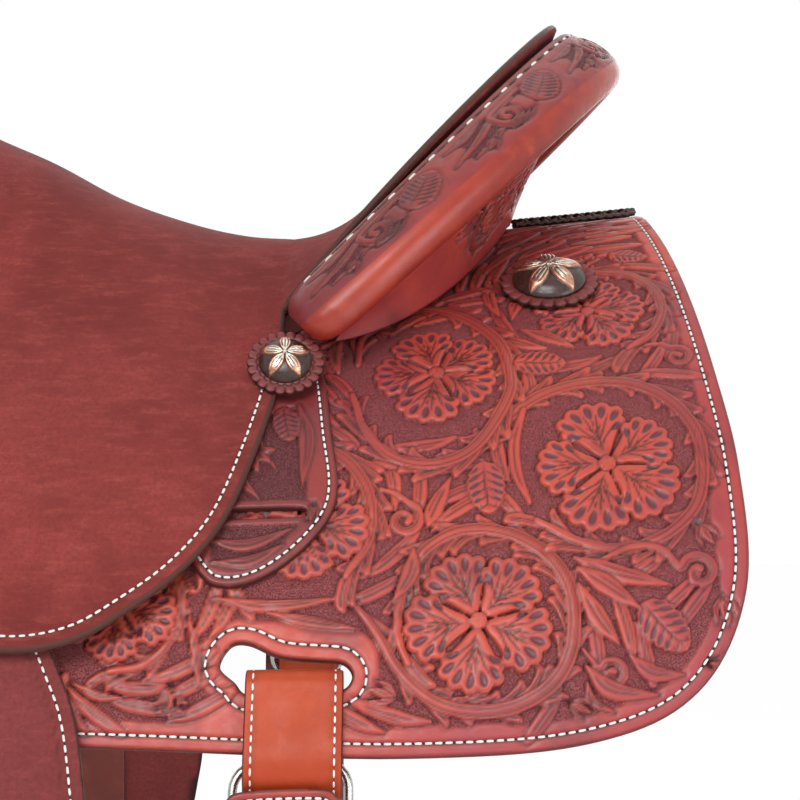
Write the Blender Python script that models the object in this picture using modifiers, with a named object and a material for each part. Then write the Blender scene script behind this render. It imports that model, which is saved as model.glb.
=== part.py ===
"""Barrel racing saddle, hung on a horse's back. Metres, +X to the rear, -Y the near (left) side, +Z up.

Every flat leather is cut as an outline in (x, s), where s is the distance down the horse's side
from the ridge, and is then bent over the saddle's back surface at a height n above it.
"""

import math

import bmesh
import bpy
from mathutils import Vector

# Back surface: a circular arc down each side, with a rocker along the ridge
BACK_RADIUS = 0.398
RIDGE_SLOPE = math.radians(18)
ROCKER = 0.18
BEND_STEP = math.radians(4.5)
ROCKER_STEP = 0.070
RIDGE_ROUND = 0.0065
DIP = 0.014
DIP_CENTRE = 0.085
DIP_HALF = 0.155
DIP_SIDE = (0.05, 0.20)
PLUMB_SIDE = (0.385, 0.60)
PLUMB = BACK_RADIUS * (math.pi / 2 - RIDGE_SLOPE)

# Leathers and the air between two layers
CLEAR = 0.0008
SKIRT_THICK = 0.0050
JOCKEY_THICK = 0.0046
STRAP_THICK = 0.0042
FLEECE_THICK = 0.014
UNDER_JOCKEY_THICK = 0.0036
FENDER_THICK = 0.0036
STIRRUP_LEATHER_THICK = 0.0030
STIRRUP_LEATHER_WIDTH = 0.076
BILLET_WIDTH = 0.04445
SWING_GAP = 0.0034
JOCKEY_GAP = 0.0044

# Skirts
SKIRT_FRONT = -0.318
SKIRT_REAR = 0.3225
SKIRT_DROP = 0.381
CHANNEL_HALF = 0.046
CHANNEL_END = 0.212

# Seat: centre-line profile, swell to low point, and the dish up to the cantle
SEAT_PROFILE = ((-0.132, 0.0985), (-0.105, 0.0800), (-0.075, 0.0625), (-0.038, 0.0460), (0.004, 0.0238),
                (0.046, 0.0090), (0.077, 0.0022), (0.106, 0.0002))
SEAT_CENTRE = 0.106
SEAT_THICK = 0.0046
FOAM_THICK = 0.0045
GROUND_SEAT_THICK = 0.0018
DISH_POWER = 3.0
SEAT_CROWN = 1.05

# Cantle rim: an arc in plan that climbs to the rear
RIM_TOP = (0.2570, 0.1235)
RIM_RUN = 0.1520
RIM_RISE = 0.1635
RIM_HALF_WIDTH = 0.135
ROLL_REACH = 0.041
ROLL_DEPTH = 0.026
CANTLE_FOOT_REAR = 0.229

# Fork and horn
FORK_CENTRE = -0.176
FORK_LENGTH = 0.096
FORK_TOP = 0.126
FORK_HALF_WIDTH = 0.150
GULLET_HALF_WIDTH = 0.072
GULLET_TOP = 0.052
FORK_COVER_THICK = 0.0042
HORN_CENTRE = -0.186
HORN_TOP = 0.215
HORN_CAP_RADIUS = 0.030
HORN_NECK_RADIUS = 0.0125
HORN_WRAP_RADIUS = 0.0185

# Tree bars
BAR_FRONT = -0.268
BAR_REAR = 0.206
BAR_THICK = 0.018
BAR_FEATHER = 0.62
BAR_FEATHER_SIDE = (0.095, 0.165)

# Rear rigging slot, flank billet and flank cinch
SLOT_CENTRE = 0.1087
SLOT_TOP = 0.3265
SLOT_BAR_TOP = 0.3505
FOLD_TOP = 0.3390
GIRTH_CLEAR = 0.0017
BUCKLE_TOP = 0.3775
BUCKLE_WIDTH = 0.0570
BUCKLE_HEIGHT = 0.0480
BUCKLE_WIRE = 0.0021
CINCH_WIDTH = 0.0570
CINCH_DROP = 0.235

# Front rigging plate, latigo and off billet
FRONT_RIG_X = -0.243
FRONT_RIG_S = 0.3440
PLATE_LENGTH = 0.096
PLATE_HEIGHT = 0.056
PLATE_THICK = 0.0030
LATIGO_LENGTH = 0.400

# Fender, stirrup leather and stirrup
FENDER_X = -0.073
FENDER_TOP = 0.285
FENDER_BOTTOM = 0.668
FENDER_WIDTH = 0.197
STIRRUP_BOLT_S = 0.752
STIRRUP_WIDTH = 0.128
STIRRUP_HEIGHT = 0.148
STIRRUP_TREAD_DEPTH = 0.050
BOLT_RADIUS = 0.0048

# Conchos: radius, height and rosette radius
REAR_CONCHO = (0.0198, 0.0085, 0.0268)
SEAT_CONCHO = (0.0135, 0.0070, 0.0197)
REAR_CONCHO_AT = (0.2445, 0.1105)
SEAT_CONCHO_AT = (0.1030, 0.1850)
SEAT_CONCHO_TILT = math.radians(8)
FRONT_CONCHO_AT = (-0.2600, 0.1300)
ROSETTE_THICK = 0.0030
SCALLOPS = 22

SIDES = {"left": -1, "right": 1}
COLOURS = {
    "seat_suede": ((0.27, 0.085, 0.055), 0.9, 0.0),
    "tooled": ((0.25, 0.050, 0.030), 0.5, 0.0),
    "smooth": ((0.42, 0.095, 0.035), 0.35, 0.0),
    "billet": ((0.60, 0.19, 0.07), 0.45, 0.0),
    "rosette": ((0.13, 0.030, 0.022), 0.6, 0.0),
    "wool": ((0.80, 0.74, 0.62), 1.0, 0.0),
    "wood": ((0.55, 0.38, 0.20), 0.7, 0.0),
    "steel": ((0.62, 0.61, 0.59), 0.25, 1.0),
    "concho": ((0.50, 0.45, 0.40), 0.3, 1.0),
    "foam": ((0.75, 0.70, 0.45), 0.95, 0.0),
    "stirrup": ((0.45, 0.16, 0.07), 0.5, 0.0),
}

for old in list(bpy.data.objects):
    bpy.data.objects.remove(old, do_unlink=True)
saddle = bpy.data.collections.new("barrel_racing_saddle")
cutters = bpy.data.collections.new("cutters")
bpy.context.scene.collection.children.link(saddle)
bpy.context.scene.collection.children.link(cutters)


def material(kind):
    """The finish of one kind of piece, made once."""
    if kind in bpy.data.materials:
        return bpy.data.materials[kind]
    colour, roughness, metallic = COLOURS[kind]
    made = bpy.data.materials.new(kind)
    made.use_nodes = True
    shader = made.node_tree.nodes["Principled BSDF"]
    shader.inputs["Base Color"].default_value = (*colour, 1)
    shader.inputs["Roughness"].default_value = roughness
    shader.inputs["Metallic"].default_value = metallic
    made.diffuse_color = (*colour, 1)
    return made


def add_object(name, data, kind):
    """A visible piece in the saddle's collection, or a hidden cutter where kind is None."""
    obj = bpy.data.objects.new(name, data)
    if kind is None:
        cutters.objects.link(obj)
        obj.hide_render = True
        obj.display_type = "WIRE"
    else:
        saddle.objects.link(obj)
        own = material(kind).copy()
        own.name = name
        obj.data.materials.clear()
        obj.data.materials.append(own)
    return obj


def mesh_from(bm, name):
    bmesh.ops.recalc_face_normals(bm, faces=bm.faces)
    if bm.calc_volume(signed=True) < 0:
        bmesh.ops.reverse_faces(bm, faces=bm.faces)
    mesh = bpy.data.meshes.new(name)
    bm.to_mesh(mesh)
    bm.free()
    return mesh


def smooth_round(obj, degrees=35):
    obj.data.shade_smooth()
    obj.data.set_sharp_from_angle(angle=math.radians(degrees))
    return obj


def bevel(obj, width, segments=1, degrees=50):
    made = obj.modifiers.new("edge", "BEVEL")
    made.width = width
    made.segments = segments
    made.limit_method = "ANGLE"
    made.angle_limit = math.radians(degrees)
    return obj


def solidify(obj, thickness, offset=-1):
    made = obj.modifiers.new("thickness", "SOLIDIFY")
    made.thickness = thickness
    made.offset = offset
    made.use_even_offset = True
    return obj


def boolean(obj, other, operation="DIFFERENCE"):
    made = obj.modifiers.new(other.name, "BOOLEAN")
    made.object = other
    made.operation = operation
    made.solver = "EXACT"
    return obj


def blend(value, low, high):
    """0 below low, 1 above high, and a smooth step between."""
    t = min(max((value - low) / (high - low), 0), 1)
    return t * t * (3 - 2 * t)


def through(points, at):
    """The value at a place on a smooth curve through (place, value) points."""
    n = len(points)
    i = max(k for k in range(n - 1) if k == 0 or points[k][0] <= at)
    (x0, y0), (x1, y1) = points[i], points[i + 1]
    before, after = points[max(i - 1, 0)], points[min(i + 2, n - 1)]
    m0 = (y1 - before[1]) / (x1 - before[0])
    m1 = (after[1] - y0) / (after[0] - x0)
    h = x1 - x0
    t = (at - x0) / h
    return ((2 * t ** 3 - 3 * t * t + 1) * y0 + (t ** 3 - 2 * t * t + t) * h * m0
            + (3 * t * t - 2 * t ** 3) * y1 + (t ** 3 - t * t) * h * m1)


# The back surface and the leathers bent over it


def slope_at(s):
    return min(RIDGE_SLOPE + s / BACK_RADIUS, math.pi / 2)


def back_height(x, s):
    """Height of the back's long profile: rockered, rounded at the ridge and dipped under the seat."""
    rocker = ROCKER * x * x * (1 - blend(s, *PLUMB_SIDE))
    ridge = RIDGE_ROUND * max(1 - s / (BACK_RADIUS * BEND_STEP), 0)
    along = max(1 - ((x - DIP_CENTRE) / DIP_HALF) ** 2, 0) ** 2
    return rocker - ridge - DIP * along * (1 - blend(s, *DIP_SIDE))


def on_back(x, s, n, side):
    """The point at x, a distance s down the side and n above the back surface."""
    slope = slope_at(s)
    y = BACK_RADIUS * (math.sin(slope) - math.sin(RIDGE_SLOPE)) + n * math.sin(slope)
    z = back_height(x, s) - BACK_RADIUS * (math.cos(RIDGE_SLOPE) - math.cos(slope))
    return Vector((x, side * y, z + n * math.cos(slope) - max(s - PLUMB, 0)))


def normal_at(x, s, side):
    """The way straight out from the back surface."""
    step = 0.01
    along = on_back(x + step, s, 0, side) - on_back(x - step, s, 0, side)
    down = on_back(x, s + step, 0, side) - on_back(x, s - step, 0, side)
    return along.cross(down).normalized() * side


def outline_mesh(outlines, resolution=3):
    """A flat plate, 1 high, from closed outlines of (x, s) points. A third value makes a corner."""
    curve = bpy.data.curves.new("outline", "CURVE")
    curve.dimensions = "2D"
    curve.fill_mode = "BOTH"
    curve.extrude = 0.5
    curve.resolution_u = resolution
    for outline in outlines:
        spline = curve.splines.new("BEZIER")
        spline.bezier_points.add(len(outline) - 1)
        spline.use_cyclic_u = True
        for point, spot in zip(spline.bezier_points, outline):
            point.co = (spot[0], spot[1], 0)
            kind = "VECTOR" if len(spot) > 2 else "AUTO"
            point.handle_left_type = point.handle_right_type = kind
    guide = bpy.data.objects.new("outline", curve)
    saddle.objects.link(guide)
    bpy.context.view_layer.update()
    graph = bpy.context.evaluated_depsgraph_get()
    mesh = bpy.data.meshes.new_from_object(guide.evaluated_get(graph))
    bpy.data.objects.remove(guide, do_unlink=True)
    bm = bmesh.new()
    bm.from_mesh(mesh)
    bmesh.ops.remove_doubles(bm, verts=bm.verts, dist=1e-6)
    return bm


def crease(bm, lines, axis, within=math.inf):
    """Cuts the plate along lines of constant x or s, where the bent leather may turn."""
    for line in lines:
        spot, normal = [0, 0, 0], [0, 0, 0]
        spot[axis] = line
        normal[axis] = 1
        faces = [f for f in bm.faces if all(v.co.y < within + 1e-5 for v in f.verts)]
        everything = faces + list({v for f in faces for v in f.verts}
                                  | {e for f in faces for e in f.edges})
        cut = bmesh.ops.bisect_plane(
            bm, geom=everything, dist=2e-6, plane_co=spot, plane_no=normal)
        for item in cut["geom_cut"]:
            if isinstance(item, bmesh.types.BMEdge):
                item.seam = True


DIP_COLUMNS = [(k + 0.5) * ROCKER_STEP for k in range(-1, 3)]
DIP_ROWS = 7


def leather(name, outlines, low, high, side, kind, resolution=3, extra=(), extra_rows=(), lean=0.0):
    """A flat leather bent over the back, its faces low and high above it. Both may be functions."""
    bm = outline_mesh(outlines, resolution)
    xs = [v.co.x for v in bm.verts]
    ss = [v.co.y for v in bm.verts]
    step = BACK_RADIUS * BEND_STEP
    rows = [k * step for k in range(1, 40) if min(ss) < k * step < min(max(ss), PLUMB + step)]
    columns = [k * ROCKER_STEP for k in range(-9, 10) if min(xs) < k * ROCKER_STEP < max(xs)]
    crease(bm, rows + list(extra_rows), 1)
    crease(bm, columns + list(extra), 0)
    halves = [x for x in DIP_COLUMNS if min(xs) < x < max(xs)]
    if min(ss) < DIP_SIDE[1] - 0.05:
        crease(bm, halves, 0, DIP_ROWS * step)
    bmesh.ops.dissolve_limit(
        bm, angle_limit=0.002, verts=bm.verts, edges=bm.edges, delimit={"SEAM"})
    bmesh.ops.triangulate(bm, faces=bm.faces)
    for vert in bm.verts:
        x, s, share = vert.co.x, vert.co.y, vert.co.z + 0.5
        n0 = low(x, s) if callable(low) else low
        n1 = high(x, s) if callable(high) else high
        vert.co = on_back(x + lean * s, s, n0 + (n1 - n0) * share, side)
    return add_object(name, mesh_from(bm, name), kind)


def loft(name, rings, kind, closed=False):
    """A skin through rings of equal counts, with an end cap on the first and the last."""
    bm = bmesh.new()
    verts = [[bm.verts.new(p) for p in ring] for ring in rings]
    count = len(rings[0])
    for a, b in zip(verts, verts[1:] + ([verts[0]] if closed else [])):
        for k in range(count):
            bm.faces.new((a[k], a[(k + 1) % count], b[(k + 1) % count], b[k]))
    if not closed:
        bm.faces.new(verts[0][::-1])
        bm.faces.new(verts[-1])
    bmesh.ops.triangulate(bm, faces=[f for f in bm.faces if len(f.verts) > 4])
    return add_object(name, mesh_from(bm, name), kind)


def turned(name, profile, place, axis, kind, steps=20):
    """A solid turned about an axis. The profile runs from the top down its outer side."""
    bm = bmesh.new()
    verts = [bm.verts.new((r, 0, h)) for r, h in profile]
    for a, b in zip(verts, verts[1:]):
        bm.edges.new((a, b))
    mesh = bpy.data.meshes.new(name)
    bm.to_mesh(mesh)
    bm.free()
    obj = add_object(name, mesh, kind)
    spin = obj.modifiers.new("turn", "SCREW")
    spin.steps = spin.render_steps = steps
    spin.use_merge_vertices = True
    spin.merge_threshold = 1e-5
    spin.use_smooth_shade = True
    obj.location = place
    obj.rotation_mode = "QUATERNION"
    obj.rotation_quaternion = Vector((0, 0, 1)).rotation_difference(Vector(axis))
    return obj


def wire(name, points, radius, kind, cyclic=False, sides=2):
    """A round bar along points."""
    curve = bpy.data.curves.new(name, "CURVE")
    curve.dimensions = "3D"
    curve.bevel_depth = radius
    curve.bevel_resolution = sides
    curve.use_fill_caps = not cyclic
    spline = curve.splines.new("POLY")
    spline.points.add(len(points) - 1)
    spline.use_cyclic_u = cyclic
    for point, spot in zip(spline.points, points):
        point.co = (*spot, 1)
    return add_object(name, curve, kind)


def made_mesh(obj, kind):
    """The piece as a mesh, with its modifiers or its curve made real."""
    name = obj.name
    bpy.context.view_layer.update()
    graph = bpy.context.evaluated_depsgraph_get()
    mesh = bpy.data.meshes.new_from_object(obj.evaluated_get(graph))
    place = obj.matrix_world.copy()
    bpy.data.objects.remove(obj, do_unlink=True)
    bm = bmesh.new()
    bm.from_mesh(mesh)
    bmesh.ops.remove_doubles(bm, verts=bm.verts, dist=1e-6)
    made = add_object(name, mesh_from(bm, name), kind)
    made.matrix_world = place
    return made


def arc(centre, radius, start, end, steps):
    """Points of a plane arc, angles in degrees."""
    for k in range(steps + 1):
        angle = math.radians(start + (end - start) * k / steps)
        yield centre[0] + radius * math.cos(angle), centre[1] + radius * math.sin(angle)


def ribbon(name, path, x0, x1, thickness, side, kind, lean=0.0):
    """A strap of constant width along (s, n) centre points on the back surface."""
    bm = bmesh.new()
    rows = []
    for s, n in path:
        shift = lean * (s - path[0][0])
        rows.append([bm.verts.new(on_back(x + shift, s, n, side)) for x in (x0, x1)])
    for a, b in zip(rows, rows[1:]):
        bm.faces.new((a[0], a[1], b[1], b[0]))
    obj = add_object(name, mesh_from_open(bm, name), kind)
    return solidify(obj, thickness, 0)


def mesh_from_open(bm, name):
    mesh = bpy.data.meshes.new(name)
    bm.to_mesh(mesh)
    bm.free()
    return mesh


# Seat


def jockey_height(x):
    """Underside of the seat jockey: high over the fender, low beside it."""
    over_fender = FENDER_N + FENDER_THICK + JOCKEY_GAP
    beside = SKIRT_THICK + UNDER_JOCKEY_THICK + 2 * CLEAR
    return over_fender + (beside - over_fender) * blend(x, 0.022, 0.090)


FENDER_N = SKIRT_THICK + SWING_GAP + STIRRUP_LEATHER_THICK + CLEAR
JOIN_S = 0.200


def seat_point(x, s, side):
    """Top of the seat leather: a crowned middle that runs out onto the flat of the jockey."""
    if s >= JOIN_S:
        return on_back(x, s, jockey_height(x) + SEAT_THICK, side)
    end = on_back(x, JOIN_S, jockey_height(x) + SEAT_THICK, 1)
    slope = slope_at(JOIN_S)
    t = s / JOIN_S
    reach = SEAT_CROWN * (end.y + through(SEAT_PROFILE, x) - end.z)
    a = 3 * t * t - 2 * t ** 3
    b = t ** 3 - 2 * t * t + t
    c = t ** 3 - t * t
    y = a * end.y + reach * (b + c * math.cos(slope))
    z = (1 - a) * through(SEAT_PROFILE, x) + a * end.z - reach * c * math.sin(slope)
    return Vector((x, side * y, z))


def rim(angle):
    """A point of the cantle's rim at an angle from the top centre, with its outward and up axes."""
    drop = 1 - math.cos(angle)
    spot = Vector((RIM_TOP[0] - RIM_RUN * drop, RIM_HALF_WIDTH * math.sin(angle),
                   RIM_TOP[1] - RIM_RISE * drop))
    along = Vector((-RIM_RUN * math.sin(angle), RIM_HALF_WIDTH * math.cos(angle),
                    -RIM_RISE * math.sin(angle))).normalized()
    flat = Vector((RIM_HALF_WIDTH * math.cos(angle), RIM_RUN * math.sin(angle), 0))
    outward = (flat - along * flat.dot(along)).normalized()
    return spot, outward, outward.cross(along).normalized()


SEAT_ROWS = (-0.1340, -0.098, -0.070, -0.042, -0.014, 0.014, 0.038, 0.060, 0.078, 0.093, SEAT_CENTRE)
JOCKEY_EDGE = ((-0.1180, 0.190), (-0.1100, 0.255), (-0.091, 0.302), (-0.060, 0.326), (-0.022, 0.333),
               (0.008, 0.329), (0.032, 0.316), (0.056, 0.296), (0.075, 0.269), (0.088, 0.232),
               (0.0985, 0.190))
COLUMNS = (0.0, 0.11, 0.22, 0.33, 0.43, 0.53, 0.64, 0.76, 0.88, 1.0)
DISH_COLUMNS = 7
DISH_STEPS = 9


def seat_grid(side):
    """Rows of points on top of the seat leather, from the centre line out, and the dish's fan."""
    rows = []
    for x_middle, (x_edge, s_edge) in zip(SEAT_ROWS, JOCKEY_EDGE):
        row = []
        for share in COLUMNS:
            x = x_middle + (x_edge - x_middle) * share ** 1.5
            row.append(seat_point(x, s_edge * share, side))
        rows.append(row)
    last = rows[-1][:DISH_COLUMNS + 1]
    end = last[-1]
    for k in range(1, DISH_STEPS + 1):
        angle = math.pi / 2 * (1 - k / DISH_STEPS)
        spot, _, up = rim(angle)
        top = spot + up * 0.0045
        fade = math.sin(angle) ** 26
        row = []
        for point in last:
            share = abs(point.y / end.y)
            edge_x = top.x * (1 - fade) + end.x * fade
            edge_y = top.y * (1 - fade) + abs(end.y) * fade
            x = SEAT_CENTRE + (edge_x - SEAT_CENTRE) * share
            y = edge_y * share
            lift = (top.z - end.z) * (1 - fade)
            row.append(Vector((x, side * y, point.z + lift * share ** DISH_POWER)))
        rows.append(row)
    return rows


def seat_sheet(depth, columns=None, first=0, margin=0):
    """Both halves of the seat's top in one open skin, a depth below the leather's top."""
    bm = bmesh.new()
    count = len(SEAT_ROWS)
    for side in (-1, 1):
        made = []
        for i, row in enumerate(seat_grid(side)[first:]):
            inner = len(row) if columns is None else columns
            if i >= count - first:
                inner = min(inner, DISH_COLUMNS + 1)
            made.append([bm.verts.new(p) for p in row[:inner]])
        for a, b in zip(made, made[1:]):
            for k in range(min(len(a), len(b)) - 1):
                corners = [a[k], a[k + 1], b[k + 1], b[k]]
                bm.faces.new(corners if side < 0 else corners[::-1])
    bmesh.ops.remove_doubles(bm, verts=bm.verts, dist=1e-5)
    loose = [v for v in bm.verts if not v.link_faces]
    bmesh.ops.delete(bm, geom=loose, context="VERTS")
    bmesh.ops.recalc_face_normals(bm, faces=bm.faces)
    if sum(f.normal.z for f in bm.faces) < 0:
        bmesh.ops.reverse_faces(bm, faces=bm.faces)
    bm.normal_update()
    shifts = {vert: vert.normal * -depth * max(vert.calc_shell_factor(), 1.0) for vert in bm.verts}
    for edge in bm.edges:
        if margin and edge.is_boundary:
            along = edge.verts[1].co - edge.verts[0].co
            out = Vector((along.y, -along.x, 0)).normalized()
            middle = (edge.verts[0].co + edge.verts[1].co) / 2
            out *= math.copysign(1, out.dot(middle - edge.link_faces[0].calc_center_median()))
            for vert in edge.verts:
                shifts[vert] = shifts[vert] + out * margin
    for vert, shift in shifts.items():
        vert.co += shift
    return bm


def seat_layer(name, depth, thickness, kind, columns=None, first=0):
    """A layer of the seat a depth below the top of the leather."""
    sheet = seat_sheet(depth, columns, first)
    return solidify(add_object(name, mesh_from_open(sheet, name), kind), thickness, -1)


def seat_space(name, depth, columns=None, first=0, margin=0):
    """Everything above a layer of the seat, for cutting the tree below it."""
    bm = seat_sheet(depth, columns, first, margin)
    bmesh.ops.reverse_faces(bm, faces=bm.faces)
    raised = bmesh.ops.extrude_face_region(bm, geom=list(bm.faces))
    top = [item for item in raised["geom"] if isinstance(item, bmesh.types.BMVert)]
    for vert in top:
        vert.co.z = 0.4
    return add_object(name, mesh_from(bm, name), None)


def make_seat():
    """The leather, the foam and the ground seat, and the spaces they leave in the tree."""
    smooth_round(seat_layer("seat_leather", 0, SEAT_THICK, "seat_suede"))
    foam_top = SEAT_THICK + CLEAR
    seat_layer("seat_foam", foam_top, FOAM_THICK, "foam", 3, 1)
    ground_top = foam_top + FOAM_THICK + CLEAR
    seat_layer("ground_seat", ground_top, GROUND_SEAT_THICK, "steel", 4, 1)
    return [seat_space("seat_space", SEAT_THICK + CLEAR),
            seat_space("ground_space", ground_top + GROUND_SEAT_THICK + 3 * CLEAR, 4, 1, 0.002)]


# Skirts, wool and the leathers that lie on them


def ridge_gap(depth):
    """Distance down the side at which a piece this far below the back surface clears the other half."""
    return (CLEAR + depth * math.sin(RIDGE_SLOPE)) / math.cos(RIDGE_SLOPE)


def skirt_outline(inset, ridge):
    front, rear, drop = SKIRT_FRONT + inset, SKIRT_REAR - inset, SKIRT_DROP - inset
    inner = CHANNEL_HALF + inset
    return [
        (rear - 0.0137, ridge, "corner"), (rear - 0.0085, 0.073), (rear - 0.0028, 0.190),
        (rear, 0.255), (rear - 0.0045, 0.318), (rear - 0.030, drop - 0.019),
        (rear - 0.078, drop - 0.001), (0.160, drop), (0.011, drop - 0.009),
        *front_notch(drop - 0.009),
        (front + 0.038, drop - 0.030), (front, drop - 0.100), (front + 0.004, 0.170),
        (front + 0.018, 0.090), (front + 0.060, inner, "corner"),
        (CHANNEL_END + inset, inner, "corner"), (CHANNEL_END + inset + 0.008, ridge, "corner")]


def front_notch(edge):
    """The cut in a skirt's lower edge that bares the rigging plate's lower bar."""
    half = NOTCH_HALF
    return [(FRONT_RIG_X + half + 0.004, edge, "corner"),
            (FRONT_RIG_X + half, NOTCH_TOP + 0.008, "corner"),
            (FRONT_RIG_X + half - 0.008, NOTCH_TOP, "corner"),
            (FRONT_RIG_X - half + 0.008, NOTCH_TOP, "corner"),
            (FRONT_RIG_X - half, NOTCH_TOP + 0.008, "corner"),
            (FRONT_RIG_X - half - 0.004, edge - 0.004, "corner")]


NOTCH_HALF = 0.037
NOTCH_TOP = 0.336


def slot_outline():
    """The rear rigging slot: its lobed top edge follows the stitching, its lower bar is straight."""
    x = SLOT_CENTRE
    return [(x - 0.0335, 0.3365), (x - 0.0285, SLOT_TOP + 0.0005), (x - 0.020, SLOT_TOP),
            (x - 0.006, SLOT_TOP + 0.0065), (x + 0.012, SLOT_TOP + 0.0090),
            (x + 0.0225, SLOT_TOP + 0.0105), (x + 0.0270, SLOT_TOP + 0.0160),
            (x + 0.0240, SLOT_BAR_TOP - 0.0020), (x + 0.014, SLOT_BAR_TOP),
            (x - 0.018, SLOT_BAR_TOP), (x - 0.0265, SLOT_BAR_TOP - 0.0065)]


def make_skirts(side_name, side):
    leather(f"skirt_{side_name}", [skirt_outline(0, ridge_gap(0)), slot_outline()],
            0, SKIRT_THICK, side, "tooled")
    wool = skirt_outline(0.002, ridge_gap(CLEAR + FLEECE_THICK))
    # The wool is cut away from the wool's edge up and round the rear slot
    notch_top, half = SLOT_TOP - 0.013, 0.047
    at = next(k for k, spot in enumerate(wool) if spot[0] == 0.160)
    edge = wool[at][1]
    wool[at + 1:at + 1] = [
        (SLOT_CENTRE + half, edge, "corner"), (SLOT_CENTRE + half, notch_top + 0.01, "corner"),
        (SLOT_CENTRE + half - 0.01, notch_top, "corner"),
        (SLOT_CENTRE - half + 0.01, notch_top, "corner"),
        (SLOT_CENTRE - half, notch_top + 0.01, "corner"),
        (SLOT_CENTRE - half, edge - 0.002, "corner")]
    leather(f"fleece_{side_name}", [wool], -CLEAR - FLEECE_THICK, -CLEAR, side, "wool", 2)


def make_under_jockey(side_name, side):
    low = SKIRT_THICK + CLEAR
    outline = [(0.118, UNDER_JOCKEY_TOP, "corner"), (0.123, 0.183), (0.1262, 0.218), (0.1293, 0.248),
               (0.1255, 0.266), (0.1115, 0.2838), (0.0931, 0.2966), (0.0755, 0.2999),
               (0.0635, 0.292), (0.048, 0.262), (0.042, 0.215), (0.045, UNDER_JOCKEY_TOP, "corner")]
    slit = [(0.0715, SLIT_S), (0.0745, SLIT_S - 0.0026), (0.1100, SLIT_S - 0.0022),
            (0.1137, SLIT_S + 0.0008), (0.1105, SLIT_S + 0.0026), (0.0745, SLIT_S + 0.0024)]
    leather(f"under_jockey_{side_name}", [outline, slit], low, low + UNDER_JOCKEY_THICK,
            side, "tooled")


UNDER_JOCKEY_TOP = 0.160
SLIT_S = 0.2632


def bar_high(x, s):
    """Top of a bar: it feathers out towards its lower edge."""
    return SKIRT_THICK + CLEAR + BAR_THICK * (1 - BAR_FEATHER * blend(s, *BAR_FEATHER_SIDE))


def front_jockey_low(x, s):
    flat = SKIRT_THICK + CLEAR
    over_bar = bar_high(x, s) + CLEAR
    return over_bar + (flat - over_bar) * blend(s, 0.176, 0.218)


def make_front_jockey(side_name, side):
    outline = [(-0.297, 0.085), (-0.303, 0.170), (-0.294, 0.250), (-0.262, 0.290), (-0.205, 0.294),
               (-0.158, 0.274), (-0.1290, 0.242), (-0.1255, 0.205), (-0.1245, 0.1745, "corner"),
               (-0.2270, 0.1745, "corner"), (-0.2295, 0.160), (-0.2295, 0.052, "corner"),
               (-0.272, 0.050, "corner")]
    leather(f"front_jockey_{side_name}", [outline], front_jockey_low,
            lambda x, s: front_jockey_low(x, s) + JOCKEY_THICK, side, "tooled",
            extra_rows=(0.176, 0.197, 0.2175))


def make_lacing():
    """The braided strip that ties the two skirts along the ridge."""
    start, end = CANTLE_FOOT_REAR + 0.008, SKIRT_REAR - 0.0145
    count = 2 * LACING_CROSSINGS
    rings = []
    for k in range(count + 1):
        x = start + (end - start) * k / count
        swell = 1.0 if k % 2 else 0.86
        half, high = LACING_WIDTH / 2 * swell, LACING_HIGH * swell
        crest = on_back(x, 0, SKIRT_THICK + CLEAR, 1).z
        foot = on_back(x, half, SKIRT_THICK + CLEAR, 1).z
        rings.append([Vector((x, y * half, foot + z * (crest + high - foot))) for y, z in
                      ((-1, 0), (-0.88, 0.55), (-0.42, 1), (0.42, 1), (0.88, 0.55), (1, 0))]
                     + [Vector((x, 0, crest))])
    smooth_round(loft("skirt_lacing", rings, "rosette"), 60)


LACING_CROSSINGS = 7
LACING_WIDTH = 0.016
LACING_HIGH = 0.0062


# Tree: bars, fork, cantle and horn


def bar_low(x, s):
    """Underside of a bar, hollowed across the groove that the stirrup leather lies in."""
    flat = SKIRT_THICK + CLEAR
    deep = STIRRUP_LEATHER_THICK + 2 * CLEAR
    half = STIRRUP_LEATHER_WIDTH / 2 + 0.005
    return flat + deep * (1 - blend(abs(x - FENDER_X), half, half + 0.012))


def make_bars(side_name, side, seat_spaces):
    outline = [(BAR_FRONT + 0.014, 0.0570), (BAR_FRONT, 0.095), (BAR_FRONT + 0.008, 0.150),
               (-0.220, 0.1720), (-0.160, 0.170), (-0.085, 0.153), (0.020, 0.146), (0.095, 0.136),
               (0.130, 0.116), (0.165, 0.098), (BAR_REAR - 0.016, 0.076),
               (BAR_REAR, 0.0575), (0.100, 0.0560), (-0.100, 0.0560)]
    half = STIRRUP_LEATHER_WIDTH / 2 + 0.005
    edges = [FENDER_X + a for a in (-half - 0.012, -half, half, half + 0.012)]
    bar = leather(f"tree_bar_{side_name}", [outline], bar_low, bar_high, side, "wood", 2, edges)
    for space in seat_spaces:
        boolean(bar, space)
    return bar


def bar_space(name, low, side):
    """Everything below the tops of the bars, for cutting what stands on them."""
    outline = [(-0.32, 0.030, "corner"), (0.26, 0.030, "corner"), (0.26, 0.250, "corner"),
               (-0.32, 0.250, "corner")]
    return leather(name, [outline], low, lambda x, s: bar_high(x, s) + 2 * CLEAR, side, None)


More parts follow.
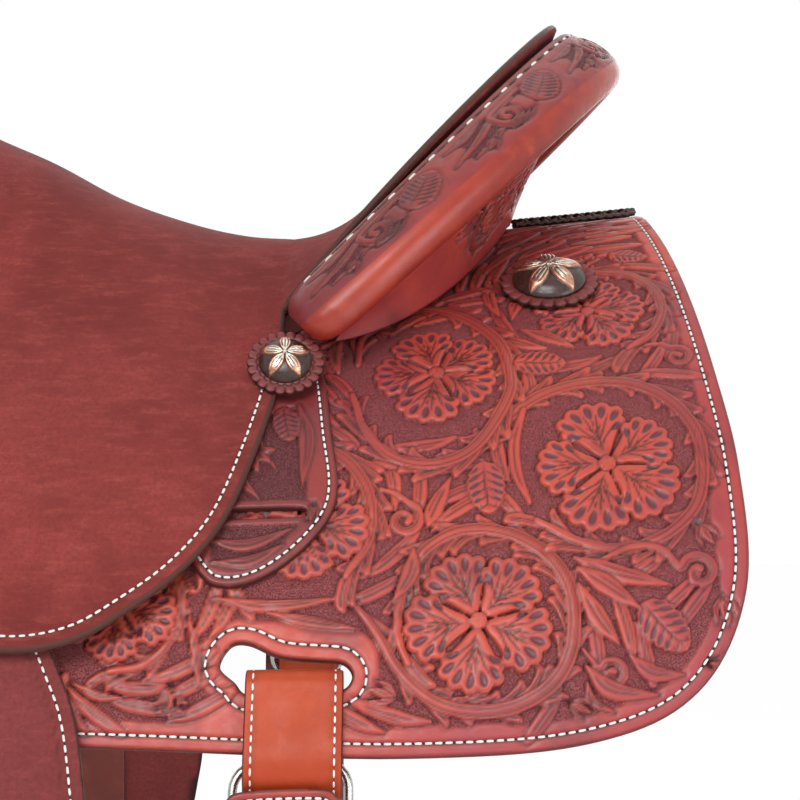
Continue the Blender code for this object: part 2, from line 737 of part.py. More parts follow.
def fork_shape(name, grow, kind):
    """The swell fork: an arched front outline, tapered in length towards its top."""
    half = [(0.0, FORK_TOP), (0.062, FORK_TOP - 0.006), (0.112, FORK_TOP - 0.030),
            (FORK_HALF_WIDTH - 0.006, 0.055), (FORK_HALF_WIDTH, 0.018),
            (FORK_HALF_WIDTH - 0.003, -0.030), (FORK_HALF_WIDTH + 0.002, FORK_FOOT, "corner"),
            (GULLET_HALF_WIDTH, FORK_FOOT, "corner"), (GULLET_HALF_WIDTH - 0.006, -0.020),
            (GULLET_HALF_WIDTH - 0.020, 0.026), (0.030, GULLET_TOP - 0.004), (0.0, GULLET_TOP)]
    outline = half + [(-spot[0], *spot[1:]) for spot in half[-2:0:-1]]
    curve = bpy.data.curves.new(name, "CURVE")
    curve.dimensions = "2D"
    curve.fill_mode = "BOTH"
    curve.resolution_u = 2
    curve.bevel_depth = FORK_EDGE
    curve.bevel_resolution = 1
    curve.offset = grow - FORK_EDGE
    curve.extrude = FORK_LENGTH / 2 + grow - FORK_EDGE
    spline = curve.splines.new("BEZIER")
    spline.bezier_points.add(len(outline) - 1)
    spline.use_cyclic_u = True
    for point, spot in zip(spline.bezier_points, outline):
        point.co = (spot[0], spot[1], 0)
        handle = "VECTOR" if len(spot) > 2 else "AUTO"
        point.handle_left_type = point.handle_right_type = handle
    guide = add_object(name, curve, None)
    mesh_obj = made_mesh(guide, None)
    for vert in mesh_obj.data.vertices:
        y, z, x = vert.co
        taper = 1 - FORK_TAPER * (z - FORK_FOOT) / (FORK_TOP - FORK_FOOT)
        vert.co = (FORK_CENTRE + x * taper, y, z)
    bm = bmesh.new()
    bm.from_mesh(mesh_obj.data)
    bpy.data.objects.remove(mesh_obj, do_unlink=True)
    return add_object(name, mesh_from(bm, name), kind)


FORK_FOOT = -0.105
FORK_EDGE = 0.010
FORK_TAPER = 0.42


def make_fork(spaces):
    fork = fork_shape("tree_fork", 0, "wood")
    cover = fork_shape("fork_cover", CLEAR + FORK_COVER_THICK, "tooled")
    inner = fork_shape("fork_with_air", CLEAR, None)
    boolean(cover, inner)
    for space in spaces:
        boolean(fork, space)
        boolean(cover, space)
    bpy.ops.mesh.primitive_cylinder_add(
        vertices=20, radius=HORN_NECK_RADIUS + CLEAR, depth=0.06,
        location=(HORN_CENTRE, 0, FORK_TOP + 0.01))
    hole = bpy.context.object
    hole.name = "horn_hole"
    for owner in list(hole.users_collection):
        owner.objects.unlink(hole)
    cutters.objects.link(hole)
    hole.hide_render = True
    hole.display_type = "WIRE"
    boolean(cover, hole)


def make_horn():
    """Steel post on the fork, a leather-wrapped neck and a capped head."""
    foot = FORK_TOP + CLEAR
    cover_top = FORK_TOP + 2 * CLEAR + FORK_COVER_THICK
    cap_foot = HORN_TOP - HORN_CAP_THICK
    neck = HORN_NECK_RADIUS
    place = (HORN_CENTRE, 0, 0)
    up = (0, 0, 1)
    plate, shelf = neck + 0.0075, cap_foot + 0.0040
    turned("horn_post", [(0, shelf + 0.0060), (plate, shelf + 0.0060), (plate, shelf + 0.0010),
                         (neck, shelf + 0.0004), (neck, foot), (0, foot)], place, up, "steel", 16)
    wrap, air = HORN_WRAP_RADIUS, neck + 0.0004
    top = cap_foot - 0.0005
    turned("horn_wrap", [(air, top), (wrap + 0.003, top), (wrap, top - 0.008),
                         (wrap - 0.001, top - 0.020), (wrap - 0.0005, cover_top + 0.016),
                         (wrap + 0.004, cover_top + 0.004), (wrap + 0.0045, cover_top),
                         (air, cover_top), (air, top)], place, up, "smooth", 20)
    cap = HORN_CAP_RADIUS
    pocket = plate + 0.0005
    turned("horn_cap", [(0, HORN_TOP), (cap - 0.006, HORN_TOP), (cap - 0.0015, HORN_TOP - 0.003),
                        (cap, HORN_TOP - 0.009), (cap - 0.002, cap_foot + 0.003),
                        (cap - 0.006, cap_foot), (air, cap_foot), (air, shelf),
                        (pocket, shelf), (pocket, shelf + 0.0065), (0, shelf + 0.0065)],
           place, up, "tooled", 28)


HORN_CAP_THICK = 0.020


def foot_of_cantle(angle, n, out=0):
    """A point n above the skirts on the cantle's foot line, at an angle from the rear centre."""
    y = CANTLE_FOOT_HALF * math.sin(angle)
    x = CANTLE_FOOT_REAR - CANTLE_FOOT_RUN * (1 - math.cos(angle)) ** CANTLE_FOOT_POWER
    x, y = x + out * math.cos(angle), y + out * math.sin(angle)
    s = BACK_RADIUS * (math.asin(abs(y) / BACK_RADIUS + math.sin(RIDGE_SLOPE)) - RIDGE_SLOPE)
    spot = on_back(x, s, 0, 1)
    return Vector((x, y, spot.z + (SKIRT_THICK + n) / math.cos(slope_at(s))))


CANTLE_FOOT_HALF = 0.128
CANTLE_FOOT_RUN = 0.112
CANTLE_FOOT_POWER = 0.85


def cantle_face(angle, share, out):
    """Back of the cantle, from under the roll (share 0) to its foot (share 1)."""
    spot, outward, up = rim(angle)
    foot = foot_of_cantle(angle, 2 * CLEAR, out)
    top = spot + outward * (ROLL_REACH * 0.50) - up * CANTLE_TOP
    top += Vector((outward.x, outward.y, 0)).normalized() * out
    top.z = max(top.z, foot.z + 0.004)
    hollow = math.sin(math.pi * share) * CANTLE_HOLLOW
    return top + (foot - top) * share - Vector((outward.x, outward.y, 0)).normalized() * hollow


CANTLE_ANGLES = [math.radians(a) for a in (-84, -72, -54, -36, -18, 0, 18, 36, 54, 72, 84)]
CANTLE_TOP = 0.0282
CANTLE_WOOD_END = math.radians(75)
ROLL_LIP = 0.71
CANTLE_HOLLOW = 0.006


def make_cantle(cutters_above, cutters_below):
    rings, back_rings = [], []
    shares = (0, 0.5, 1)
    for angle in CANTLE_ANGLES:
        spot, outward, up = rim(angle)
        foot = foot_of_cantle(angle, 2 * CLEAR)
        inner_foot = Vector((SEAT_CENTRE + (foot.x - SEAT_CENTRE) * 0.60, foot.y * 0.60, foot.z))
        inner_top = spot - outward * 0.030 - up * (ROLL_DEPTH + 2 * CLEAR)
        if abs(angle) < CANTLE_WOOD_END:
            rings.append([*[cantle_face(angle, share, 0) for share in shares], inner_foot, inner_top])
        back_rings.append([cantle_face(angle, share, 2 * CLEAR) for share in shares]
                          + [cantle_face(angle, share, 2 * CLEAR + CANTLE_BACK_THICK)
                             for share in reversed(shares)])
    cantle = loft("tree_cantle", rings, "wood")
    for cutter in (*cutters_above, *cutters_below):
        boolean(cantle, cutter)
    smooth_round(loft("cantle_back", back_rings, "tooled"))


CANTLE_BACK_THICK = 0.0032


def make_roll():
    """The rolled binding of the rim, with its filler: flat tooled top, round outer edge."""
    reach, depth = ROLL_REACH, ROLL_DEPTH
    inner = SEAT_THICK + 2 * CLEAR
    section = [(inner, -0.0040), (inner + 0.0015, -0.0005), (0.30 * reach, -0.0010),
               (0.62 * reach, -0.0060), (0.86 * reach, -0.0125), (0.98 * reach, -0.0190),
               (reach, -0.0255), (0.94 * reach, -0.0320), (0.83 * reach, -0.0345),
               (ROLL_LIP * reach, -0.0330), (ROLL_LIP * reach, -depth), (inner + 0.003, -depth),
               (inner, -depth + 0.006)]
    middle = (0.52 * reach, -0.0170)
    last = ROLL_ENDS[0][0]
    stations = [(last * (2 * k / ROLL_STATIONS - 1), 1.0) for k in range(ROLL_STATIONS + 1)]
    stations = [(-a, size) for a, size in ROLL_ENDS[:0:-1]] + stations + list(ROLL_ENDS[1:])
    rings = []
    for angle, size in stations:
        spot, outward, up = rim(math.radians(angle))
        rings.append([spot + outward * (middle[0] + (o - middle[0]) * size)
                      + up * (middle[1] + (u - middle[1]) * size) for o, u in section])
    smooth_round(loft("cantle_roll", rings, "smooth"))


ROLL_STATIONS = 18
ROLL_ENDS = ((88.0, 1.0), (90.0, 0.92), (91.3, 0.78), (92.2, 0.55))


# Conchos


def tangent_frame(normal):
    """Two directions along a surface, for pieces laid flat on it."""
    along = Vector((1, 0, 0))
    along = (along - normal * along.dot(normal)).normalized()
    return along, normal.cross(along)


def disc(name, place, normal, radii, low, high, kind):
    """A flat piece whose rim follows radii, from low to high above a place on a surface."""
    along, across = tangent_frame(normal)
    rings = []
    for height in (low, high):
        ring = []
        for k, radius in enumerate(radii):
            angle = 2 * math.pi * k / len(radii)
            flat = along * math.cos(angle) + across * math.sin(angle)
            ring.append(place + flat * radius + normal * height)
        rings.append(ring)
    return loft(name, rings, kind)


def make_concho(name, place, normal, sizes, with_rosette=True):
    radius, high, rosette = sizes
    foot = place + normal * CONCHO_AIR
    if with_rosette:
        notch = [rosette * (1.0 if k % 2 else 0.93) for k in range(2 * SCALLOPS)]
        top = CONCHO_AIR + ROSETTE_THICK
        disc(f"{name}_rosette", place, normal, notch, CONCHO_AIR, top, "rosette")
        foot = place + normal * (top + CONCHO_AIR)
    profile = [(0, high), (0.42 * radius, 0.93 * high), (0.76 * radius, 0.66 * high),
               (0.93 * radius, 0.32 * high), (radius, 0.18 * high), (radius, 0), (0, 0)]
    turned(f"{name}", profile, foot, normal, "concho", 20)


CONCHO_AIR = 0.0004
CONCHO_LIFT = 0.0009
FRONT_CONCHO_FALL = 0.22


def make_conchos(side_name, side):
    x, s = REAR_CONCHO_AT
    make_concho(f"rear_concho_{side_name}", on_back(x, s, SKIRT_THICK + CONCHO_LIFT, side),
                normal_at(x, s, side), REAR_CONCHO)
    x, s = SEAT_CONCHO_AT
    place = seat_point(x, s, side)
    step = 0.012
    down = seat_point(x, s + step, side) - seat_point(x, s - step, side)
    across, fall = down.y * side, -down.z
    slope = math.atan2(fall, across) + SEAT_CONCHO_TILT
    normal = Vector((0, side * math.sin(slope), math.cos(slope)))
    lift = SEAT_CONCHO[2] * math.sin(SEAT_CONCHO_TILT)
    make_concho(f"seat_concho_{side_name}", place + normal * lift, normal, SEAT_CONCHO)
    x, s = FRONT_CONCHO_AT
    top = front_jockey_low(x, s) + JOCKEY_THICK
    slope = math.atan2(FRONT_CONCHO_FALL, 1)
    normal = normal_at(x, s + BACK_RADIUS * slope, side)
    make_concho(f"front_concho_{side_name}", on_back(x, s, top + CONCHO_LIFT, side), normal,
                REAR_CONCHO, with_rosette=False)


# Rigging: front plate and straps, rear billets, flank cinch


def flat_plate(name, outlines, x, s, low, thickness, side, kind):
    """A rigid flat plate lying along the back surface at one place."""
    bm = outline_mesh(outlines, 4)
    bmesh.ops.dissolve_limit(bm, angle_limit=0.002, verts=bm.verts, edges=bm.edges)
    bmesh.ops.triangulate(bm, faces=bm.faces)
    centre = on_back(x, s, low, side)
    normal = normal_at(x, s, side)
    along, across = tangent_frame(normal)
    down = across * side
    for vert in bm.verts:
        share = vert.co.z + 0.5
        vert.co = centre + along * vert.co.x + down * vert.co.y + normal * thickness * share
    return add_object(name, mesh_from(bm, name), kind)


def rounded(width, height, radius, centre=(0, 0)):
    """Corner points of a rounded rectangle."""
    a, b = width / 2, height / 2
    spots = []
    for sx, sy in ((1, 1), (-1, 1), (-1, -1), (1, -1)):
        cut = [(a, b - radius), (a - 0.29 * radius, b - 0.29 * radius), (a - radius, b)]
        if sx * sy < 0:
            cut.reverse()
        spots += [(centre[0] + sx * p, centre[1] + sy * q) for p, q in cut]
    return spots


def make_front_rigging(side_name, side):
    low = SKIRT_THICK + CLEAR + PLATE_LIFT
    outline = rounded(PLATE_LENGTH, PLATE_HEIGHT, 0.012)
    slot = rounded(PLATE_SLOT_LENGTH, PLATE_SLOT_HEIGHT, 0.006, (0, PLATE_SLOT_DOWN))
    flat_plate(f"front_rigging_plate_{side_name}", [outline, slot], FRONT_RIG_X, FRONT_RIG_S,
               low, PLATE_THICK, side, "steel")
    air, half = 0.0018, STRAP_THICK / 2
    front = low + PLATE_THICK + air + half
    back = low - air - half
    bar_top = FRONT_RIG_S + PLATE_SLOT_DOWN + PLATE_SLOT_HEIGHT / 2
    top = bar_top - 0.0052 - half
    fold = list(fold_path(top, front, back))
    end = FRONT_RIG_S + LATIGO_LENGTH
    path = [(bar_top + 0.075, front - STRAP_THICK - 0.0006), (bar_top + 0.045, back + 0.004),
            (bar_top + 0.012, back), *fold, (bar_top + 0.030, front),
            *[(bar_top + 0.060 + (end - bar_top - 0.060) * k / 5, front) for k in range(6)]]
    name = "latigo" if side < 0 else "off_billet"
    x = FRONT_RIG_X
    ribbon(name, path, x - BILLET_WIDTH / 2, x + BILLET_WIDTH / 2, STRAP_THICK, side, "billet")


PLATE_LIFT = 0.0010
PLATE_SLOT_LENGTH = 0.062
PLATE_SLOT_HEIGHT = 0.0145
PLATE_SLOT_DOWN = 0.0072


def fold_path(top, front, back, steps=6):
    """(s, n) points of a strap's half turn, from its back strand to its front strand."""
    middle, radius = (front + back) / 2, (front - back) / 2
    for k in range(steps + 1):
        angle = math.pi * (k / steps - 0.5)
        yield top + radius - radius * math.cos(angle), middle + radius * math.sin(angle)


def make_rear_rigging(side_name, side):
    half = STRAP_THICK / 2
    front = SKIRT_THICK + GIRTH_CLEAR + half
    back = -GIRTH_CLEAR - half
    behind = BUCKLE_N - CINCH_THICK / 2 - CLEAR - half
    heel = BUCKLE_TOP + BUCKLE_HEIGHT - BUCKLE_WIRE
    path = [(SKIRT_DROP + 0.006, back), (SKIRT_DROP - 0.010, back),
            *fold_path(FOLD_TOP + half, front, back), (0.366, front),
            (SKIRT_DROP + 0.003, front), (SKIRT_DROP + 0.011, front - 0.0060),
            (heel - 0.022, BUCKLE_N + 0.005), (heel - 0.013, BUCKLE_N - 0.0015),
            (heel - 0.005, behind + 0.0008), (heel + 0.004, behind), (heel + 0.034, behind)]
    x = SLOT_CENTRE
    billet = ribbon(f"flank_billet_{side_name}", path, x - BILLET_WIDTH / 2,
                    x + BILLET_WIDTH / 2, STRAP_THICK, side, "billet", lean=-0.02)
    hole = [(heel - 0.0275, BUCKLE_N + 0.012), (heel - 0.0275, BUCKLE_N - 0.012),
            (heel + 0.0040, BUCKLE_N - 0.012), (heel + 0.0040, BUCKLE_N + 0.012)]
    rings = [[on_back(x - 0.001 + a, s, n, side) for s, n in hole] for a in (-0.0032, 0.0032)]
    boolean(billet, loft(f"billet_hole_{side_name}", rings, None))
    frame = [(BUCKLE_TOP + BUCKLE_HEIGHT / 2 + b, a) for a, b in
             corner_arcs(BUCKLE_WIDTH - 2 * BUCKLE_WIRE, BUCKLE_HEIGHT - 2 * BUCKLE_WIRE, 0.012)]
    wire(f"flank_buckle_{side_name}", [on_back(x - 0.001 + a, s, BUCKLE_N, side) for s, a in frame],
         BUCKLE_WIRE, "steel", cyclic=True)
    rest = BUCKLE_N - BUCKLE_WIRE - TONGUE_WIRE - 0.0004
    chain = [(heel, rest), (heel - 0.012, BUCKLE_N - 0.0030),
             (heel - 0.024, BUCKLE_N - 0.0026), (BUCKLE_TOP + 0.006, rest), (BUCKLE_TOP, rest)]
    wire(f"flank_buckle_tongue_{side_name}",
         [on_back(x - 0.001, s, n, side) for s, n in chain], TONGUE_WIRE, "steel")
    safe = [(-0.0283, 0.0125), (-0.0245, 0.0035), (-0.016, 0.0), (0.016, 0.0), (0.0245, 0.0035),
            (0.0283, 0.0125), (0.0283, SAFE_LENGTH, "corner"), (-0.0283, SAFE_LENGTH, "corner")]
    leather(f"flank_safe_{side_name}", [[(x - 0.0045 + a, SAFE_TOP + b, *c) for a, b, *c in safe]],
            safe_low, lambda x, s: safe_low(x, s) + JOCKEY_THICK, side, "tooled",
            extra_rows=(0.398, 0.4055, 0.413, 0.420))


def safe_low(x, s):
    """Underside of the tooled end that lies over the billet and the buckle."""
    over_strap = SKIRT_THICK + GIRTH_CLEAR
    over_cinch = BUCKLE_N + CINCH_THICK / 2 + CLEAR
    return over_strap + (over_cinch - over_strap) * blend(s, 0.3935, 0.4205)


BUCKLE_N = -0.0100
TONGUE_WIRE = 0.0013
SAFE_TOP = 0.3925
SAFE_LENGTH = 0.072


def corner_arcs(width, height, radius, steps=3):
    """A rounded rectangle as a closed chain of points."""
    a, b = width / 2 - radius, height / 2 - radius
    for start, (sx, sy) in zip((0, 90, 180, 270), ((1, 1), (-1, 1), (-1, -1), (1, -1))):
        yield from arc((sx * a, sy * b), radius, start, start + 90, steps)


def make_cinch():
    """The flank cinch: from one buckle's lower bar, under the belly, to the other's."""
    top_s = BUCKLE_TOP + BUCKLE_HEIGHT + 0.0006
    x = SLOT_CENTRE - 0.002
    middles, widths = [], []
    for s in (top_s, top_s + CINCH_STRAIGHT):
        middles.append(on_back(x, s, BUCKLE_N, -1))
        widths.append(Vector((CINCH_WIDTH / 2, 0, 0)))
    half_span, top = -middles[-1].y, middles[-1].z
    count = 2 * CINCH_STEPS
    for k in range(1, count):
        angle = math.pi * k / count
        y = -half_span * math.cos(angle) * (1.0 + 0.02 * math.sin(angle) ** 2)
        z = top - (CINCH_DROP - CINCH_STRAIGHT) * math.sin(angle) ** 0.62
        middles.append(Vector((middles[0].x, y, z)))
        widths.append(Vector((CINCH_WIDTH / 2 + 0.018 * math.sin(angle) ** 2, 0, 0)))
    for middle in (middles[1], middles[0]):
        middles.append(Vector((middle.x, -middle.y, middle.z)))
        widths.append(widths[0])
    last = len(middles) - 1
    rings = []
    for k, (middle, wide) in enumerate(zip(middles, widths)):
        along = (middles[min(k + 1, last)] - middles[max(k - 1, 0)]).normalized()
        inward = Vector((0, -along.z, along.y)) * (CINCH_THICK / 2)
        rings.append([middle - wide - inward, middle + wide - inward,
                      middle + wide + inward, middle - wide + inward])
    loft("flank_cinch", rings, "tooled")


CINCH_STEPS = 8
CINCH_STRAIGHT = 0.050
CINCH_THICK = 0.0055


# Fenders and stirrups


def fender_outline():
    half = FENDER_WIDTH / 2
    right = [(0.50 * half, FENDER_TOP, "corner"), (0.62 * half, 0.312), (0.76 * half, 0.337),
             (0.89 * half, 0.374), (half, 0.470), (0.95 * half, 0.520), (0.80 * half, 0.585),
             (0.60 * half, 0.635), (0.46 * half, FENDER_BOTTOM, "corner")]
    left = [(-spot[0], *spot[1:]) for spot in reversed(right)]
    return [(FENDER_X + spot[0], *spot[1:]) for spot in right + left]


def make_fender(side_name, side):
    leather(f"fender_{side_name}", [fender_outline()], FENDER_N, FENDER_N + FENDER_THICK, side,
            "seat_suede", 2)
    half = STIRRUP_LEATHER_THICK / 2
    n = FENDER_N - CLEAR - half
    reach = BOLT_RADIUS + CLEAR + half
    bolt_n = n - reach
    x0, x1 = FENDER_X - STIRRUP_LEATHER_WIDTH / 2, FENDER_X + STIRRUP_LEATHER_WIDTH / 2
    down = [(s, n) for s in (FENDER_TOP + LEATHER_PART / 2, 0.330, 0.375, 0.420, 0.465, 0.51, 0.62)]
    turn = [(STIRRUP_BOLT_S + reach * math.sin(a), bolt_n + reach * math.cos(a))
            for a in [math.pi * k / 6 for k in range(7)]]
    back = [(STIRRUP_BOLT_S - 0.030, n - 2 * half - 0.0012), (0.640, n - 2 * half - 0.0008)]
    ribbon(f"stirrup_leather_{side_name}", down + turn + back, x0, x1, STIRRUP_LEATHER_THICK,
           side, "stirrup")
    low_n = SKIRT_THICK + CLEAR + half + 0.0003
    over = CLEAR + half + 0.0004
    high_n = bar_high(FENDER_X, 0) + over
    loop = [(FENDER_TOP - LEATHER_PART / 2, n), (0.250, n), (0.219, n), (0.195, n), (0.172, low_n + 0.001),
            *[(s, low_n) for s in (0.1563, 0.125, 0.0938, 0.0625)], (0.0520, low_n + 0.0004),
            (0.0475, low_n + 0.0035), (0.0462, (low_n + high_n) / 2), (0.0475, high_n - 0.0035),
            (0.0520, high_n - 0.0004),
            *[(s, bar_high(FENDER_X, s) + over) for s in (0.0625, 0.0938, 0.110, 0.125, 0.1405, 0.1563)],
            (0.176, n + 0.0068), (0.195, n + 2 * half + CLEAR), (0.219, n + 2 * half + CLEAR)]
    ribbon(f"stirrup_leather_loop_{side_name}", loop, x0, x1, STIRRUP_LEATHER_THICK, side, "stirrup")
    make_stirrup(side_name, side, on_back(FENDER_X, STIRRUP_BOLT_S, bolt_n, side))
    low, high = n - 3 * half - 0.0030, n + half + 0.0009
    rings = []
    for a, b in corner_arcs(STIRRUP_LEATHER_WIDTH + 0.003, high - low, 0.0022, 2):
        out = HOBBLE_THICK
        far_a, far_b = math.copysign(out, a), math.copysign(out, b - 0)
        spots = [(FENDER_X + a, (low + high) / 2 + b),
                 (FENDER_X + a + far_a, (low + high) / 2 + b + far_b)]
        rings.append([on_back(spots[0][0], HOBBLE_S, spots[0][1], side),
                      on_back(spots[1][0], HOBBLE_S, spots[1][1], side),
                      on_back(spots[1][0], HOBBLE_S + HOBBLE_HIGH, spots[1][1], side),
                      on_back(spots[0][0], HOBBLE_S + HOBBLE_HIGH, spots[0][1], side)])
    loft(f"hobble_strap_{side_name}", rings, "smooth", closed=True)
    plate = rounded(0.066, 0.036, 0.006)
    pins = [rounded(0.007, 0.007, 0.0032, (a, 0)) for a in (-0.014, 0.014)]
    outlines = [[(FENDER_X + a, STIRRUP_BUCKLE_S + b) for a, b in line] for line in (plate, *pins)]
    plate_high = n - 3 * half - 0.0016
    leather(f"stirrup_buckle_{side_name}", outlines, plate_high - 0.0024, plate_high, side,
            "steel", 2)


def make_stirrup(side_name, side, bolt):
    """A bell stirrup hung on its bolt, its opening across the horse."""
    top_half, foot_half = STIRRUP_LEATHER_WIDTH / 2 + 0.004, STIRRUP_WIDTH / 2
    thick = STIRRUP_THICK
    high = STIRRUP_HEIGHT
    shape = [(top_half, 0.014), (top_half, -0.006), (top_half + 0.004, -0.35 * high),
             (foot_half - thick, -0.70 * high), (foot_half - thick - 0.004, -0.90 * high),
             (foot_half - thick - 0.016, -high + thick)]
    inner = shape + [(-a, b) for a, b in reversed(shape)]
    rings = []
    for k, (a, b) in enumerate(inner):
        before, after = inner[max(k - 1, 0)], inner[min(k + 1, len(inner) - 1)]
        along = Vector((after[0] - before[0], 0, after[1] - before[1])).normalized()
        out = Vector((-along.z, 0, along.x))
        depth = STIRRUP_TREAD_DEPTH / 2 * (0.44 + 0.56 * blend(-b, 0.0, 0.8 * high))
        spot = bolt + Vector((a, 0, b))
        deep = Vector((0, depth, 0))
        rings.append([spot - deep, spot + deep, spot + deep + out * thick, spot - deep + out * thick])
    frame = loft(f"stirrup_{side_name}", rings, "stirrup")
    hole = turned(f"bolt_hole_{side_name}", [(0, 0.08), (BOLT_RADIUS + 0.0003, 0.08),
                                             (BOLT_RADIUS + 0.0003, -0.08), (0, -0.08)],
                  bolt, (1, 0, 0), None, 14)
    boolean(frame, hole)
    end = top_half + thick + 0.0006
    r = BOLT_RADIUS
    turned(f"stirrup_bolt_{side_name}", [(0, end + 0.004), (1.5 * r, end + 0.004), (1.7 * r, end),
                                         (r, end), (r, -end), (1.7 * r, -end),
                                         (1.5 * r, -end - 0.004), (0, -end - 0.004)],
           bolt, (1, 0, 0), "steel", 14)


STIRRUP_THICK = 0.0085
HOBBLE_S = 0.700
HOBBLE_HIGH = 0.016
HOBBLE_THICK = 0.0024
STIRRUP_BUCKLE_S = 0.662


# Joints: an empty on each axis carries the pieces that turn about it


def hang(name, pivot, members, carrier=None):
    """An empty on a joint's axis, with the pieces that turn about it parented to it."""
    empty = bpy.data.objects.new(name, None)
    empty.empty_display_size = 0.03
    saddle.objects.link(empty)
    empty.location = pivot
    if carrier:
        empty.parent = carrier
        empty.location -= carrier.location
    for member in members:
        piece = bpy.data.objects[member]
        piece.parent = empty
        piece.location -= Vector(pivot)
    return empty


def hang_fender(side_name, side):
    """The fender turns about the way straight out from the skirt, and the stirrup about its bolt."""
    pivot = on_back(FENDER_X, FENDER_PIVOT_S, FENDER_N, side)
    members = ("fender", "stirrup_leather", "hobble_strap", "stirrup_buckle", "stirrup_bolt")
    fender = hang(f"fender_swing_{side_name}", pivot, [f"{m}_{side_name}" for m in members])
    bolt = pivot + bpy.data.objects[f"stirrup_bolt_{side_name}"].location
    hang(f"stirrup_swing_{side_name}", bolt, [f"stirrup_{side_name}"], fender)


def hang_rear_girth():
    """Billets, buckles and cinch make one loop that swings about the bars below the two slots."""
    members = [f"{m}_{s}" for m in ("flank_billet", "flank_buckle", "flank_safe") for s in SIDES]
    bar = on_back(SLOT_CENTRE, SLOT_BAR_TOP, 0, 1)
    girth = hang("rear_girth_swing", (bar.x, 0, bar.z), members + ["flank_cinch"])
    for side_name, side in SIDES.items():
        heel = on_back(SLOT_CENTRE - 0.001, BUCKLE_TOP + BUCKLE_HEIGHT - BUCKLE_WIRE, BUCKLE_N, side)
        hang(f"tongue_turn_{side_name}", heel, [f"flank_buckle_tongue_{side_name}"], girth)


def hang_front_straps():
    down = FRONT_RIG_S + PLATE_SLOT_DOWN
    for member, side in (("latigo", -1), ("off_billet", 1)):
        hang(f"{member}_swing", on_back(FRONT_RIG_X, down, SKIRT_THICK, side), [member])


FENDER_PIVOT_S = 0.300
LEATHER_PART = 0.024


spaces_above = make_seat()
bar_spaces = []
for name, sign in SIDES.items():
    make_skirts(name, sign)
    make_under_jockey(name, sign)
    make_front_jockey(name, sign)
    make_bars(name, sign, spaces_above)
    bar_spaces.append(bar_space(f"bar_space_{name}", -0.09, sign))
    make_conchos(name, sign)
    make_front_rigging(name, sign)
    make_rear_rigging(name, sign)
    make_fender(name, sign)
make_lacing()
make_fork(bar_spaces)
make_horn()
make_cantle(spaces_above, bar_spaces)
make_roll()
make_cinch()
for name, sign in SIDES.items():
    hang_fender(name, sign)
hang_rear_girth()
hang_front_straps()
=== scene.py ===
"""Looks of the barrel racing saddle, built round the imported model.

Metres, +X to the rear, -Y the near (left) side, +Z up. Flat leathers are drawn on charts in
millimetres: on the saddle's back, u is x and v is the distance s down the horse's side.
"""

import math

import bpy
import numpy as np
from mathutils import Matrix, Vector
from mathutils.geometry import delaunay_2d_cdt


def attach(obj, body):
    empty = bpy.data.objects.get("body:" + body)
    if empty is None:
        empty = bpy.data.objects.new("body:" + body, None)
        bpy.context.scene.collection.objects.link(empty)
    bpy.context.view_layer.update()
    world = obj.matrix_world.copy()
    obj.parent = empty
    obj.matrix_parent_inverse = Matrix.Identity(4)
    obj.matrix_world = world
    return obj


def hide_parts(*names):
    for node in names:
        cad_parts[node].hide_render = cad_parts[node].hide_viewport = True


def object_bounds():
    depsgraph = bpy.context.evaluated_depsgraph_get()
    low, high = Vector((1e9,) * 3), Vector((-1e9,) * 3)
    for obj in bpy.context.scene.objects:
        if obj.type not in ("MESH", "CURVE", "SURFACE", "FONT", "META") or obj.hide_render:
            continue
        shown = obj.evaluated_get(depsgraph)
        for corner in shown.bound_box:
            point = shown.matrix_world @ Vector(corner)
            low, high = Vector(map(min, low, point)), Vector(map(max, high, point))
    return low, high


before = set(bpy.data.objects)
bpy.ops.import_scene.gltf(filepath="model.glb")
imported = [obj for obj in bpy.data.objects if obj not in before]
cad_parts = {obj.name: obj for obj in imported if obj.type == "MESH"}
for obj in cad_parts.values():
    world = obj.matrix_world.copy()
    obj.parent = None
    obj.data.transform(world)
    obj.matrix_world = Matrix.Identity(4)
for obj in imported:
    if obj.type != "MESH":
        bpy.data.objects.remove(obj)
cad_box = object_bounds()
MM = 0.001
SIDES = {"left": -1, "right": 1}

# Camera of the photograph
FOCAL_PX = 1651.0
PHOTO = 800.0
VANISH = (333.0, 400.0)
EYE = (0.127, -1.0, -0.095)

# Back surface and layers, as in the CAD source
BACK_RADIUS = 0.398
RIDGE_SLOPE = math.radians(18)
ROCKER = 0.18
BEND_STEP = math.radians(4.5)
RIDGE_ROUND = 0.0065
DIP, DIP_CENTRE, DIP_HALF, DIP_SIDE = 0.014, 0.085, 0.155, (0.05, 0.20)
PLUMB_SIDE = (0.385, 0.60)
PLUMB = BACK_RADIUS * (math.pi / 2 - RIDGE_SLOPE)
CLEAR = 0.0008
SKIRT_THICK = 0.0050

# Faces of leathers above the back, thickness and sunk thread, in millimetres
SKIRT_TOP = 5.0
TAB_FACES = (5.8, 9.4)
FENDER_FACES = (12.2, 15.8)
JOCKEY_THICK = 4.6
THREAD_SUNK = 0.25

# Tooled band of the cantle roll and its row of stitches, in millimetres
ROLL_BAND, ROLL_STITCH = 40.0, 9.5

# A flower's petals, and the order in which they are laid over each other
PETALS = 5
PETAL_ORDER = (0, 2, 4, 1, 3)

# Carving: its height against its drawing, and the shapes of its leaves and petals
RELIEF = 1.35
FINGER = (0.30, 0.72, 1.0, 1.0, 0.86, 0.55)
BLADE = (0.22, 0.62, 1.0, 0.92, 0.60, 0.12)
TWO_CUTS = ((0.05, 0.15, 0.88, 1.0), (-0.48, 0.30, 0.85, 0.8))
PETAL = [(0.05, 0.0), (0.15, -0.11), (0.30, -0.20), (0.46, -0.31), (0.62, -0.405), (0.78, -0.40),
         (0.91, -0.25),
         (0.97, 0.0)]

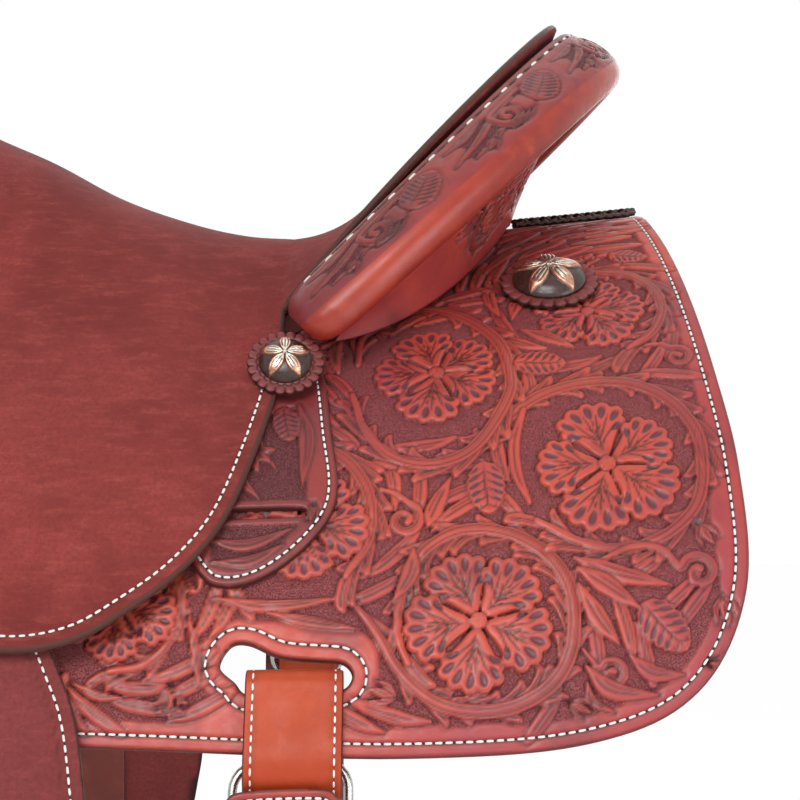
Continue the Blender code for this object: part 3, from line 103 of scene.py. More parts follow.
# Stems of the wreaths on the rear of a skirt, in chart millimetres
RING_A = [(140, 166), (143, 139), (157, 121), (176, 117), (196, 131), (212, 154), (217, 177), (215, 198),
          (198, 227), (178, 237), (157, 232), (143, 214), (137, 190)]
RING_B = [(135, 233), (157, 237), (178, 241), (191, 237), (205, 223), (219, 207), (236, 197), (256, 193),
          (278, 197), (295, 211), (305, 232), (305, 254), (301, 270), (292, 281), (278, 289), (260, 291),
          (242, 285), (224, 273)]
RING_B_LEFT = [(222, 208), (216, 228), (216, 246), (221, 263)]
RING_C = [(135, 308), (140, 314), (148, 326), (156, 341), (167, 353), (179, 360), (195, 363), (211, 361),
          (226, 353), (235, 340), (238, 323), (236, 305), (226, 289), (209, 278), (191, 275), (176, 280),
          (164, 292), (158, 309), (157, 326), (161, 339)]
RING_D = [(243, 106), (262, 99), (285, 103), (298, 120), (301, 140), (293, 160), (279, 171)]

# The billet's slot, and how far stitches lie from the skirt's edge, in chart millimetres
SLOT = [(75.2, 336.5), (80.2, 327.0), (88.7, 326.5), (102.7, 333.0), (120.7, 335.5), (131.2, 337.0),
        (135.7, 342.5), (132.7, 348.5), (122.7, 350.5), (90.7, 350.5), (82.2, 344.0)]
EDGE_STITCH = 6.2

# Seat, the fenders' height and the cantle's rim
SEAT_PROFILE = ((-0.132, 0.0985), (-0.105, 0.0800), (-0.075, 0.0625), (-0.038, 0.0460), (0.004, 0.0238),
                (0.046, 0.0090), (0.077, 0.0022), (0.106, 0.0002))
SEAT_ROWS = (-0.1340, -0.098, -0.070, -0.042, -0.014, 0.014, 0.038, 0.060, 0.078, 0.093, 0.106)
JOCKEY_EDGE = ((-0.1180, 0.190), (-0.1100, 0.255), (-0.091, 0.302), (-0.060, 0.326), (-0.022, 0.333),
               (0.008, 0.329), (0.032, 0.316), (0.056, 0.296), (0.075, 0.269), (0.088, 0.232),
               (0.0985, 0.190))
SEAT_THICK, SEAT_CENTRE, SEAT_CROWN, JOIN_S, DISH_SHARE = 0.0046, 0.106, 1.05, 0.200, 0.76
FENDER_N, FENDER_THICK = 0.0122, 0.0036
RIM_TOP, RIM_RUN, RIM_RISE, RIM_HALF_WIDTH = (0.2570, 0.1235), 0.1520, 0.1635, 0.135

# Cantle roll, in metres
ROLL_REACH, ROLL_DEPTH = 0.041, 0.026

# Outlines of the under jockeys with their slit and of the front jockeys, in chart millimetres
UNDER_JOCKEY = [(118, 160, "c"), (123, 183), (126.2, 218), (129.3, 248), (125.5, 266), (111.5, 283.8),
                (93.1, 296.6), (75.5, 299.9), (63.5, 292), (48, 262), (42, 215), (45, 160, "c")]
SLIT = [(71.5, 263.2), (74.5, 260.6), (110.0, 261.0), (113.7, 264.0), (110.5, 265.8), (74.5, 265.6)]
FRONT_JOCKEY = [(-297, 85), (-303, 170), (-294, 250), (-262, 290), (-205, 294), (-158, 274), (-129.0, 242),
                (-125.5, 205), (-124.5, 174.5, "c"), (-227.0, 174.5, "c"), (-229.5, 160), (-229.5, 52, "c"),
                (-272, 50, "c")]

# Rear rigging
SLOT_CENTRE, BILLET_WIDTH, STRAP_THICK = 0.1087, 0.04445, 0.0042
BUCKLE_TOP, BUCKLE_WIDTH, BUCKLE_HEIGHT, BUCKLE_WIRE, BUCKLE_N = 0.3775, 0.0570, 0.0480, 0.0021, -0.0100
CINCH_THICK, CINCH_WIDTH, CINCH_DROP, TONGUE_WIRE = 0.0055, 0.0570, 0.235, 0.0013

# Fenders and stirrups
FENDER_X, STIRRUP_BOLT_S, BOLT_RADIUS = -0.073, 0.752, 0.0048
FENDER_HALF = [(49.25, 285, "c"), (61.1, 312), (74.9, 337), (87.7, 374), (98.5, 470), (93.6, 520),
               (78.8, 585),
               (59.1, 635), (45.3, 668, "c")]

# Horn
HORN_AT = (-0.186, 0, 0)


def smooth(value, low, high):
    """0 below low, 1 above high, and a smooth step between."""
    t = np.clip((np.asarray(value, float) - low) / (high - low), 0, 1)
    return t * t * (3 - 2 * t)


def bump(value, width):
    """One at zero, falling smoothly to nothing at the width."""
    return np.exp(-(np.asarray(value) / width) ** 2)


def unit(v):
    """Vectors brought to length one."""
    return v / np.maximum(np.linalg.norm(v, axis=-1, keepdims=True), 1e-12)


def slope_at(s):
    """The back's slope at a distance from the ridge."""
    return np.minimum(RIDGE_SLOPE + np.asarray(s, float) / BACK_RADIUS, math.pi / 2)


def back_height(x, s):
    """The back's rise and fall along its length."""
    rocker = ROCKER * x * x * (1 - smooth(s, *PLUMB_SIDE))
    ridge = RIDGE_ROUND * np.maximum(1 - s / (BACK_RADIUS * BEND_STEP), 0) ** 1.5
    along = np.maximum(1 - ((x - DIP_CENTRE) / DIP_HALF) ** 2, 0) ** 2
    return rocker - ridge - DIP * along * (1 - smooth(s, *DIP_SIDE))


def on_back(x, s, n, side):
    """The point at x, a distance s down the side and n above the back surface."""
    x, s, n = np.broadcast_arrays(*[np.asarray(a, float) for a in (x, s, n)])
    slope = slope_at(s)
    y = BACK_RADIUS * (np.sin(slope) - math.sin(RIDGE_SLOPE)) + n * np.sin(slope)
    z = back_height(x, s) - BACK_RADIUS * (math.cos(RIDGE_SLOPE) - np.cos(slope))
    return np.stack([x, side * y, z + n * np.cos(slope) - np.maximum(s - PLUMB, 0)], -1)


def back_chart(side, sign=1):
    """The saddle's back as a chart: u, v and n in millimetres. A sign of -1 builds inwards."""
    return lambda u, v, n: on_back(u * MM, v * MM, sign * n * MM, side)


def curve(points, steps=8, closed=False):
    """A smooth line through points."""
    p = np.asarray(points, float)
    if closed:
        ring = np.vstack([p[-1:], p, p[:2]])
    else:
        ring = np.vstack([2 * p[:1] - p[1:2], p, 2 * p[-1:] - p[-2:-1]])
    t = np.linspace(0, 1, steps, endpoint=False)[:, None]
    a, b, c, d = ring[:-3, None], ring[1:-2, None], ring[2:-1, None], ring[3:, None]
    made = 0.5 * (2 * b + (c - a) * t + (2 * a - 5 * b + 4 * c - d) * t ** 2
                  + (3 * b - a - 3 * c + d) * t ** 3)
    made = made.reshape(-1, p.shape[1])
    return made if closed else np.vstack([made, p[-1:]])


def run_along(points):
    """How far along a line each of its points lies."""
    return np.concatenate([[0], np.cumsum(np.linalg.norm(np.diff(points, axis=0), axis=1))])


def ringed(line):
    """A line that ends where it starts."""
    return np.vstack([line, line[:1]])


def even(points, pitch, closed=False):
    """The line's points again, a pitch apart."""
    p = ringed(points) if closed else np.asarray(points)
    run = run_along(p)
    count = max(int(round(run[-1] / pitch)), 2)
    at = np.linspace(0, run[-1], count + 1)[:-1 if closed else None]
    return np.stack([np.interp(at, run, p[:, k]) for k in range(p.shape[1])], 1)


# Carving: a raster of relief on a chart


class Carving:
    """Relief of a chart in millimetres: height, stippled ground, dark lines (antique in the cuts, with
    painted shade) and tone (painted highlights on raised edges, painted shade in hollows and bevels, and some
    random change in dye).
    """

    def __init__(self, u0, v0, u1, v1, pitch=0.5):
        self.origin, self.pitch = (u0, v0), pitch
        shape = int((u1 - u0) / pitch) + 2, int((v1 - v0) / pitch) + 2
        self.high, self.ground, self.line, self.tone, self.cover = (
            np.zeros(shape) for _ in range(5))

    def window(self, points, margin):
        """Slices of the raster round some points, with their chart coordinates."""
        p = np.asarray(points)
        cut, axes = [], []
        for k in (0, 1):
            low = int((p[:, k].min() - margin - self.origin[k]) / self.pitch)
            high = int((p[:, k].max() + margin - self.origin[k]) / self.pitch) + 1
            low, high = max(low, 0), min(high, self.high.shape[k])
            cut.append(slice(low, max(high, low)))
            axes.append(self.origin[k] + self.pitch * np.arange(low, max(high, low)))
        return tuple(cut), np.meshgrid(*axes, indexing="ij")

    def axes(self):
        """The raster's places along u and along v."""
        return [start + self.pitch * np.arange(n) for start, n in zip(self.origin, self.high.shape)]

    def fill_ground(self, allowed, reach=14.0, depth=0.55):
        """Presses and stipples the leather where forms enclose it: gaps up to twice the reach wide."""
        rounds = int(reach / self.pitch)
        grown = self.cover > 0.5
        for k in range(rounds):
            grown = spread(grown, k % 2)
        shrunk = ~grown
        for k in range(rounds):
            shrunk = spread(shrunk, k % 2)
        ground = (~shrunk & (self.cover < 0.5)).astype(float)
        ground *= grid_inside(*self.axes(), allowed)
        soft = ground
        for axis in (0, 1, 0, 1):
            soft = (soft + np.roll(soft, 1, axis) + np.roll(soft, -1, axis)) / 3
        soft *= 1 - self.cover
        self.high -= depth * soft
        self.ground = soft

    def open_depth(self, allowed, reach):
        """How deep each open place lies between the forms, in millimetres."""
        filled = (self.cover > 0.4) | ~allowed
        depth = np.zeros(filled.shape)
        for k in range(int(reach / self.pitch)):
            depth += ~filled
            filled = spread(filled, k % 2)
        return depth * self.pitch

    def press(self, cut, d, relief, lines, tone, bevel=0.42, fade=1.5, edge=0.85, under=False):
        """Sets a raised form in: its edge is cut, and what lies round it is bevelled down and darkened in
        tone as painted shade.
        """
        inside = smooth(d, -0.2, 0.2)
        outside = bump(np.minimum(d, 0), fade) * (1 - inside)
        # The cut along the edge is drawn near black: antique in it, and painted shade.
        cut_edge = edge * bump(d + 0.12, 0.46)
        if under:
            free = 1 - self.cover[cut]
            self.high[cut] += free * (relief * inside - bevel * outside)
            self.line[cut] = np.maximum(self.line[cut], free * np.maximum(lines * inside, cut_edge))
            # Painted shade on the bevel round the form.
            self.tone[cut] += free * (tone * inside - 0.35 * outside)
            self.cover[cut] = np.maximum(self.cover[cut], inside)
            return
        high = self.high[cut] - bevel * outside
        self.high[cut] = high * (1 - inside) + (relief - 0.16 * bump(d, 0.55)) * inside
        self.cover[cut] = np.maximum(self.cover[cut], inside)
        line = np.maximum(self.line[cut] * (1 - inside), lines * inside)
        self.line[cut] = np.maximum(line, cut_edge)
        # Painted shade on the bevel round the form.
        dark = self.tone[cut] - 0.35 * outside
        self.tone[cut] = dark * (1 - inside) + tone * inside

    def stroke(self, points, half, cuts=(), dome=0.10, tone=0.0, **how):
        """A stem or a leaf along a line, its half widths spread along it, with cuts along it."""
        line = curve(points, 6)
        halves = np.interp(np.linspace(0, 1, len(line)), np.linspace(0, 1, len(half)), half)
        cut, (x, y) = self.window(line, max(halves) + 4)
        if not x.size:
            return
        d, along, across = stroke_field(x, y, line, halves)
        relief = dome * (1 - np.clip(across, -1, 1) ** 2)
        dark = np.zeros_like(d)
        wide = np.interp(along, np.linspace(0, 1, len(halves)), halves)
        for off, start, end, weight in cuts:
            taper = smooth(along, start, start + 0.12) * (1 - smooth(along, end - 0.15, end))
            groove = bump((across - off) * wide, 0.38 + 0.14 * weight) * taper
            relief = relief - 0.30 * weight * groove
            dark = np.maximum(dark, weight * groove)
        # Tone gets a painted highlight just inside the stroke's edge.
        self.press(cut, d, relief, dark, tone + 0.35 * bump(d, 1.0), **how)

    def mark(self, points, width=0.3, depth=0.25, dark=1.0, taper=True):
        """A single knife cut."""
        line = curve(points, 5)
        halves = np.full(len(line), width)
        if taper:
            halves = width * np.sin(np.linspace(0.25, math.pi - 0.1, len(line))) ** 0.7
        cut, (x, y) = self.window(line, 2)
        if not x.size:
            return
        d, _, _ = stroke_field(x, y, line, halves)
        groove = smooth(d, -0.35, 0.12)
        self.high[cut] -= depth * groove
        # The cut is drawn dark: antique in it, and painted shade.
        self.line[cut] = np.maximum(self.line[cut], dark * groove)

    def dent(self, at, angle, length, width, depth=0.32):
        """A pear-shaped hollow, pressed by a shading tool, wide end first along its angle. Its tone is
        darkened: painted shade in the hollow.
        """
        reach = length / 2 + 1
        cut, (x, y) = self.window([at], reach + 1)
        if not x.size:
            return
        c, s = math.cos(angle), math.sin(angle)
        p, q = (x - at[0]) * c + (y - at[1]) * s, (y - at[1]) * c - (x - at[0]) * s
        wide = width / 2 * (0.72 + 0.28 * np.clip(2 * p / length, -1, 1))
        r = np.sqrt((2 * p / length) ** 2 + (q / np.maximum(wide, 0.1)) ** 2)
        hollow = 1 - smooth(r, 0.45, 1.1)
        self.high[cut] -= depth * hollow
        # Painted shade in the hollow.
        self.tone[cut] -= 0.85 * hollow

    def sample(self, u, v):
        """Height, ground, line and tone at places of the chart."""
        fu = np.clip((u - self.origin[0]) / self.pitch, 0, self.high.shape[0] - 1.001)
        fv = np.clip((v - self.origin[1]) / self.pitch, 0, self.high.shape[1] - 1.001)
        i, j = fu.astype(int), fv.astype(int)
        a, b = fu - i, fv - j
        made = []
        for field in (self.high, self.ground, self.line, self.tone):
            made.append(field[i, j] * (1 - a) * (1 - b) + field[i + 1, j] * a * (1 - b)
                        + field[i, j + 1] * (1 - a) * b + field[i + 1, j + 1] * a * b)
        made[0] *= RELIEF
        return made


def spread(mask, corners):
    """A mask grown by one cell, also across the corners where asked."""
    made = mask.copy()
    made[1:] |= mask[:-1]
    made[:-1] |= mask[1:]
    wide = made.copy() if corners else mask
    made[:, 1:] |= wide[:, :-1]
    made[:, :-1] |= wide[:, 1:]
    return made


def polygon_distance(x, y, outline):
    """Distance to a closed outline: positive inside it."""
    outline = np.asarray(outline, float)
    best = np.full(x.shape, 1e9)
    inside = np.zeros(x.shape, bool)
    for a, b in zip(outline, np.roll(outline, -1, 0)):
        e = b - a
        t = np.clip(((x - a[0]) * e[0] + (y - a[1]) * e[1]) / max(e @ e, 1e-12), 0, 1)
        best = np.minimum(best, (x - a[0] - t * e[0]) ** 2 + (y - a[1] - t * e[1]) ** 2)
        if a[1] != b[1]:
            crossed = (y >= min(a[1], b[1])) & (y < max(a[1], b[1]))
            inside ^= crossed & (x < a[0] + (y - a[1]) / e[1] * e[0])
    return np.where(inside, 1, -1) * np.sqrt(best)


def stroke_field(x, y, line, halves):
    """How far inside a stroke each place is, with its share along it and across it."""
    best = np.full(x.shape, -1e9)
    along, across = np.zeros(x.shape), np.zeros(x.shape)
    count = len(line) - 1
    for k, (a, b) in enumerate(zip(line, line[1:])):
        e = b - a
        size = max(math.hypot(*e), 1e-9)
        dx, dy = x - a[0], y - a[1]
        t = np.clip((dx * e[0] + dy * e[1]) / size ** 2, 0, 1)
        away = np.hypot(dx - t * e[0], dy - t * e[1])
        half = halves[k] + (halves[k + 1] - halves[k]) * t
        d = half - away
        better = d > best
        best[better] = d[better]
        along[better] = ((k + t) / count)[better]
        side = np.sign(e[0] * dy - e[1] * dx)
        across[better] = (side * away / np.maximum(half, 0.05))[better]
    return best, along, across


# Motifs of traditional floral carving, in chart millimetres


def spin(points, at, angle, scale=1.0):
    """Points turned and scaled, then moved to a place."""
    c, s = math.cos(angle), math.sin(angle)
    p = np.asarray(points, float) * scale
    return np.stack([at[0] + p[:, 0] * c - p[:, 1] * s, at[1] + p[:, 0] * s + p[:, 1] * c], 1)


def flower(c, at, r, turn, lobes=7):
    """An open flower. Each petal is notched all round, with a hollow in every notch and a feather of cuts."""
    for k in PETAL_ORDER:
        middle = turn + 2 * math.pi * k / PETALS + 0.07 * math.sin(5.1 * k + 9 * turn)
        long = r * (1 + 0.05 * math.sin(3.3 * k + 7 * turn))
        side = curve(PETAL, 10)
        ring = np.vstack([side, (side * (1, -1))[-2::-1]])
        run = np.concatenate([[0], np.cumsum(np.hypot(*np.diff(ring, axis=0).T))])
        share = (run / run[-1] - 0.20) / 0.60
        e = np.gradient(ring, axis=0)
        f = np.stack([e[:, 1], -e[:, 0]], 1) / np.maximum(np.hypot(*e.T)[:, None], 1e-9)
        lobe = np.abs(np.sin(lobes * math.pi * np.clip(share, 0, 1))) ** 0.55
        outline = spin(ring + f * (0.075 * lobe - 0.01)[:, None], at, middle, long)
        cut, (x, y) = c.window(outline, 4)
        if not x.size:
            continue
        d = polygon_distance(x, y, outline)
        out = np.hypot(x - at[0], y - at[1])
        relief = 0.10 + 0.34 * smooth(out, 0.1 * r, 0.55 * r) * smooth(d, 0.2, 1.6)
        # Each petal gets a painted highlight along its edge.
        c.press(cut, d, relief, np.zeros_like(d), 0.9 * bump(d, 0.8), bevel=0.7)
        for n in range(lobes):
            edge = np.array([np.interp((n + 0.5) / lobes, share, ring[:, q]) for q in (0, 1)])
            way = edge - (0.36, 0)
            size = 0.21 + 0.07 * math.sin(math.pi * (n + 0.5) / lobes)
            mid = edge - way / np.hypot(*way) * (size / 2 - 0.005)
            place, = spin([mid], at, middle, long)
            c.dent(place, middle + math.atan2(way[1], way[0]), size * long, 0.165 * long, 0.55)
        for n in range(1, lobes):
            edge = np.array([np.interp(n / lobes, share, ring[:, q]) for q in (0, 1)])
            root = np.array((0.30 + 0.05 * (n % 2), 0))
            c.mark(spin([root + (edge - root) * q for q in (0.10, 0.42, 0.74)], at, middle, long), 0.34, 0.28)
        for a, b in ((0.20, 0.56), (0.60, 0.70)):
            c.mark(spin([(a, 0.0), ((a + b) / 2, 0.012), (b, 0.0)], at, middle, long), 0.42, 0.30)
        for q in (-1, 1):
            for n in range(3):
                a = 0.26 + 0.11 * n
                c.mark(spin([(a, 0.02 * q), (a + 0.07, 0.055 * q), (a + 0.12, 0.10 * q)], at, middle, long),
                       0.30)
        c.mark(spin([(0.12, 0.0), (0.17, 0.0), (0.22, 0.0)], at, middle + math.pi / PETALS, long), 0.5, 0.35)
    seeds = 0.125 * r
    cut, (x, y) = c.window([at], seeds + 3)
    if x.size:
        d = seeds - np.hypot(x - at[0], y - at[1])
        # The raised centre gets a little painted highlight.
        c.press(cut, d, 0.25 + 0 * d, np.zeros_like(d), 0.2 + 0 * d, fade=0.9)
        for k in range(9):
            a = 2 * math.pi * k / 8
            q = seeds * (0.66 if k < 8 else 0)
            c.dent((at[0] + q * math.cos(a), at[1] + q * math.sin(a)), 0, 1.5, 1.5, 0.25)


def rose_leaf(c, at, length, width, angle, lobes=7):
    """A leaf with scalloped edges, a hollow in every lobe, a cut midrib and veins."""
    t = np.linspace(-1, 1, 60)
    wide = width / 2 * (1 - np.abs(t) ** 2.3) ** 0.62 * (1 - 0.12 * t)
    wide = wide * (0.86 + 0.14 * np.abs(np.sin(lobes * math.pi * (t + 1) / 2)) ** 0.7)
    line = np.stack([t * length / 2, wide], 1)
    outline = spin(np.vstack([line, (line * (1, -1))[::-1]]), at, angle)
    cut, (x, y) = c.window(outline, 4)
    if not x.size:
        return
    d = polygon_distance(x, y, outline)
    co, si = math.cos(angle), math.sin(angle)
    p, q = (x - at[0]) * co + (y - at[1]) * si, (y - at[1]) * co - (x - at[0]) * si
    lean = p - 0.55 * np.abs(q)
    comb = np.abs(np.sin(lobes * math.pi * (lean / length + 0.5))) ** 1.6
    hollow = comb * smooth(np.abs(q), 0.10 * width, 0.26 * width) * smooth(d, 0.3, 1.2)
    # Painted highlight along the leaf's edge, painted shade in the hollow of each lobe.
    tone = 0.7 * bump(d, 0.9) - 0.9 * hollow
    c.press(cut, d, 0.16 - 0.42 * hollow, np.zeros_like(d), tone, bevel=0.5)
    c.mark(spin([(-0.44 * length, 0), (0, 0.03 * width), (0.40 * length, 0)], at, angle), 0.42)
    for k in range(lobes - 2):
        a = (-0.30 + 0.62 * k / (lobes - 3)) * length
        for side in (-1, 1):
            c.mark(spin([(a, side * 0.03 * width), (a + 0.05 * length, side * 0.13 * width),
                         (a + 0.075 * length, side * 0.24 * width)], at, angle), 0.32)


def fingers(c, ring, size, side, first=0.0, last=1.0, count=10, lift=0.5, wide=0.13):
    """Leaf tips that part from a vine to one side, each over the one before."""
    line = even(curve(ring, 8), 1.0)
    for k in range(count):
        i = int((first + (last - first) * (k + 0.5) / count) * (len(line) - 1))
        long = size * (1.0 + 0.20 * math.sin(2.1 * k) + 0.12 * math.sin(5.3 * k))
        path = []
        for share, off in ((-0.12, 0.0), (0.25, 0.10), (0.58, 0.34), (0.84, 0.70), (0.92, 1.0)):
            n = min(max(int(i + share * long), 0), len(line) - 2)
            e = unit(line[n + 1] - line[n])
            over = i + share * long - n
            path.append(line[n] + e * over * (over > 0) + np.array([-e[1], e[0]]) * side * off * lift * long)
        c.stroke(path, np.array(FINGER) * size * wide, cuts=TWO_CUTS, dome=0.22,
                 tone=0.04 + 0.16 * math.sin(3.7 * k))


def open_leaves(c, loops, hubs, least=2.0, rounds=9):
    """Leaves in the open places, laid behind the rest along the flow round the nearest flower."""
    u, v = c.axes()
    allowed = grid_inside(u, v, loops)
    for (x, y), r in hubs:
        allowed &= np.hypot(u[:, None] - x, v[None] - y) > 1.34 * r
    hub = np.array([at for at, _ in hubs], float)
    for k in range(rounds):
        depth = c.open_depth(allowed, 9.0)
        for n in range(26):
            i, j = np.unravel_index(np.argmax(depth), depth.shape)
            deep = depth[i, j]
            if deep < least:
                break
            here = np.array([u[i], v[j]])
            near = hub[np.argmin(np.hypot(*(hub - here).T))]
            away = math.hypot(*(here - near))
            start = math.atan2(here[1] - near[1], here[0] - near[0])
            way = 1 if (int(near[0]) + int(near[1])) % 2 else -1
            long = min(6.5 * deep, 32)
            peel = 0.34 + 0.10 * math.sin(1.7 * n + k)
            path = []
            for t in (-0.5, -0.22, 0.05, 0.32, 0.5):
                a = start + way * long * t / away
                path.append(near + (away + long * peel * (t + 0.8 * max(t, 0) ** 2)) * np.array(
                    [math.cos(a), math.sin(a)]))
            c.stroke(path, np.array(FINGER) * min(0.92 * deep, 3.6), cuts=TWO_CUTS, dome=0.22,
                     tone=0.04 + 0.14 * math.sin(2.9 * n + k), under=True)
            block = int(1.1 * long / c.pitch)
            depth[max(i - block, 0):i + block, max(j - block, 0):j + block] = 0


def scroll(c, at, r, start, turns=1.35, way=1, half=1.9, tail=()):
    """A stem that curls into a spiral with a round eye."""
    t = np.linspace(0, 1, 14)
    a = start + way * 2 * math.pi * turns * t
    radius = r * (1 - 0.78 * t ** 0.85)
    spiral = np.stack([at[0] + radius * np.cos(a), at[1] + radius * np.sin(a)], 1)
    path = np.vstack([tail, spiral]) if len(tail) else spiral
    size = half * np.array([0.5, 0.9, 1.1, 1.1, 1.0, 0.85, 0.7, 0.85])
    c.stroke(path, size, cuts=((0.45, 0.05, 0.92, 0.9), (-0.2, 0.25, 0.8, 0.5)), dome=0.15, tone=0.05)


def bud(c, at, size, angle):
    """A closed bud between two small leaves."""
    for side in (-1, 1):
        c.stroke(spin([(-0.8, side * 0.05), (-0.1, side * 0.52), (0.75, side * 0.62)], at, angle, size),
                 np.array(BLADE) * size * 0.22, cuts=((0, 0.2, 0.8, 0.8),), tone=0.1)
    c.stroke(spin([(-0.6, 0), (0.2, 0), (1.0, 0)], at, angle, size), np.array(BLADE) * size * 0.30,
             cuts=((0, 0.15, 0.85, 1.0),), tone=0.2)
    for k in range(4):
        c.mark(spin([(-0.95 - 0.16 * k, -0.16), (-0.9 - 0.16 * k, 0.16)], at, angle, size), 0.25)


# Meshes


def paint(mesh, fields):
    """Ground, line, tone and edge at each point, for the leather's material."""
    carve = mesh.attributes.new("carve", "FLOAT_COLOR", "POINT")
    carve.data.foreach_set("color", np.asarray(fields, np.float32).ravel())


def make_mesh(name, verts, quads, tris, material, body, fields=None, sharp=50):
    """A closed mesh from arrays, turned right side out, riding on a body."""
    verts = np.asarray(verts, float)
    tris = np.asarray(tris, int).reshape(-1, 3)
    quads = np.asarray(quads, int).reshape(-1, 4)
    p = verts[np.vstack([tris, quads[:, [0, 1, 2]], quads[:, [0, 2, 3]]])]
    volume = np.einsum("ij,ij->i", p[:, 0], np.cross(p[:, 1], p[:, 2])).sum()
    if volume < 0:
        quads, tris = quads[:, ::-1], tris[:, ::-1]
    mesh = bpy.data.meshes.new(name)
    mesh.vertices.add(len(verts))
    mesh.vertices.foreach_set("co", verts.astype(np.float32).ravel())
    mesh.loops.add(quads.size + tris.size)
    mesh.loops.foreach_set("vertex_index", np.concatenate([quads.ravel(), tris.ravel()]).astype(np.int32))
    mesh.polygons.add(len(quads) + len(tris))
    starts = np.concatenate([np.arange(len(quads)) * 4, quads.size + np.arange(len(tris)) * 3])
    mesh.polygons.foreach_set("loop_start", starts.astype(np.int32))
    mesh.update(calc_edges=True)
    mesh.validate()
    mesh.shade_smooth()
    mesh.set_sharp_from_angle(angle=math.radians(sharp))
    if fields is not None:
        paint(mesh, fields)
    obj = bpy.data.objects.new(name, mesh)
    bpy.context.scene.collection.objects.link(obj)
    for one in material if isinstance(material, (list, tuple)) else [material]:
        mesh.materials.append(one)
    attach(obj, body)
    return obj


def dress(obj, node):
    """The piece stands for a CAD node, which is hidden."""
    if node:
        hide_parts(node)


def grid_inside(us, vs, loops):
    """Which grid places are inside the loops, by counting crossings along each column."""
    inside = np.zeros((len(us), len(vs)), bool)
    for loop in loops:
        for a, b in zip(loop, np.roll(loop, -1, 0)):
            low, high = min(a[0], b[0]), max(a[0], b[0])
            rows = np.nonzero((us >= low) & (us < high))[0]
            if len(rows):
                at = a[1] + (us[rows] - a[0]) / (b[0] - a[0]) * (b[1] - a[1])
                inside[rows] ^= vs[None, :] > at[:, None]
    return inside


def grid_edge_distance(us, vs, loops, reach):
    """Distance of grid places to the loops, exact within reach."""
    far = np.full((len(us), len(vs)), 1e6)
    for loop in loops:
        for a, b in zip(loop, np.roll(loop, -1, 0)):
            i0, i1 = np.searchsorted(us, [min(a[0], b[0]) - reach, max(a[0], b[0]) + reach])
            j0, j1 = np.searchsorted(vs, [min(a[1], b[1]) - reach, max(a[1], b[1]) + reach])
            if i0 == i1 or j0 == j1:
                continue
            x, y = us[i0:i1, None] - a[0], vs[None, j0:j1] - a[1]
            e = b - a
            t = np.clip((x * e[0] + y * e[1]) / max(e @ e, 1e-12), 0, 1)
            part = far[i0:i1, j0:j1]
            np.minimum(part, (x - t * e[0]) ** 2 + (y - t * e[1]) ** 2, out=part)
    return np.sqrt(far)


def snap(points, loops):
    """The nearest place on the loops to each point."""
    best = np.full(len(points), 1e9)
    made = points.copy()
    for loop in loops:
        for a, b in zip(loop, np.roll(loop, -1, 0)):
            e = b - a
            t = np.clip(((points - a) @ e) / max(e @ e, 1e-12), 0, 1)
            near = a + t[:, None] * e
            away = ((points - near) ** 2).sum(1)
            better = away < best
            best[better], made[better] = away[better], near[better]
    return made


def steps(low, high, *parts):
    """Grid places from low to high, with a step for each stretch: (end, step), ..., then the last step."""
    made = [low]
    for end, step in [*parts[:-1], (high, parts[-1])]:
        end = min(end, high)
        count = max(int(round((end - made[-1]) / step)), 1)
        if end > made[-1] + step / 2:
            made += list(np.linspace(made[-1], end, count + 1)[1:])
    return np.array(made)


def heights(face, places):
    """A face's height at places of a chart. A face is a number or a function of u and v."""
    return face(places[:, 0], places[:, 1]) if callable(face) else np.full(len(places), float(face))


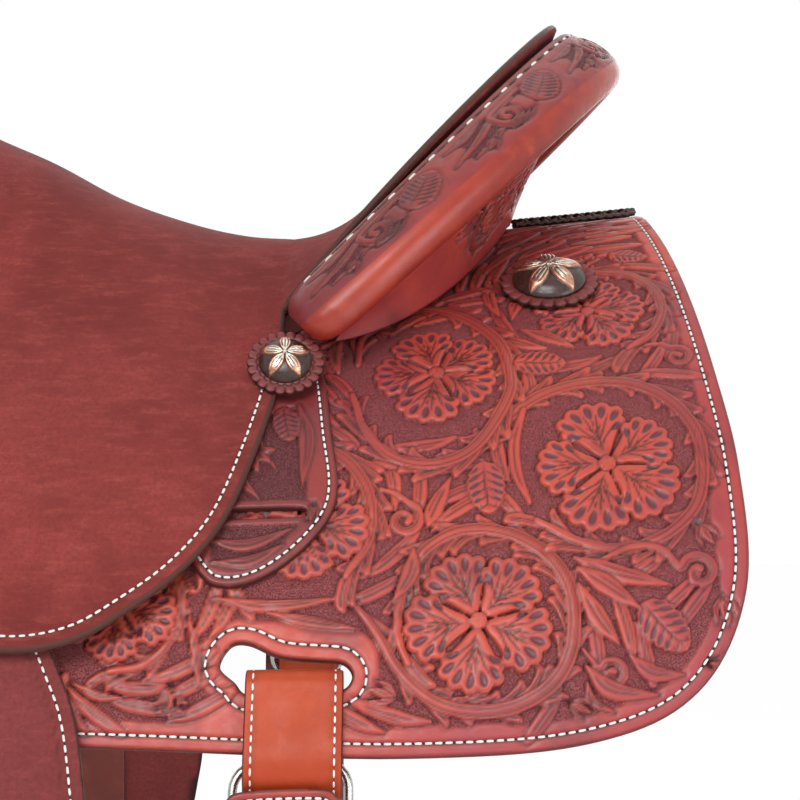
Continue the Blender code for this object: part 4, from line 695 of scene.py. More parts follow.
def plate(name, loops, chart, low, high, material, body, us=1.5, vs=1.5, carving=None, edge=1.4,
          relief=None, coarse=14.0, sharp=50):
    """A leather cut along loops of a chart. Low and high are its faces in millimetres, or functions."""
    loops = [np.asarray(loop, float) for loop in loops]
    p = np.vstack(loops)
    if not hasattr(us, "__len__"):
        us = steps(p[:, 0].min() - us / 2, p[:, 0].max() + us / 2, us)
    if not hasattr(vs, "__len__"):
        vs = steps(p[:, 1].min() - vs / 2, p[:, 1].max() + vs / 2, vs)
    middle_u, middle_v = (us[1:] + us[:-1]) / 2, (vs[1:] + vs[:-1]) / 2
    cells = grid_inside(middle_u, middle_v, loops)
    # A corner where two kept cells meet only at a point would pinch the mesh, so one is added
    for _ in range(3):
        a, b, c, d = cells[:-1, :-1], cells[1:, :-1], cells[1:, 1:], cells[:-1, 1:]
        b |= a & c & ~b & ~d
        a |= b & d & ~a & ~c
    touch = np.zeros((len(us), len(vs)), int)
    for du in (0, 1):
        for dv in (0, 1):
            touch[du:du + len(us) - 1, dv:dv + len(vs) - 1] += cells
    used = touch > 0
    number = np.full(used.shape, -1)
    number[used] = np.arange(used.sum())
    u, v = np.meshgrid(us, vs, indexing="ij")
    away = grid_edge_distance(us, vs, loops, edge * 3 + 3)[used]
    flat = np.stack([u[used], v[used]], 1)
    on_rim = touch[used] < 4
    flat[on_rim] = snap(flat[on_rim], loops)
    away = np.where(on_rim, 0, np.maximum(away, 0.15))
    i, j = np.nonzero(cells)
    top = np.stack([number[i, j], number[i + 1, j], number[i + 1, j + 1], number[i, j + 1]], 1)
    h, fields = heights(high, flat), np.zeros((len(flat), 4))
    fields[:, 2] = 0.5
    if carving is not None:
        rise, ground, line, tone = carving.sample(flat[:, 0], flat[:, 1])
        fade = smooth(away, 0.2, 2.0)
        h = h + rise * fade
        fields[:, :3] = np.stack([ground * fade, line * fade, tone * fade / 2 + 0.5], -1)
    if relief is not None:
        h = h + relief(flat[:, 0], flat[:, 1], away)
    near = np.clip(1 - away / edge, 0, 1)
    h = h - edge * 0.75 * (1 - np.sqrt(1 - near ** 2 * 0.999))
    fields[:, 3] = bump(away, 1.1)
    verts = chart(flat[:, 0], flat[:, 1], h)
    # Walls: every side of a kept cell that no other kept cell shares
    pairs = np.vstack([top[:, [0, 1]], top[:, [1, 2]], top[:, [2, 3]], top[:, [3, 0]]])
    key = pairs[:, 0] * len(flat) + pairs[:, 1]
    back = pairs[:, 1] * len(flat) + pairs[:, 0]
    border = pairs[~np.isin(key, back)]
    rim_ids = np.unique(border)
    place = {int(k): m for m, k in enumerate(rim_ids)}
    base = flat[rim_ids]
    low_rim = heights(low, base)
    first = len(verts)
    ring = chart(base[:, 0], base[:, 1], low_rim)
    a = np.array([place[int(k)] for k in border[:, 0]])
    b = np.array([place[int(k)] for k in border[:, 1]])
    walls = np.stack([border[:, 1], border[:, 0], first + a, first + b], 1)
    # Underside: the same rim over coarse points
    cu, cv = (np.arange(q.min() + coarse / 2, q.max(), coarse) for q in (p[:, 0], p[:, 1]))
    keep = grid_inside(cu, cv, loops) & (grid_edge_distance(cu, cv, loops, coarse) > coarse * 0.4)
    inner = np.stack([m[keep] for m in np.meshgrid(cu, cv, indexing="ij")], 1)
    spots = np.vstack([base, inner])
    made = delaunay_2d_cdt([Vector(q) for q in spots], [(int(x), int(y)) for x, y in zip(a, b)],
                           [], 1, 1e-7)
    source = [origins[0] if origins else None for origins in made[3]]
    tris = [[source[k] for k in f] for f in made[2]]
    tris = np.array([f for f in tris if None not in f and len(set(f)) == 3])
    tris = tris[polygon_side(spots[tris].mean(1), loops)]
    under = chart(inner[:, 0], inner[:, 1], heights(low, inner)) if len(inner) else np.zeros((0, 3))
    verts = np.vstack([verts, ring, under])
    dark = np.tile([0, 0, 0.5, 1], (len(ring), 1))
    plain = np.tile([0, 0, 0.5, 0], (len(under), 1))
    fields = np.vstack([fields, dark, plain])
    # Undersides face the other way round from the top
    q = spots[tris]
    turn = np.cross(q[:, 1] - q[:, 0], q[:, 2] - q[:, 0])
    tris = np.where((turn > 0)[:, None], tris[:, ::-1], tris)
    return make_mesh(name, verts, np.vstack([top, walls]), tris + first, material, body, fields, sharp)


def polygon_side(points, loops):
    """Which points are inside the loops."""
    x, y = points.T
    inside = np.zeros(len(points), bool)
    for loop in loops:
        for a, b in zip(loop, np.roll(loop, -1, 0)):
            if a[1] != b[1]:
                crossed = (y >= min(a[1], b[1])) & (y < max(a[1], b[1]))
                inside ^= crossed & (x < a[0] + (y - a[1]) / (b[1] - a[1]) * (b[0] - a[0]))
    return inside


def loop_of(points, round_steps=8):
    """A closed outline through points. A third value makes a sharp corner."""
    made = []
    n = len(points)
    corners = [k for k, p in enumerate(points) if len(p) > 2]
    if not corners:
        return curve([p[:2] for p in points], round_steps, closed=True)
    for a, b in zip(corners, corners[1:] + [corners[0] + n]):
        run = [points[k % n][:2] for k in range(a, b + 1)]
        if len(run) == 2:
            made += [run[0]]
        else:
            made += list(curve(run, round_steps)[:-1])
    return np.array(made)


# Materials


class Nodes:
    """A material's node tree, with short calls for what every leather here uses."""

    def __init__(self, name):
        self.made = bpy.data.materials.new(name)
        self.made.use_nodes = True
        self.tree = self.made.node_tree
        self.shader = self.tree.nodes["Principled BSDF"]
        self.spot = self.node("ShaderNodeTexCoord").outputs["Object"]

    def node(self, kind, **values):
        made = self.tree.nodes.new(kind)
        for key, value in values.items():
            setattr(made, key, value)
        return made

    def link(self, a, b):
        self.tree.links.new(a, b)

    def feed(self, socket, value):
        if isinstance(value, bpy.types.NodeSocket):
            self.link(value, socket)
        else:
            socket.default_value = value

    def noise(self, scale, detail=3.0, rough=0.6, stretch=None):
        made = self.node("ShaderNodeTexNoise")
        made.inputs["Scale"].default_value = scale
        made.inputs["Detail"].default_value = detail
        made.inputs["Roughness"].default_value = rough
        where = self.spot
        if stretch:
            mapping = self.node("ShaderNodeMapping")
            mapping.inputs["Scale"].default_value = stretch
            self.link(where, mapping.inputs["Vector"])
            where = mapping.outputs[0]
        self.link(where, made.inputs["Vector"])
        return made.outputs["Fac"]

    def cells(self, scale, rand):
        made = self.node("ShaderNodeTexVoronoi")
        made.inputs["Scale"].default_value = scale
        made.inputs["Randomness"].default_value = rand
        self.link(self.spot, made.inputs["Vector"])
        return made.outputs["Distance"]

    def math(self, what, a, b=0.0, clamp=False):
        made = self.node("ShaderNodeMath", operation=what, use_clamp=clamp)
        self.feed(made.inputs[0], a)
        self.feed(made.inputs[1], b)
        return made.outputs[0]

    def ramp(self, value, low, high, start=0.0, end=1.0):
        made = self.node("ShaderNodeMapRange", interpolation_type="SMOOTHSTEP")
        self.feed(made.inputs["Value"], value)
        for key, number in zip(("From Min", "From Max", "To Min", "To Max"), (low, high, start, end)):
            made.inputs[key].default_value = number
        return made.outputs["Result"]

    def mix(self, share, a, b):
        made = self.node("ShaderNodeMix", data_type="RGBA")
        self.feed(made.inputs[0], share)
        for socket, value in ((made.inputs[6], a), (made.inputs[7], b)):
            self.feed(socket, (*value, 1) if isinstance(value, tuple) and len(value) == 3 else value)
        return made.outputs[2]

    def carve(self):
        """Ground, line, tone and edge of the carving drawn on the mesh."""
        made = self.node("ShaderNodeAttribute", attribute_name="carve")
        parts = self.node("ShaderNodeSeparateColor")
        self.link(made.outputs["Color"], parts.inputs[0])
        return [*parts.outputs[:3], made.outputs["Alpha"]]

    def relief(self, height, distance, strength=1.0, under=None):
        made = self.node("ShaderNodeBump")
        made.inputs["Distance"].default_value = distance
        made.inputs["Strength"].default_value = strength
        self.link(height, made.inputs["Height"])
        if under:
            self.link(under, made.inputs["Normal"])
        return made.outputs[0]

    def finish(self, colour, rough, normal=None, **fixed):
        self.feed(self.shader.inputs["Base Color"], colour if isinstance(colour, bpy.types.NodeSocket)
                  else (*colour, 1))
        self.feed(self.shader.inputs["Roughness"], rough)
        if normal:
            self.link(normal, self.shader.inputs["Normal"])
        for key, value in fixed.items():
            self.shader.inputs[key.replace("_", " ")].default_value = value
        return self.made


def carved_leather(name, red, deep, bright, border, ground_dark, gloss=0.40):
    """Carved, dyed and antiqued leather: dark in its stippled ground, dark in its cuts from antique and
    painted shade, with painted highlights on its raised edges and painted shade in its hollows.
    """
    m = Nodes(name)
    ground, line, tone, edge = m.carve()
    cloud = m.noise(9, 4, 0.55)
    fine = m.noise(420, 3, 0.6)
    colour = m.mix(m.ramp(cloud, 0.36, 0.62), red, border)
    colour = m.mix(m.ramp(m.noise(24, 5, 0.65), 0.48, 0.74, 0, 0.5), colour, deep)
    # Painted highlight: high tone brings in the bright colour.
    colour = m.mix(m.ramp(tone, 0.5, 0.85, 0, 0.95), colour, bright)
    # Painted shade: low tone brings in the deep colour.
    colour = m.mix(m.ramp(tone, 0.5, 0.15, 0, 0.95), colour, deep)
    pits = m.ramp(m.cells(1700, 0.9), 0.15, 0.55)
    ground_tone = m.mix(pits, tuple(0.72 * c for c in ground_dark), ground_dark)
    colour = m.mix(m.math("MULTIPLY", ground, 0.95), colour, ground_tone)
    # Cuts and outlines are near black: antique in them, and painted shade.
    colour = m.mix(m.math("MULTIPLY", line, 0.90, True), colour, (0.020, 0.0065, 0.0055))
    colour = m.mix(m.math("MULTIPLY", edge, 0.85), colour, (0.045, 0.015, 0.010))
    colour = m.mix(m.ramp(fine, 0.35, 0.75, 0, 0.10), colour, deep)
    shine = m.ramp(m.noise(160, 4), 0.3, 0.7, gloss - 0.05, gloss + 0.09)
    rough = m.math("ADD", m.math("MULTIPLY", ground, 0.22), shine, True)
    grain = m.relief(m.noise(1500, 3, 0.7), 0.00006, 0.6)
    pressed = m.math("MULTIPLY", m.math("SUBTRACT", pits, 1.0), ground)
    return m.finish(colour, rough, m.relief(pressed, 0.0005, 1.0, grain), Specular_IOR_Level=0.40)


def suede(name, base, light, dark, edge_dark=(0.035, 0.014, 0.010)):
    """Rough-out leather: short nap, soft mottling, faint scuffs, a burnished cut edge."""
    m = Nodes(name)
    _, line, _, edge = m.carve()
    cloud = m.noise(14, 5, 0.6)
    nap = m.noise(480, 4, 0.8)
    drag = m.noise(60, 5, 0.7, stretch=(1.0, 1.0, 4.5))
    colour = m.mix(m.ramp(cloud, 0.32, 0.7), dark, base)
    colour = m.mix(m.ramp(drag, 0.45, 0.75, 0, 0.45), colour, light)
    colour = m.mix(m.ramp(nap, 0.38, 0.70, 0, 0.60), colour, tuple(0.55 * c for c in base))
    scuff = m.noise(130, 6, 0.8, stretch=(1.0, 1.0, 9.0))
    colour = m.mix(m.ramp(scuff, 0.66, 0.80, 0, 0.45), colour, tuple(min(1.35 * c, 1) for c in light))
    colour = m.mix(m.math("MULTIPLY", line, 0.55), colour, (0.03, 0.010, 0.008))
    colour = m.mix(m.ramp(edge, 0.45, 0.95), colour, edge_dark)
    under = m.relief(m.noise(180, 4, 0.7), 0.0006, 0.5)
    normal = m.relief(nap, 0.00045, 0.80, under)
    rough = m.ramp(edge, 0.5, 1.0, 0.92, 0.45)
    return m.finish(colour, rough, normal, Sheen_Weight=0.06, Sheen_Roughness=0.5,
                    Specular_IOR_Level=0.17)


def smooth_leather(name, base, dark, light, gloss, coat, shine=0.4):
    """Polished saddle leather: even dye with soft clouds, fine pores and a dark cut edge."""
    m = Nodes(name)
    _, line, tone, edge = m.carve()
    cloud = m.noise(16, 5, 0.6)
    colour = m.mix(m.ramp(cloud, 0.3, 0.7), dark, base)
    colour = m.mix(m.ramp(m.noise(55, 4, 0.65), 0.5, 0.8, 0, 0.5), colour, light)
    colour = m.mix(m.ramp(m.noise(900, 2), 0.55, 0.8, 0, 0.25), colour, tuple(0.5 * c for c in dark))
    # Tone drawn on the mesh lightens or darkens the leather: painted highlight and painted shade.
    colour = m.mix(m.ramp(tone, 0.5, 0.9, 0, 0.6), colour, light)
    colour = m.mix(m.ramp(tone, 0.5, 0.05, 0, 0.8), colour, tuple(0.4 * c for c in dark))
    colour = m.mix(m.math("MULTIPLY", line, 0.85), colour, (0.025, 0.008, 0.006))
    colour = m.mix(m.ramp(edge, 0.35, 0.95), colour, (0.040, 0.014, 0.010))
    rough = m.ramp(m.noise(90, 4), 0.3, 0.7, gloss - 0.05, gloss + 0.08)
    normal = m.relief(m.noise(1300, 3, 0.7), 0.00005, 0.6, m.relief(m.noise(70, 3), 0.0004, 0.25))
    return m.finish(colour, rough, normal, Coat_Weight=coat, Coat_Roughness=0.25, Specular_IOR_Level=shine)


def plain(name, base, rough, metallic=0.0, vary=0.25, scale=60, bumps=(300, 0.0001), stretch=None, **fixed):
    """A finish of one substance, with the small changes in tone and shine that it really has."""
    m = Nodes(name)
    cloud = m.noise(scale, 5, 0.6, stretch=stretch)
    colour = m.mix(m.ramp(cloud, 0.3, 0.7), tuple((1 - vary) * c for c in base), base)
    shine = m.ramp(m.noise(scale * 2.7, 4, stretch=stretch), 0.3, 0.7, max(rough - 0.06, 0.02), rough + 0.06)
    normal = m.relief(m.noise(bumps[0], 3, 0.6, stretch=stretch), bumps[1], 0.7)
    m.shader.inputs["Metallic"].default_value = metallic
    return m.finish(colour, shine, normal, **fixed)


CARVED = carved_leather("carved", (0.35, 0.043, 0.048), (0.098, 0.021, 0.029), (0.57, 0.082, 0.042),
                        (0.52, 0.068, 0.042), (0.235, 0.046, 0.050))
# A darker copy of the carved leather, for pieces that lie in shade: painted shade.
CARVED_SHADED = carved_leather("carved_painted_shade", (0.205, 0.025, 0.030), (0.055, 0.013, 0.018),
                             (0.38, 0.048, 0.030),
                             (0.28, 0.034, 0.029), (0.125, 0.024, 0.028))
SUEDE = suede("seat_suede", (0.285, 0.047, 0.042), (0.42, 0.088, 0.074), (0.168, 0.026, 0.023),
              (0.085, 0.030, 0.022))
SUEDE_DARK = suede("fender_suede", (0.26, 0.052, 0.050), (0.32, 0.070, 0.066), (0.20, 0.040, 0.040))
POLISHED = smooth_leather("polished", (0.42, 0.044, 0.018), (0.24, 0.024, 0.018), (0.56, 0.085, 0.026),
                          0.33, coat=0.06)
BILLET = smooth_leather("billet", (0.48, 0.066, 0.020), (0.37, 0.044, 0.016), (0.60, 0.105, 0.040), 0.42,
                        coat=0.0, shine=0.22)
BROWN = smooth_leather("brown_leather", (0.20, 0.036, 0.026), (0.12, 0.022, 0.017), (0.30, 0.070, 0.045),
                       0.42,
                       coat=0.05)
DARK = smooth_leather("dark_leather", (0.085, 0.020, 0.017), (0.050, 0.013, 0.012), (0.15, 0.042, 0.035),
                      0.45, coat=0.0)
THREAD = plain("thread", (0.86, 0.83, 0.78), 0.75, vary=0.12, scale=500, bumps=(2600, 0.0001))
# Near black, for the shade in a stitch hole: painted shade.
HOLE_SHADE = plain("stitch_hole_shade", (0.018, 0.007, 0.006), 0.8, vary=0.3)
WOOL = plain("wool", (0.80, 0.72, 0.56), 0.95, vary=0.22, scale=90, bumps=(520, 0.0012),
             Sheen_Weight=0.35, Sheen_Roughness=0.6)
STEEL = plain("bright_steel", (0.62, 0.61, 0.59), 0.26, 1.0, vary=0.12, bumps=(900, 0.00003),
              stretch=(1, 1, 9))
WOOD = plain("tree_wood", (0.55, 0.38, 0.20), 0.6, vary=0.3, scale=30, stretch=(0.25, 1, 1))


# Carving of a skirt, on the chart of the left side. The right side mirrors it.


# Centres and radii of the flowers in the carving that is being drawn
HUBS = []


def wreath(c, path, at, r, turn, half=3.4, side=1, count=12, size=17.0, span=(0.0, 0.97), outer=15,
           reach=25.0):
    """A vine that runs round a flower, with leaf tips along both its sides."""
    HUBS.append((at, r))
    fingers(c, path, reach, -side, 0.0, 1.0, count=outer, lift=0.34, wide=0.125)
    fingers(c, path, size, side, *span, count=count, lift=0.42, wide=0.145)
    c.stroke(path, half * np.array([0.45, 0.8, 1.0, 1.05, 1.0, 0.95, 0.85, 0.5]),
             cuts=((0.50, 0.03, 0.97, 0.9), (0.05, 0.25, 0.80, 0.5), (-0.45, 0.03, 0.97, 0.9)), dome=0.16,
             tone=0.10)
    flower(c, at, r, turn)


def frond(c, path, half):
    """A long pointed leaf along a path."""
    c.stroke(path, half * np.array(BLADE), cuts=TWO_CUTS, dome=0.18, tone=0.08)


def spray(c, at, angle, size, count=5, spread_by=0.42):
    """A fan of leaf tips from one root."""
    for k in range(count):
        a = angle + (k - (count - 1) / 2) * spread_by
        long = size * (1.0 - 0.10 * abs(k - (count - 1) / 2))
        bend = 0.22 * (k - (count - 1) / 2)
        path = [at, (at[0] + 0.5 * long * math.cos(a - bend), at[1] + 0.5 * long * math.sin(a - bend)),
                (at[0] + long * math.cos(a), at[1] + long * math.sin(a))]
        c.stroke(path, np.array(FINGER) * size * 0.15, cuts=TWO_CUTS, dome=0.16, tone=0.06)


def carve_rear(c):
    """The rear of a skirt: four wreaths with roses, leaves, scrolls and buds between."""
    wreath(c, RING_C, (194, 321), 34.0, math.radians(100), count=17, span=(0.10, 0.95), outer=24)
    wreath(c, RING_D, (262, 137), 29.5, math.radians(70), count=9, half=3.2, outer=12)
    wreath(c, RING_B, (260, 245), 35.5, math.radians(112), count=17, span=(0.12, 0.96), outer=22)
    c.stroke(RING_B_LEFT, (1.6, 3.0, 3.0, 1.4), cuts=((0, 0.1, 0.9, 0.9),), dome=0.2)
    wreath(c, RING_A, (180, 177), 33.0, math.radians(35), count=16, outer=19)
    wreath(c, [(84, 246), (93, 230), (112, 222), (132, 231), (144, 252), (144, 276), (133, 295)],
           (112, 266), 31.0, math.radians(-60), count=9, half=3.2, outer=12)
    # Leaves between the wreaths
    rose_leaf(c, (201, 253), 30, 19, math.radians(88))
    rose_leaf(c, (279, 331), 31, 20, math.radians(52))
    rose_leaf(c, (233, 176), 27, 18, math.radians(8))
    rose_leaf(c, (291, 84), 22, 15, math.radians(20))
    # Sprays, scrolls and buds
    scroll(c, (161, 268), 9.0, math.radians(-70), 1.3, 1, 2.2, tail=[(150, 250), (158, 254)])
    scroll(c, (297, 307), 9.5, math.radians(200), 1.25, 1, 2.3, tail=[(250, 297), (268, 291), (281, 294)])
    scroll(c, (254, 351), 7.5, math.radians(-150), 1.2, 1, 2.0, tail=[(241, 338)])
    scroll(c, (303, 181), 7.5, math.radians(250), 1.2, 1, 2.0, tail=[(288, 170), (295, 170)])
    frond(c, [(240, 294), (257, 303), (284, 312)], 5.0)
    frond(c, [(241, 299), (254, 309), (269, 322)], 4.8)
    frond(c, [(241, 307), (249, 324), (258, 338)], 4.6)
    frond(c, [(242, 346), (253, 358), (274, 362)], 4.4)
    frond(c, [(262, 343), (272, 352), (286, 354)], 4.0)
    frond(c, [(242, 353), (244, 362), (254, 368)], 2.4)
    frond(c, [(165, 284), (163, 296), (155, 309)], 4.2)
    frond(c, [(172, 272), (176, 262), (184, 246)], 4.4)
    frond(c, [(226, 148), (238, 156), (252, 166)], 4.2)
    frond(c, [(222, 138), (226, 124), (238, 112)], 4.2)
    frond(c, [(216, 100), (230, 92), (246, 90)], 4.0)
    bud(c, (307, 326), 8.0, math.radians(80))
    bud(c, (302, 288), 7.0, math.radians(60))
    bud(c, (150, 352), 7.5, math.radians(200))
    bud(c, (238, 364), 6.0, math.radians(30))
    spray(c, (222, 112), math.radians(-110), 17, 5)
    spray(c, (176, 100), math.radians(-85), 17, 6)
    spray(c, (140, 108), math.radians(-130), 15, 4)
    spray(c, (268, 90), math.radians(-75), 11, 4)
    spray(c, (298, 350), math.radians(10), 12, 4)


def carve_wing(c, x0, s0, turn, flip=1.0, r=27.0):
    """One rose in a wreath, with a leaf and two buds: it fills the front of a skirt."""
    place = lambda points: [(x0 + flip * a, s0 + b) for a, b in points]
    ring = place([(-34, 24), (-41, 2), (-33, -22), (-12, -37), (14, -37), (34, -21), (40, 3), (30, 27),
                  (6, 39),
                  (-16, 36)])
    wreath(c, ring, (x0, s0), r, turn, side=int(flip), count=13, half=3.2, outer=16)
    spray(c, (x0 - flip * 42, s0 + 34), math.radians(130 if flip > 0 else 50), 16, 4)
    rose_leaf(c, (x0 + flip * 46, s0 - 32), 26, 17, math.radians(-45 * flip))
    bud(c, (x0 + flip * 44, s0 + 36), 7, math.radians(35 if flip > 0 else 145))


def carve_front(c):
    """The rest of the skirt, forward of the rear wreaths."""
    wreath(c, [(6, 322), (-2, 306), (3, 288), (20, 276), (40, 280), (54, 296), (54, 318), (42, 334),
               (24, 338)],
           (27, 307), 27.0, math.radians(20), count=11, half=3.0, size=14, outer=12, reach=20)
    spray(c, (53, 348), math.radians(90), 11, 5, 0.5)
    bud(c, (53, 350), 6.0, math.radians(90))
    frond(c, [(8, 343), (20, 349), (32, 350)], 2.6)
    frond(c, [(60, 312), (64, 330), (66, 346)], 2.6)
    frond(c, [(72, 304), (98, 309), (132, 306)], 3.4)
    frond(c, [(96, 312), (116, 317), (140, 322)], 3.0)
    for x0, s0, turn, flip in ((40, 205, 0.3, 1), (-42, 262, 1.1, -1), (-52, 160, 0.8, 1),
                               (-140, 210, 0.2, -1),
                               (-146, 318, 1.5, 1), (-54, 344, 0.4, -1), (-228, 270, 0.9, 1),
                               (-236, 165, 0.5, -1),
                               (-140, 112, 1.3, 1), (40, 110, 0.7, -1), (110, 100, 0.1, 1),
                               (-268, 332, 0.6, 1)):
        carve_wing(c, x0, s0, turn, flip, 29.0)


def skirt_outline(inset, ridge):
    """Outline of a skirt in metres, as the CAD source cuts it."""
    front, rear = -0.318 + inset, 0.3225 - inset
    drop, inner, middle = 0.381 - inset, 0.046 + inset, 0.212 + inset
    edge = drop - 0.009
    return [(rear - 0.0137, ridge, "c"), (rear - 0.0085, 0.073), (rear - 0.0028, 0.190), (rear, 0.255),
            (rear - 0.0045, 0.318), (rear - 0.030, drop - 0.019), (rear - 0.078, drop - 0.001), (0.160, drop),
            (0.011, edge), (-0.202, edge, "c"), (-0.206, 0.344, "c"), (-0.214, 0.336, "c"),
            (-0.272, 0.336, "c"),
            (-0.280, 0.344, "c"), (-0.284, edge - 0.004, "c"), (front + 0.038, drop - 0.030),
            (front, drop - 0.100), (front + 0.004, 0.170), (front + 0.018, 0.090),
            (front + 0.060, inner, "c"),
            (middle, inner, "c"), (middle + 0.008, ridge, "c")]


def ridge_gap(depth):
    """How far beside the ridge a leather starts that is so thick."""
    return (CLEAR + depth * math.sin(RIDGE_SLOPE)) / math.cos(RIDGE_SLOPE)


def mm(points):
    """Places in millimetres, with the marks of their corners."""
    return [(p[0] * 1000, p[1] * 1000, *p[2:]) for p in points]


def inset(loop, by):
    """A closed loop moved inwards."""
    loop = even(loop, 3.0, closed=True)
    e = np.roll(loop, -1, 0) - np.roll(loop, 1, 0)
    f = np.stack([-e[:, 1], e[:, 0]], 1) / np.maximum(np.hypot(*e.T)[:, None], 1e-9)
    area = (loop[:, 0] * np.roll(loop[:, 1], -1) - loop[:, 1] * np.roll(loop[:, 0], -1)).sum()
    return loop + f * by * np.sign(area)


def groove(c, line, half=0.9, depth=0.42):
    """A pressed channel for a stitch line, darkened in tone and line: painted shade in it."""
    cut, (x, y) = c.window(line, 4)
    d, _, _ = stroke_field(x, y, np.asarray(line), np.full(len(line), half))
    inside = smooth(d, -0.6, 0.5)
    c.high[cut] -= depth * inside
    c.tone[cut] -= 0.55 * inside
    c.line[cut] = np.maximum(c.line[cut], 0.35 * inside)


SKIRT_LOOP = loop_of(mm(skirt_outline(0, ridge_gap(SKIRT_THICK))), 10)
SLOT_LOOP = loop_of(SLOT, 6)


def border_line(loop, by, first, last):
    """The stretch of an inset outline between the points nearest to two places."""
    line = inset(loop, by)
    a, b = (int(np.argmin(((line - p) ** 2).sum(1))) for p in (first, last))
    return line[a:b + 1] if a <= b else np.vstack([line[a:], line[:b + 1]])


SKIRT_STITCH = border_line(SKIRT_LOOP, EDGE_STITCH, (308, 12), (-312, 100))
SLOT_STITCH = inset(SLOT_LOOP, -7.0)


def stitches(name, line, chart, body, high, pitch=4.6, long=3.3, radius=0.62, closed=False, material=None,
             sunk=0.10):
    """Saddle stitches along a line of a chart: thread, and between two threads a dark capsule that stands for
    the hole, painted shade.
    """
    line = np.asarray(line, float)
    run = run_along(line)
    count = int(run[-1] / pitch)
    built = {}
    value = high if callable(high) else (lambda u, v: np.full(np.shape(u), float(high)))
    for kind, size, thick in (("thread", long, radius), ("hole", 1.15, radius * 0.62)):
        shift = 0.5 if kind == "thread" else 1.0
        at = (np.arange(count) + shift) * run[-1] / count
        at = at[at < run[-1]]
        ends = [np.stack([np.interp(at + e, run, line[:, k]) for k in (0, 1)], 1)
                for e in (-size / 2, size / 2)]
        mid = (ends[0] + ends[1]) / 2
        along = unit(ends[1] - ends[0])
        across = np.stack([-along[:, 1], along[:, 0]], 1)
        # A capsule: rings of six round five stations
        shape = [(-1.0, 0.35), (-0.86, 0.85), (-0.4, 1.0), (0.4, 1.0), (0.86, 0.85), (1.0, 0.35)]
        parts = []
        for t, w in shape:
            for k in range(8):
                a = 2 * math.pi * (k + 0.5) / 8
                side_by, up_by = thick * w * math.cos(a), thick * w * math.sin(a)
                p = mid + along * (t * size / 2) + across * side_by
                lift = value(p[:, 0], p[:, 1]) - sunk + up_by * 0.8 - 0.18 * t * t * thick
                parts.append(chart(p[:, 0], p[:, 1], lift))
        points = np.stack(parts, 1)
        n = points.shape[1]
        rows = len(shape)
        q, f = [], []
        for r in range(rows - 1):
            for k in range(8):
                m = (k + 1) % 8
                q.append((r * 8 + k, r * 8 + m, (r + 1) * 8 + m, (r + 1) * 8 + k))
        for r in (0, rows - 1):
            for k in range(1, 7):
                trio = (r * 8, r * 8 + k, r * 8 + k + 1)
                f.append(trio[::-1] if r == 0 else trio)
        shifts = (np.arange(len(mid)) * n)[:, None, None]
        built[kind] = (points.reshape(-1, 3), (np.array(q)[None] + shifts).reshape(-1, 4),
                       (np.array(f)[None] + shifts).reshape(-1, 3))
    made = []
    for kind, finish in (("thread", material or THREAD), ("hole", HOLE_SHADE)):
        v, q, f = built[kind]
        fix = f[:, ::-1]
        made.append(make_mesh(f"{name}_{kind}", v, q, fix, finish, body, sharp=60))
    return made


# Camera, light and floor

camera = bpy.data.objects.new("camera", bpy.data.cameras.new("camera"))
bpy.context.scene.collection.objects.link(camera)
bpy.context.scene.camera = camera
camera.data.sensor_width = 36
camera.data.lens = FOCAL_PX / PHOTO * 36
camera.data.shift_x = (PHOTO / 2 - VANISH[0]) / PHOTO
camera.data.shift_y = 0
camera.data.clip_end = 50
camera.location = EYE
camera.rotation_euler = (math.pi / 2, 0, 0)


def soft_light(name, at, aim, size, power, colour=(1, 1, 1)):
    """A rectangular lamp at a place, turned to what it lights."""
    data = bpy.data.lights.new(name, "AREA")
    data.shape, data.size, data.size_y = "RECTANGLE", *size
    data.energy, data.color = power, colour
    made = bpy.data.objects.new(name, data)
    bpy.context.scene.collection.objects.link(made)
    made.location = at
    made.rotation_euler = (Vector(aim) - Vector(at)).to_track_quat("-Z", "Y").to_euler()
    return made


soft_light("key_light", (-0.45, -2.5, 1.35), (0.08, -0.1, -0.15), (1.5, 1.1), 52)
soft_light("fill_light", (2.1, -2.1, -0.2), (0.15, -0.1, -0.15), (1.4, 1.6), 28)
soft_light("top_light", (0.2, 0.4, 2.4), (0.05, 0, 0), (2.2, 1.6), 9)
soft_light("low_light", (0.0, -2.2, -1.1), (0.1, 0, -0.3), (2.0, 0.8), 16)
soft_light("back_light", (0.4, 2.4, 0.8), (0.1, 0, -0.1), (2.0, 1.4), 16)

world = bpy.data.worlds.new("studio")
bpy.context.scene.world = world
world.use_nodes = True
soft = world.node_tree.nodes["Background"]
soft.inputs["Color"].default_value = (0.95, 0.97, 1.0, 1)
soft.inputs["Strength"].default_value = 0.34
white = world.node_tree.nodes.new("ShaderNodeBackground")
white.inputs["Color"].default_value = (1, 1, 1, 1)
rays = world.node_tree.nodes.new("ShaderNodeLightPath")
either = world.node_tree.nodes.new("ShaderNodeMixShader")
shown = world.node_tree.nodes.new("ShaderNodeMath")
shown.operation = "MAXIMUM"
world.node_tree.links.new(rays.outputs["Is Camera Ray"], shown.inputs[0])
world.node_tree.links.new(rays.outputs["Is Glossy Ray"], shown.inputs[1])
world.node_tree.links.new(shown.outputs[0], either.inputs[0])
world.node_tree.links.new(soft.outputs[0], either.inputs[1])
world.node_tree.links.new(white.outputs[0], either.inputs[2])
world.node_tree.links.new(either.outputs[0], world.node_tree.nodes["World Output"].inputs["Surface"])
bpy.context.scene.view_settings.view_transform = "Standard"

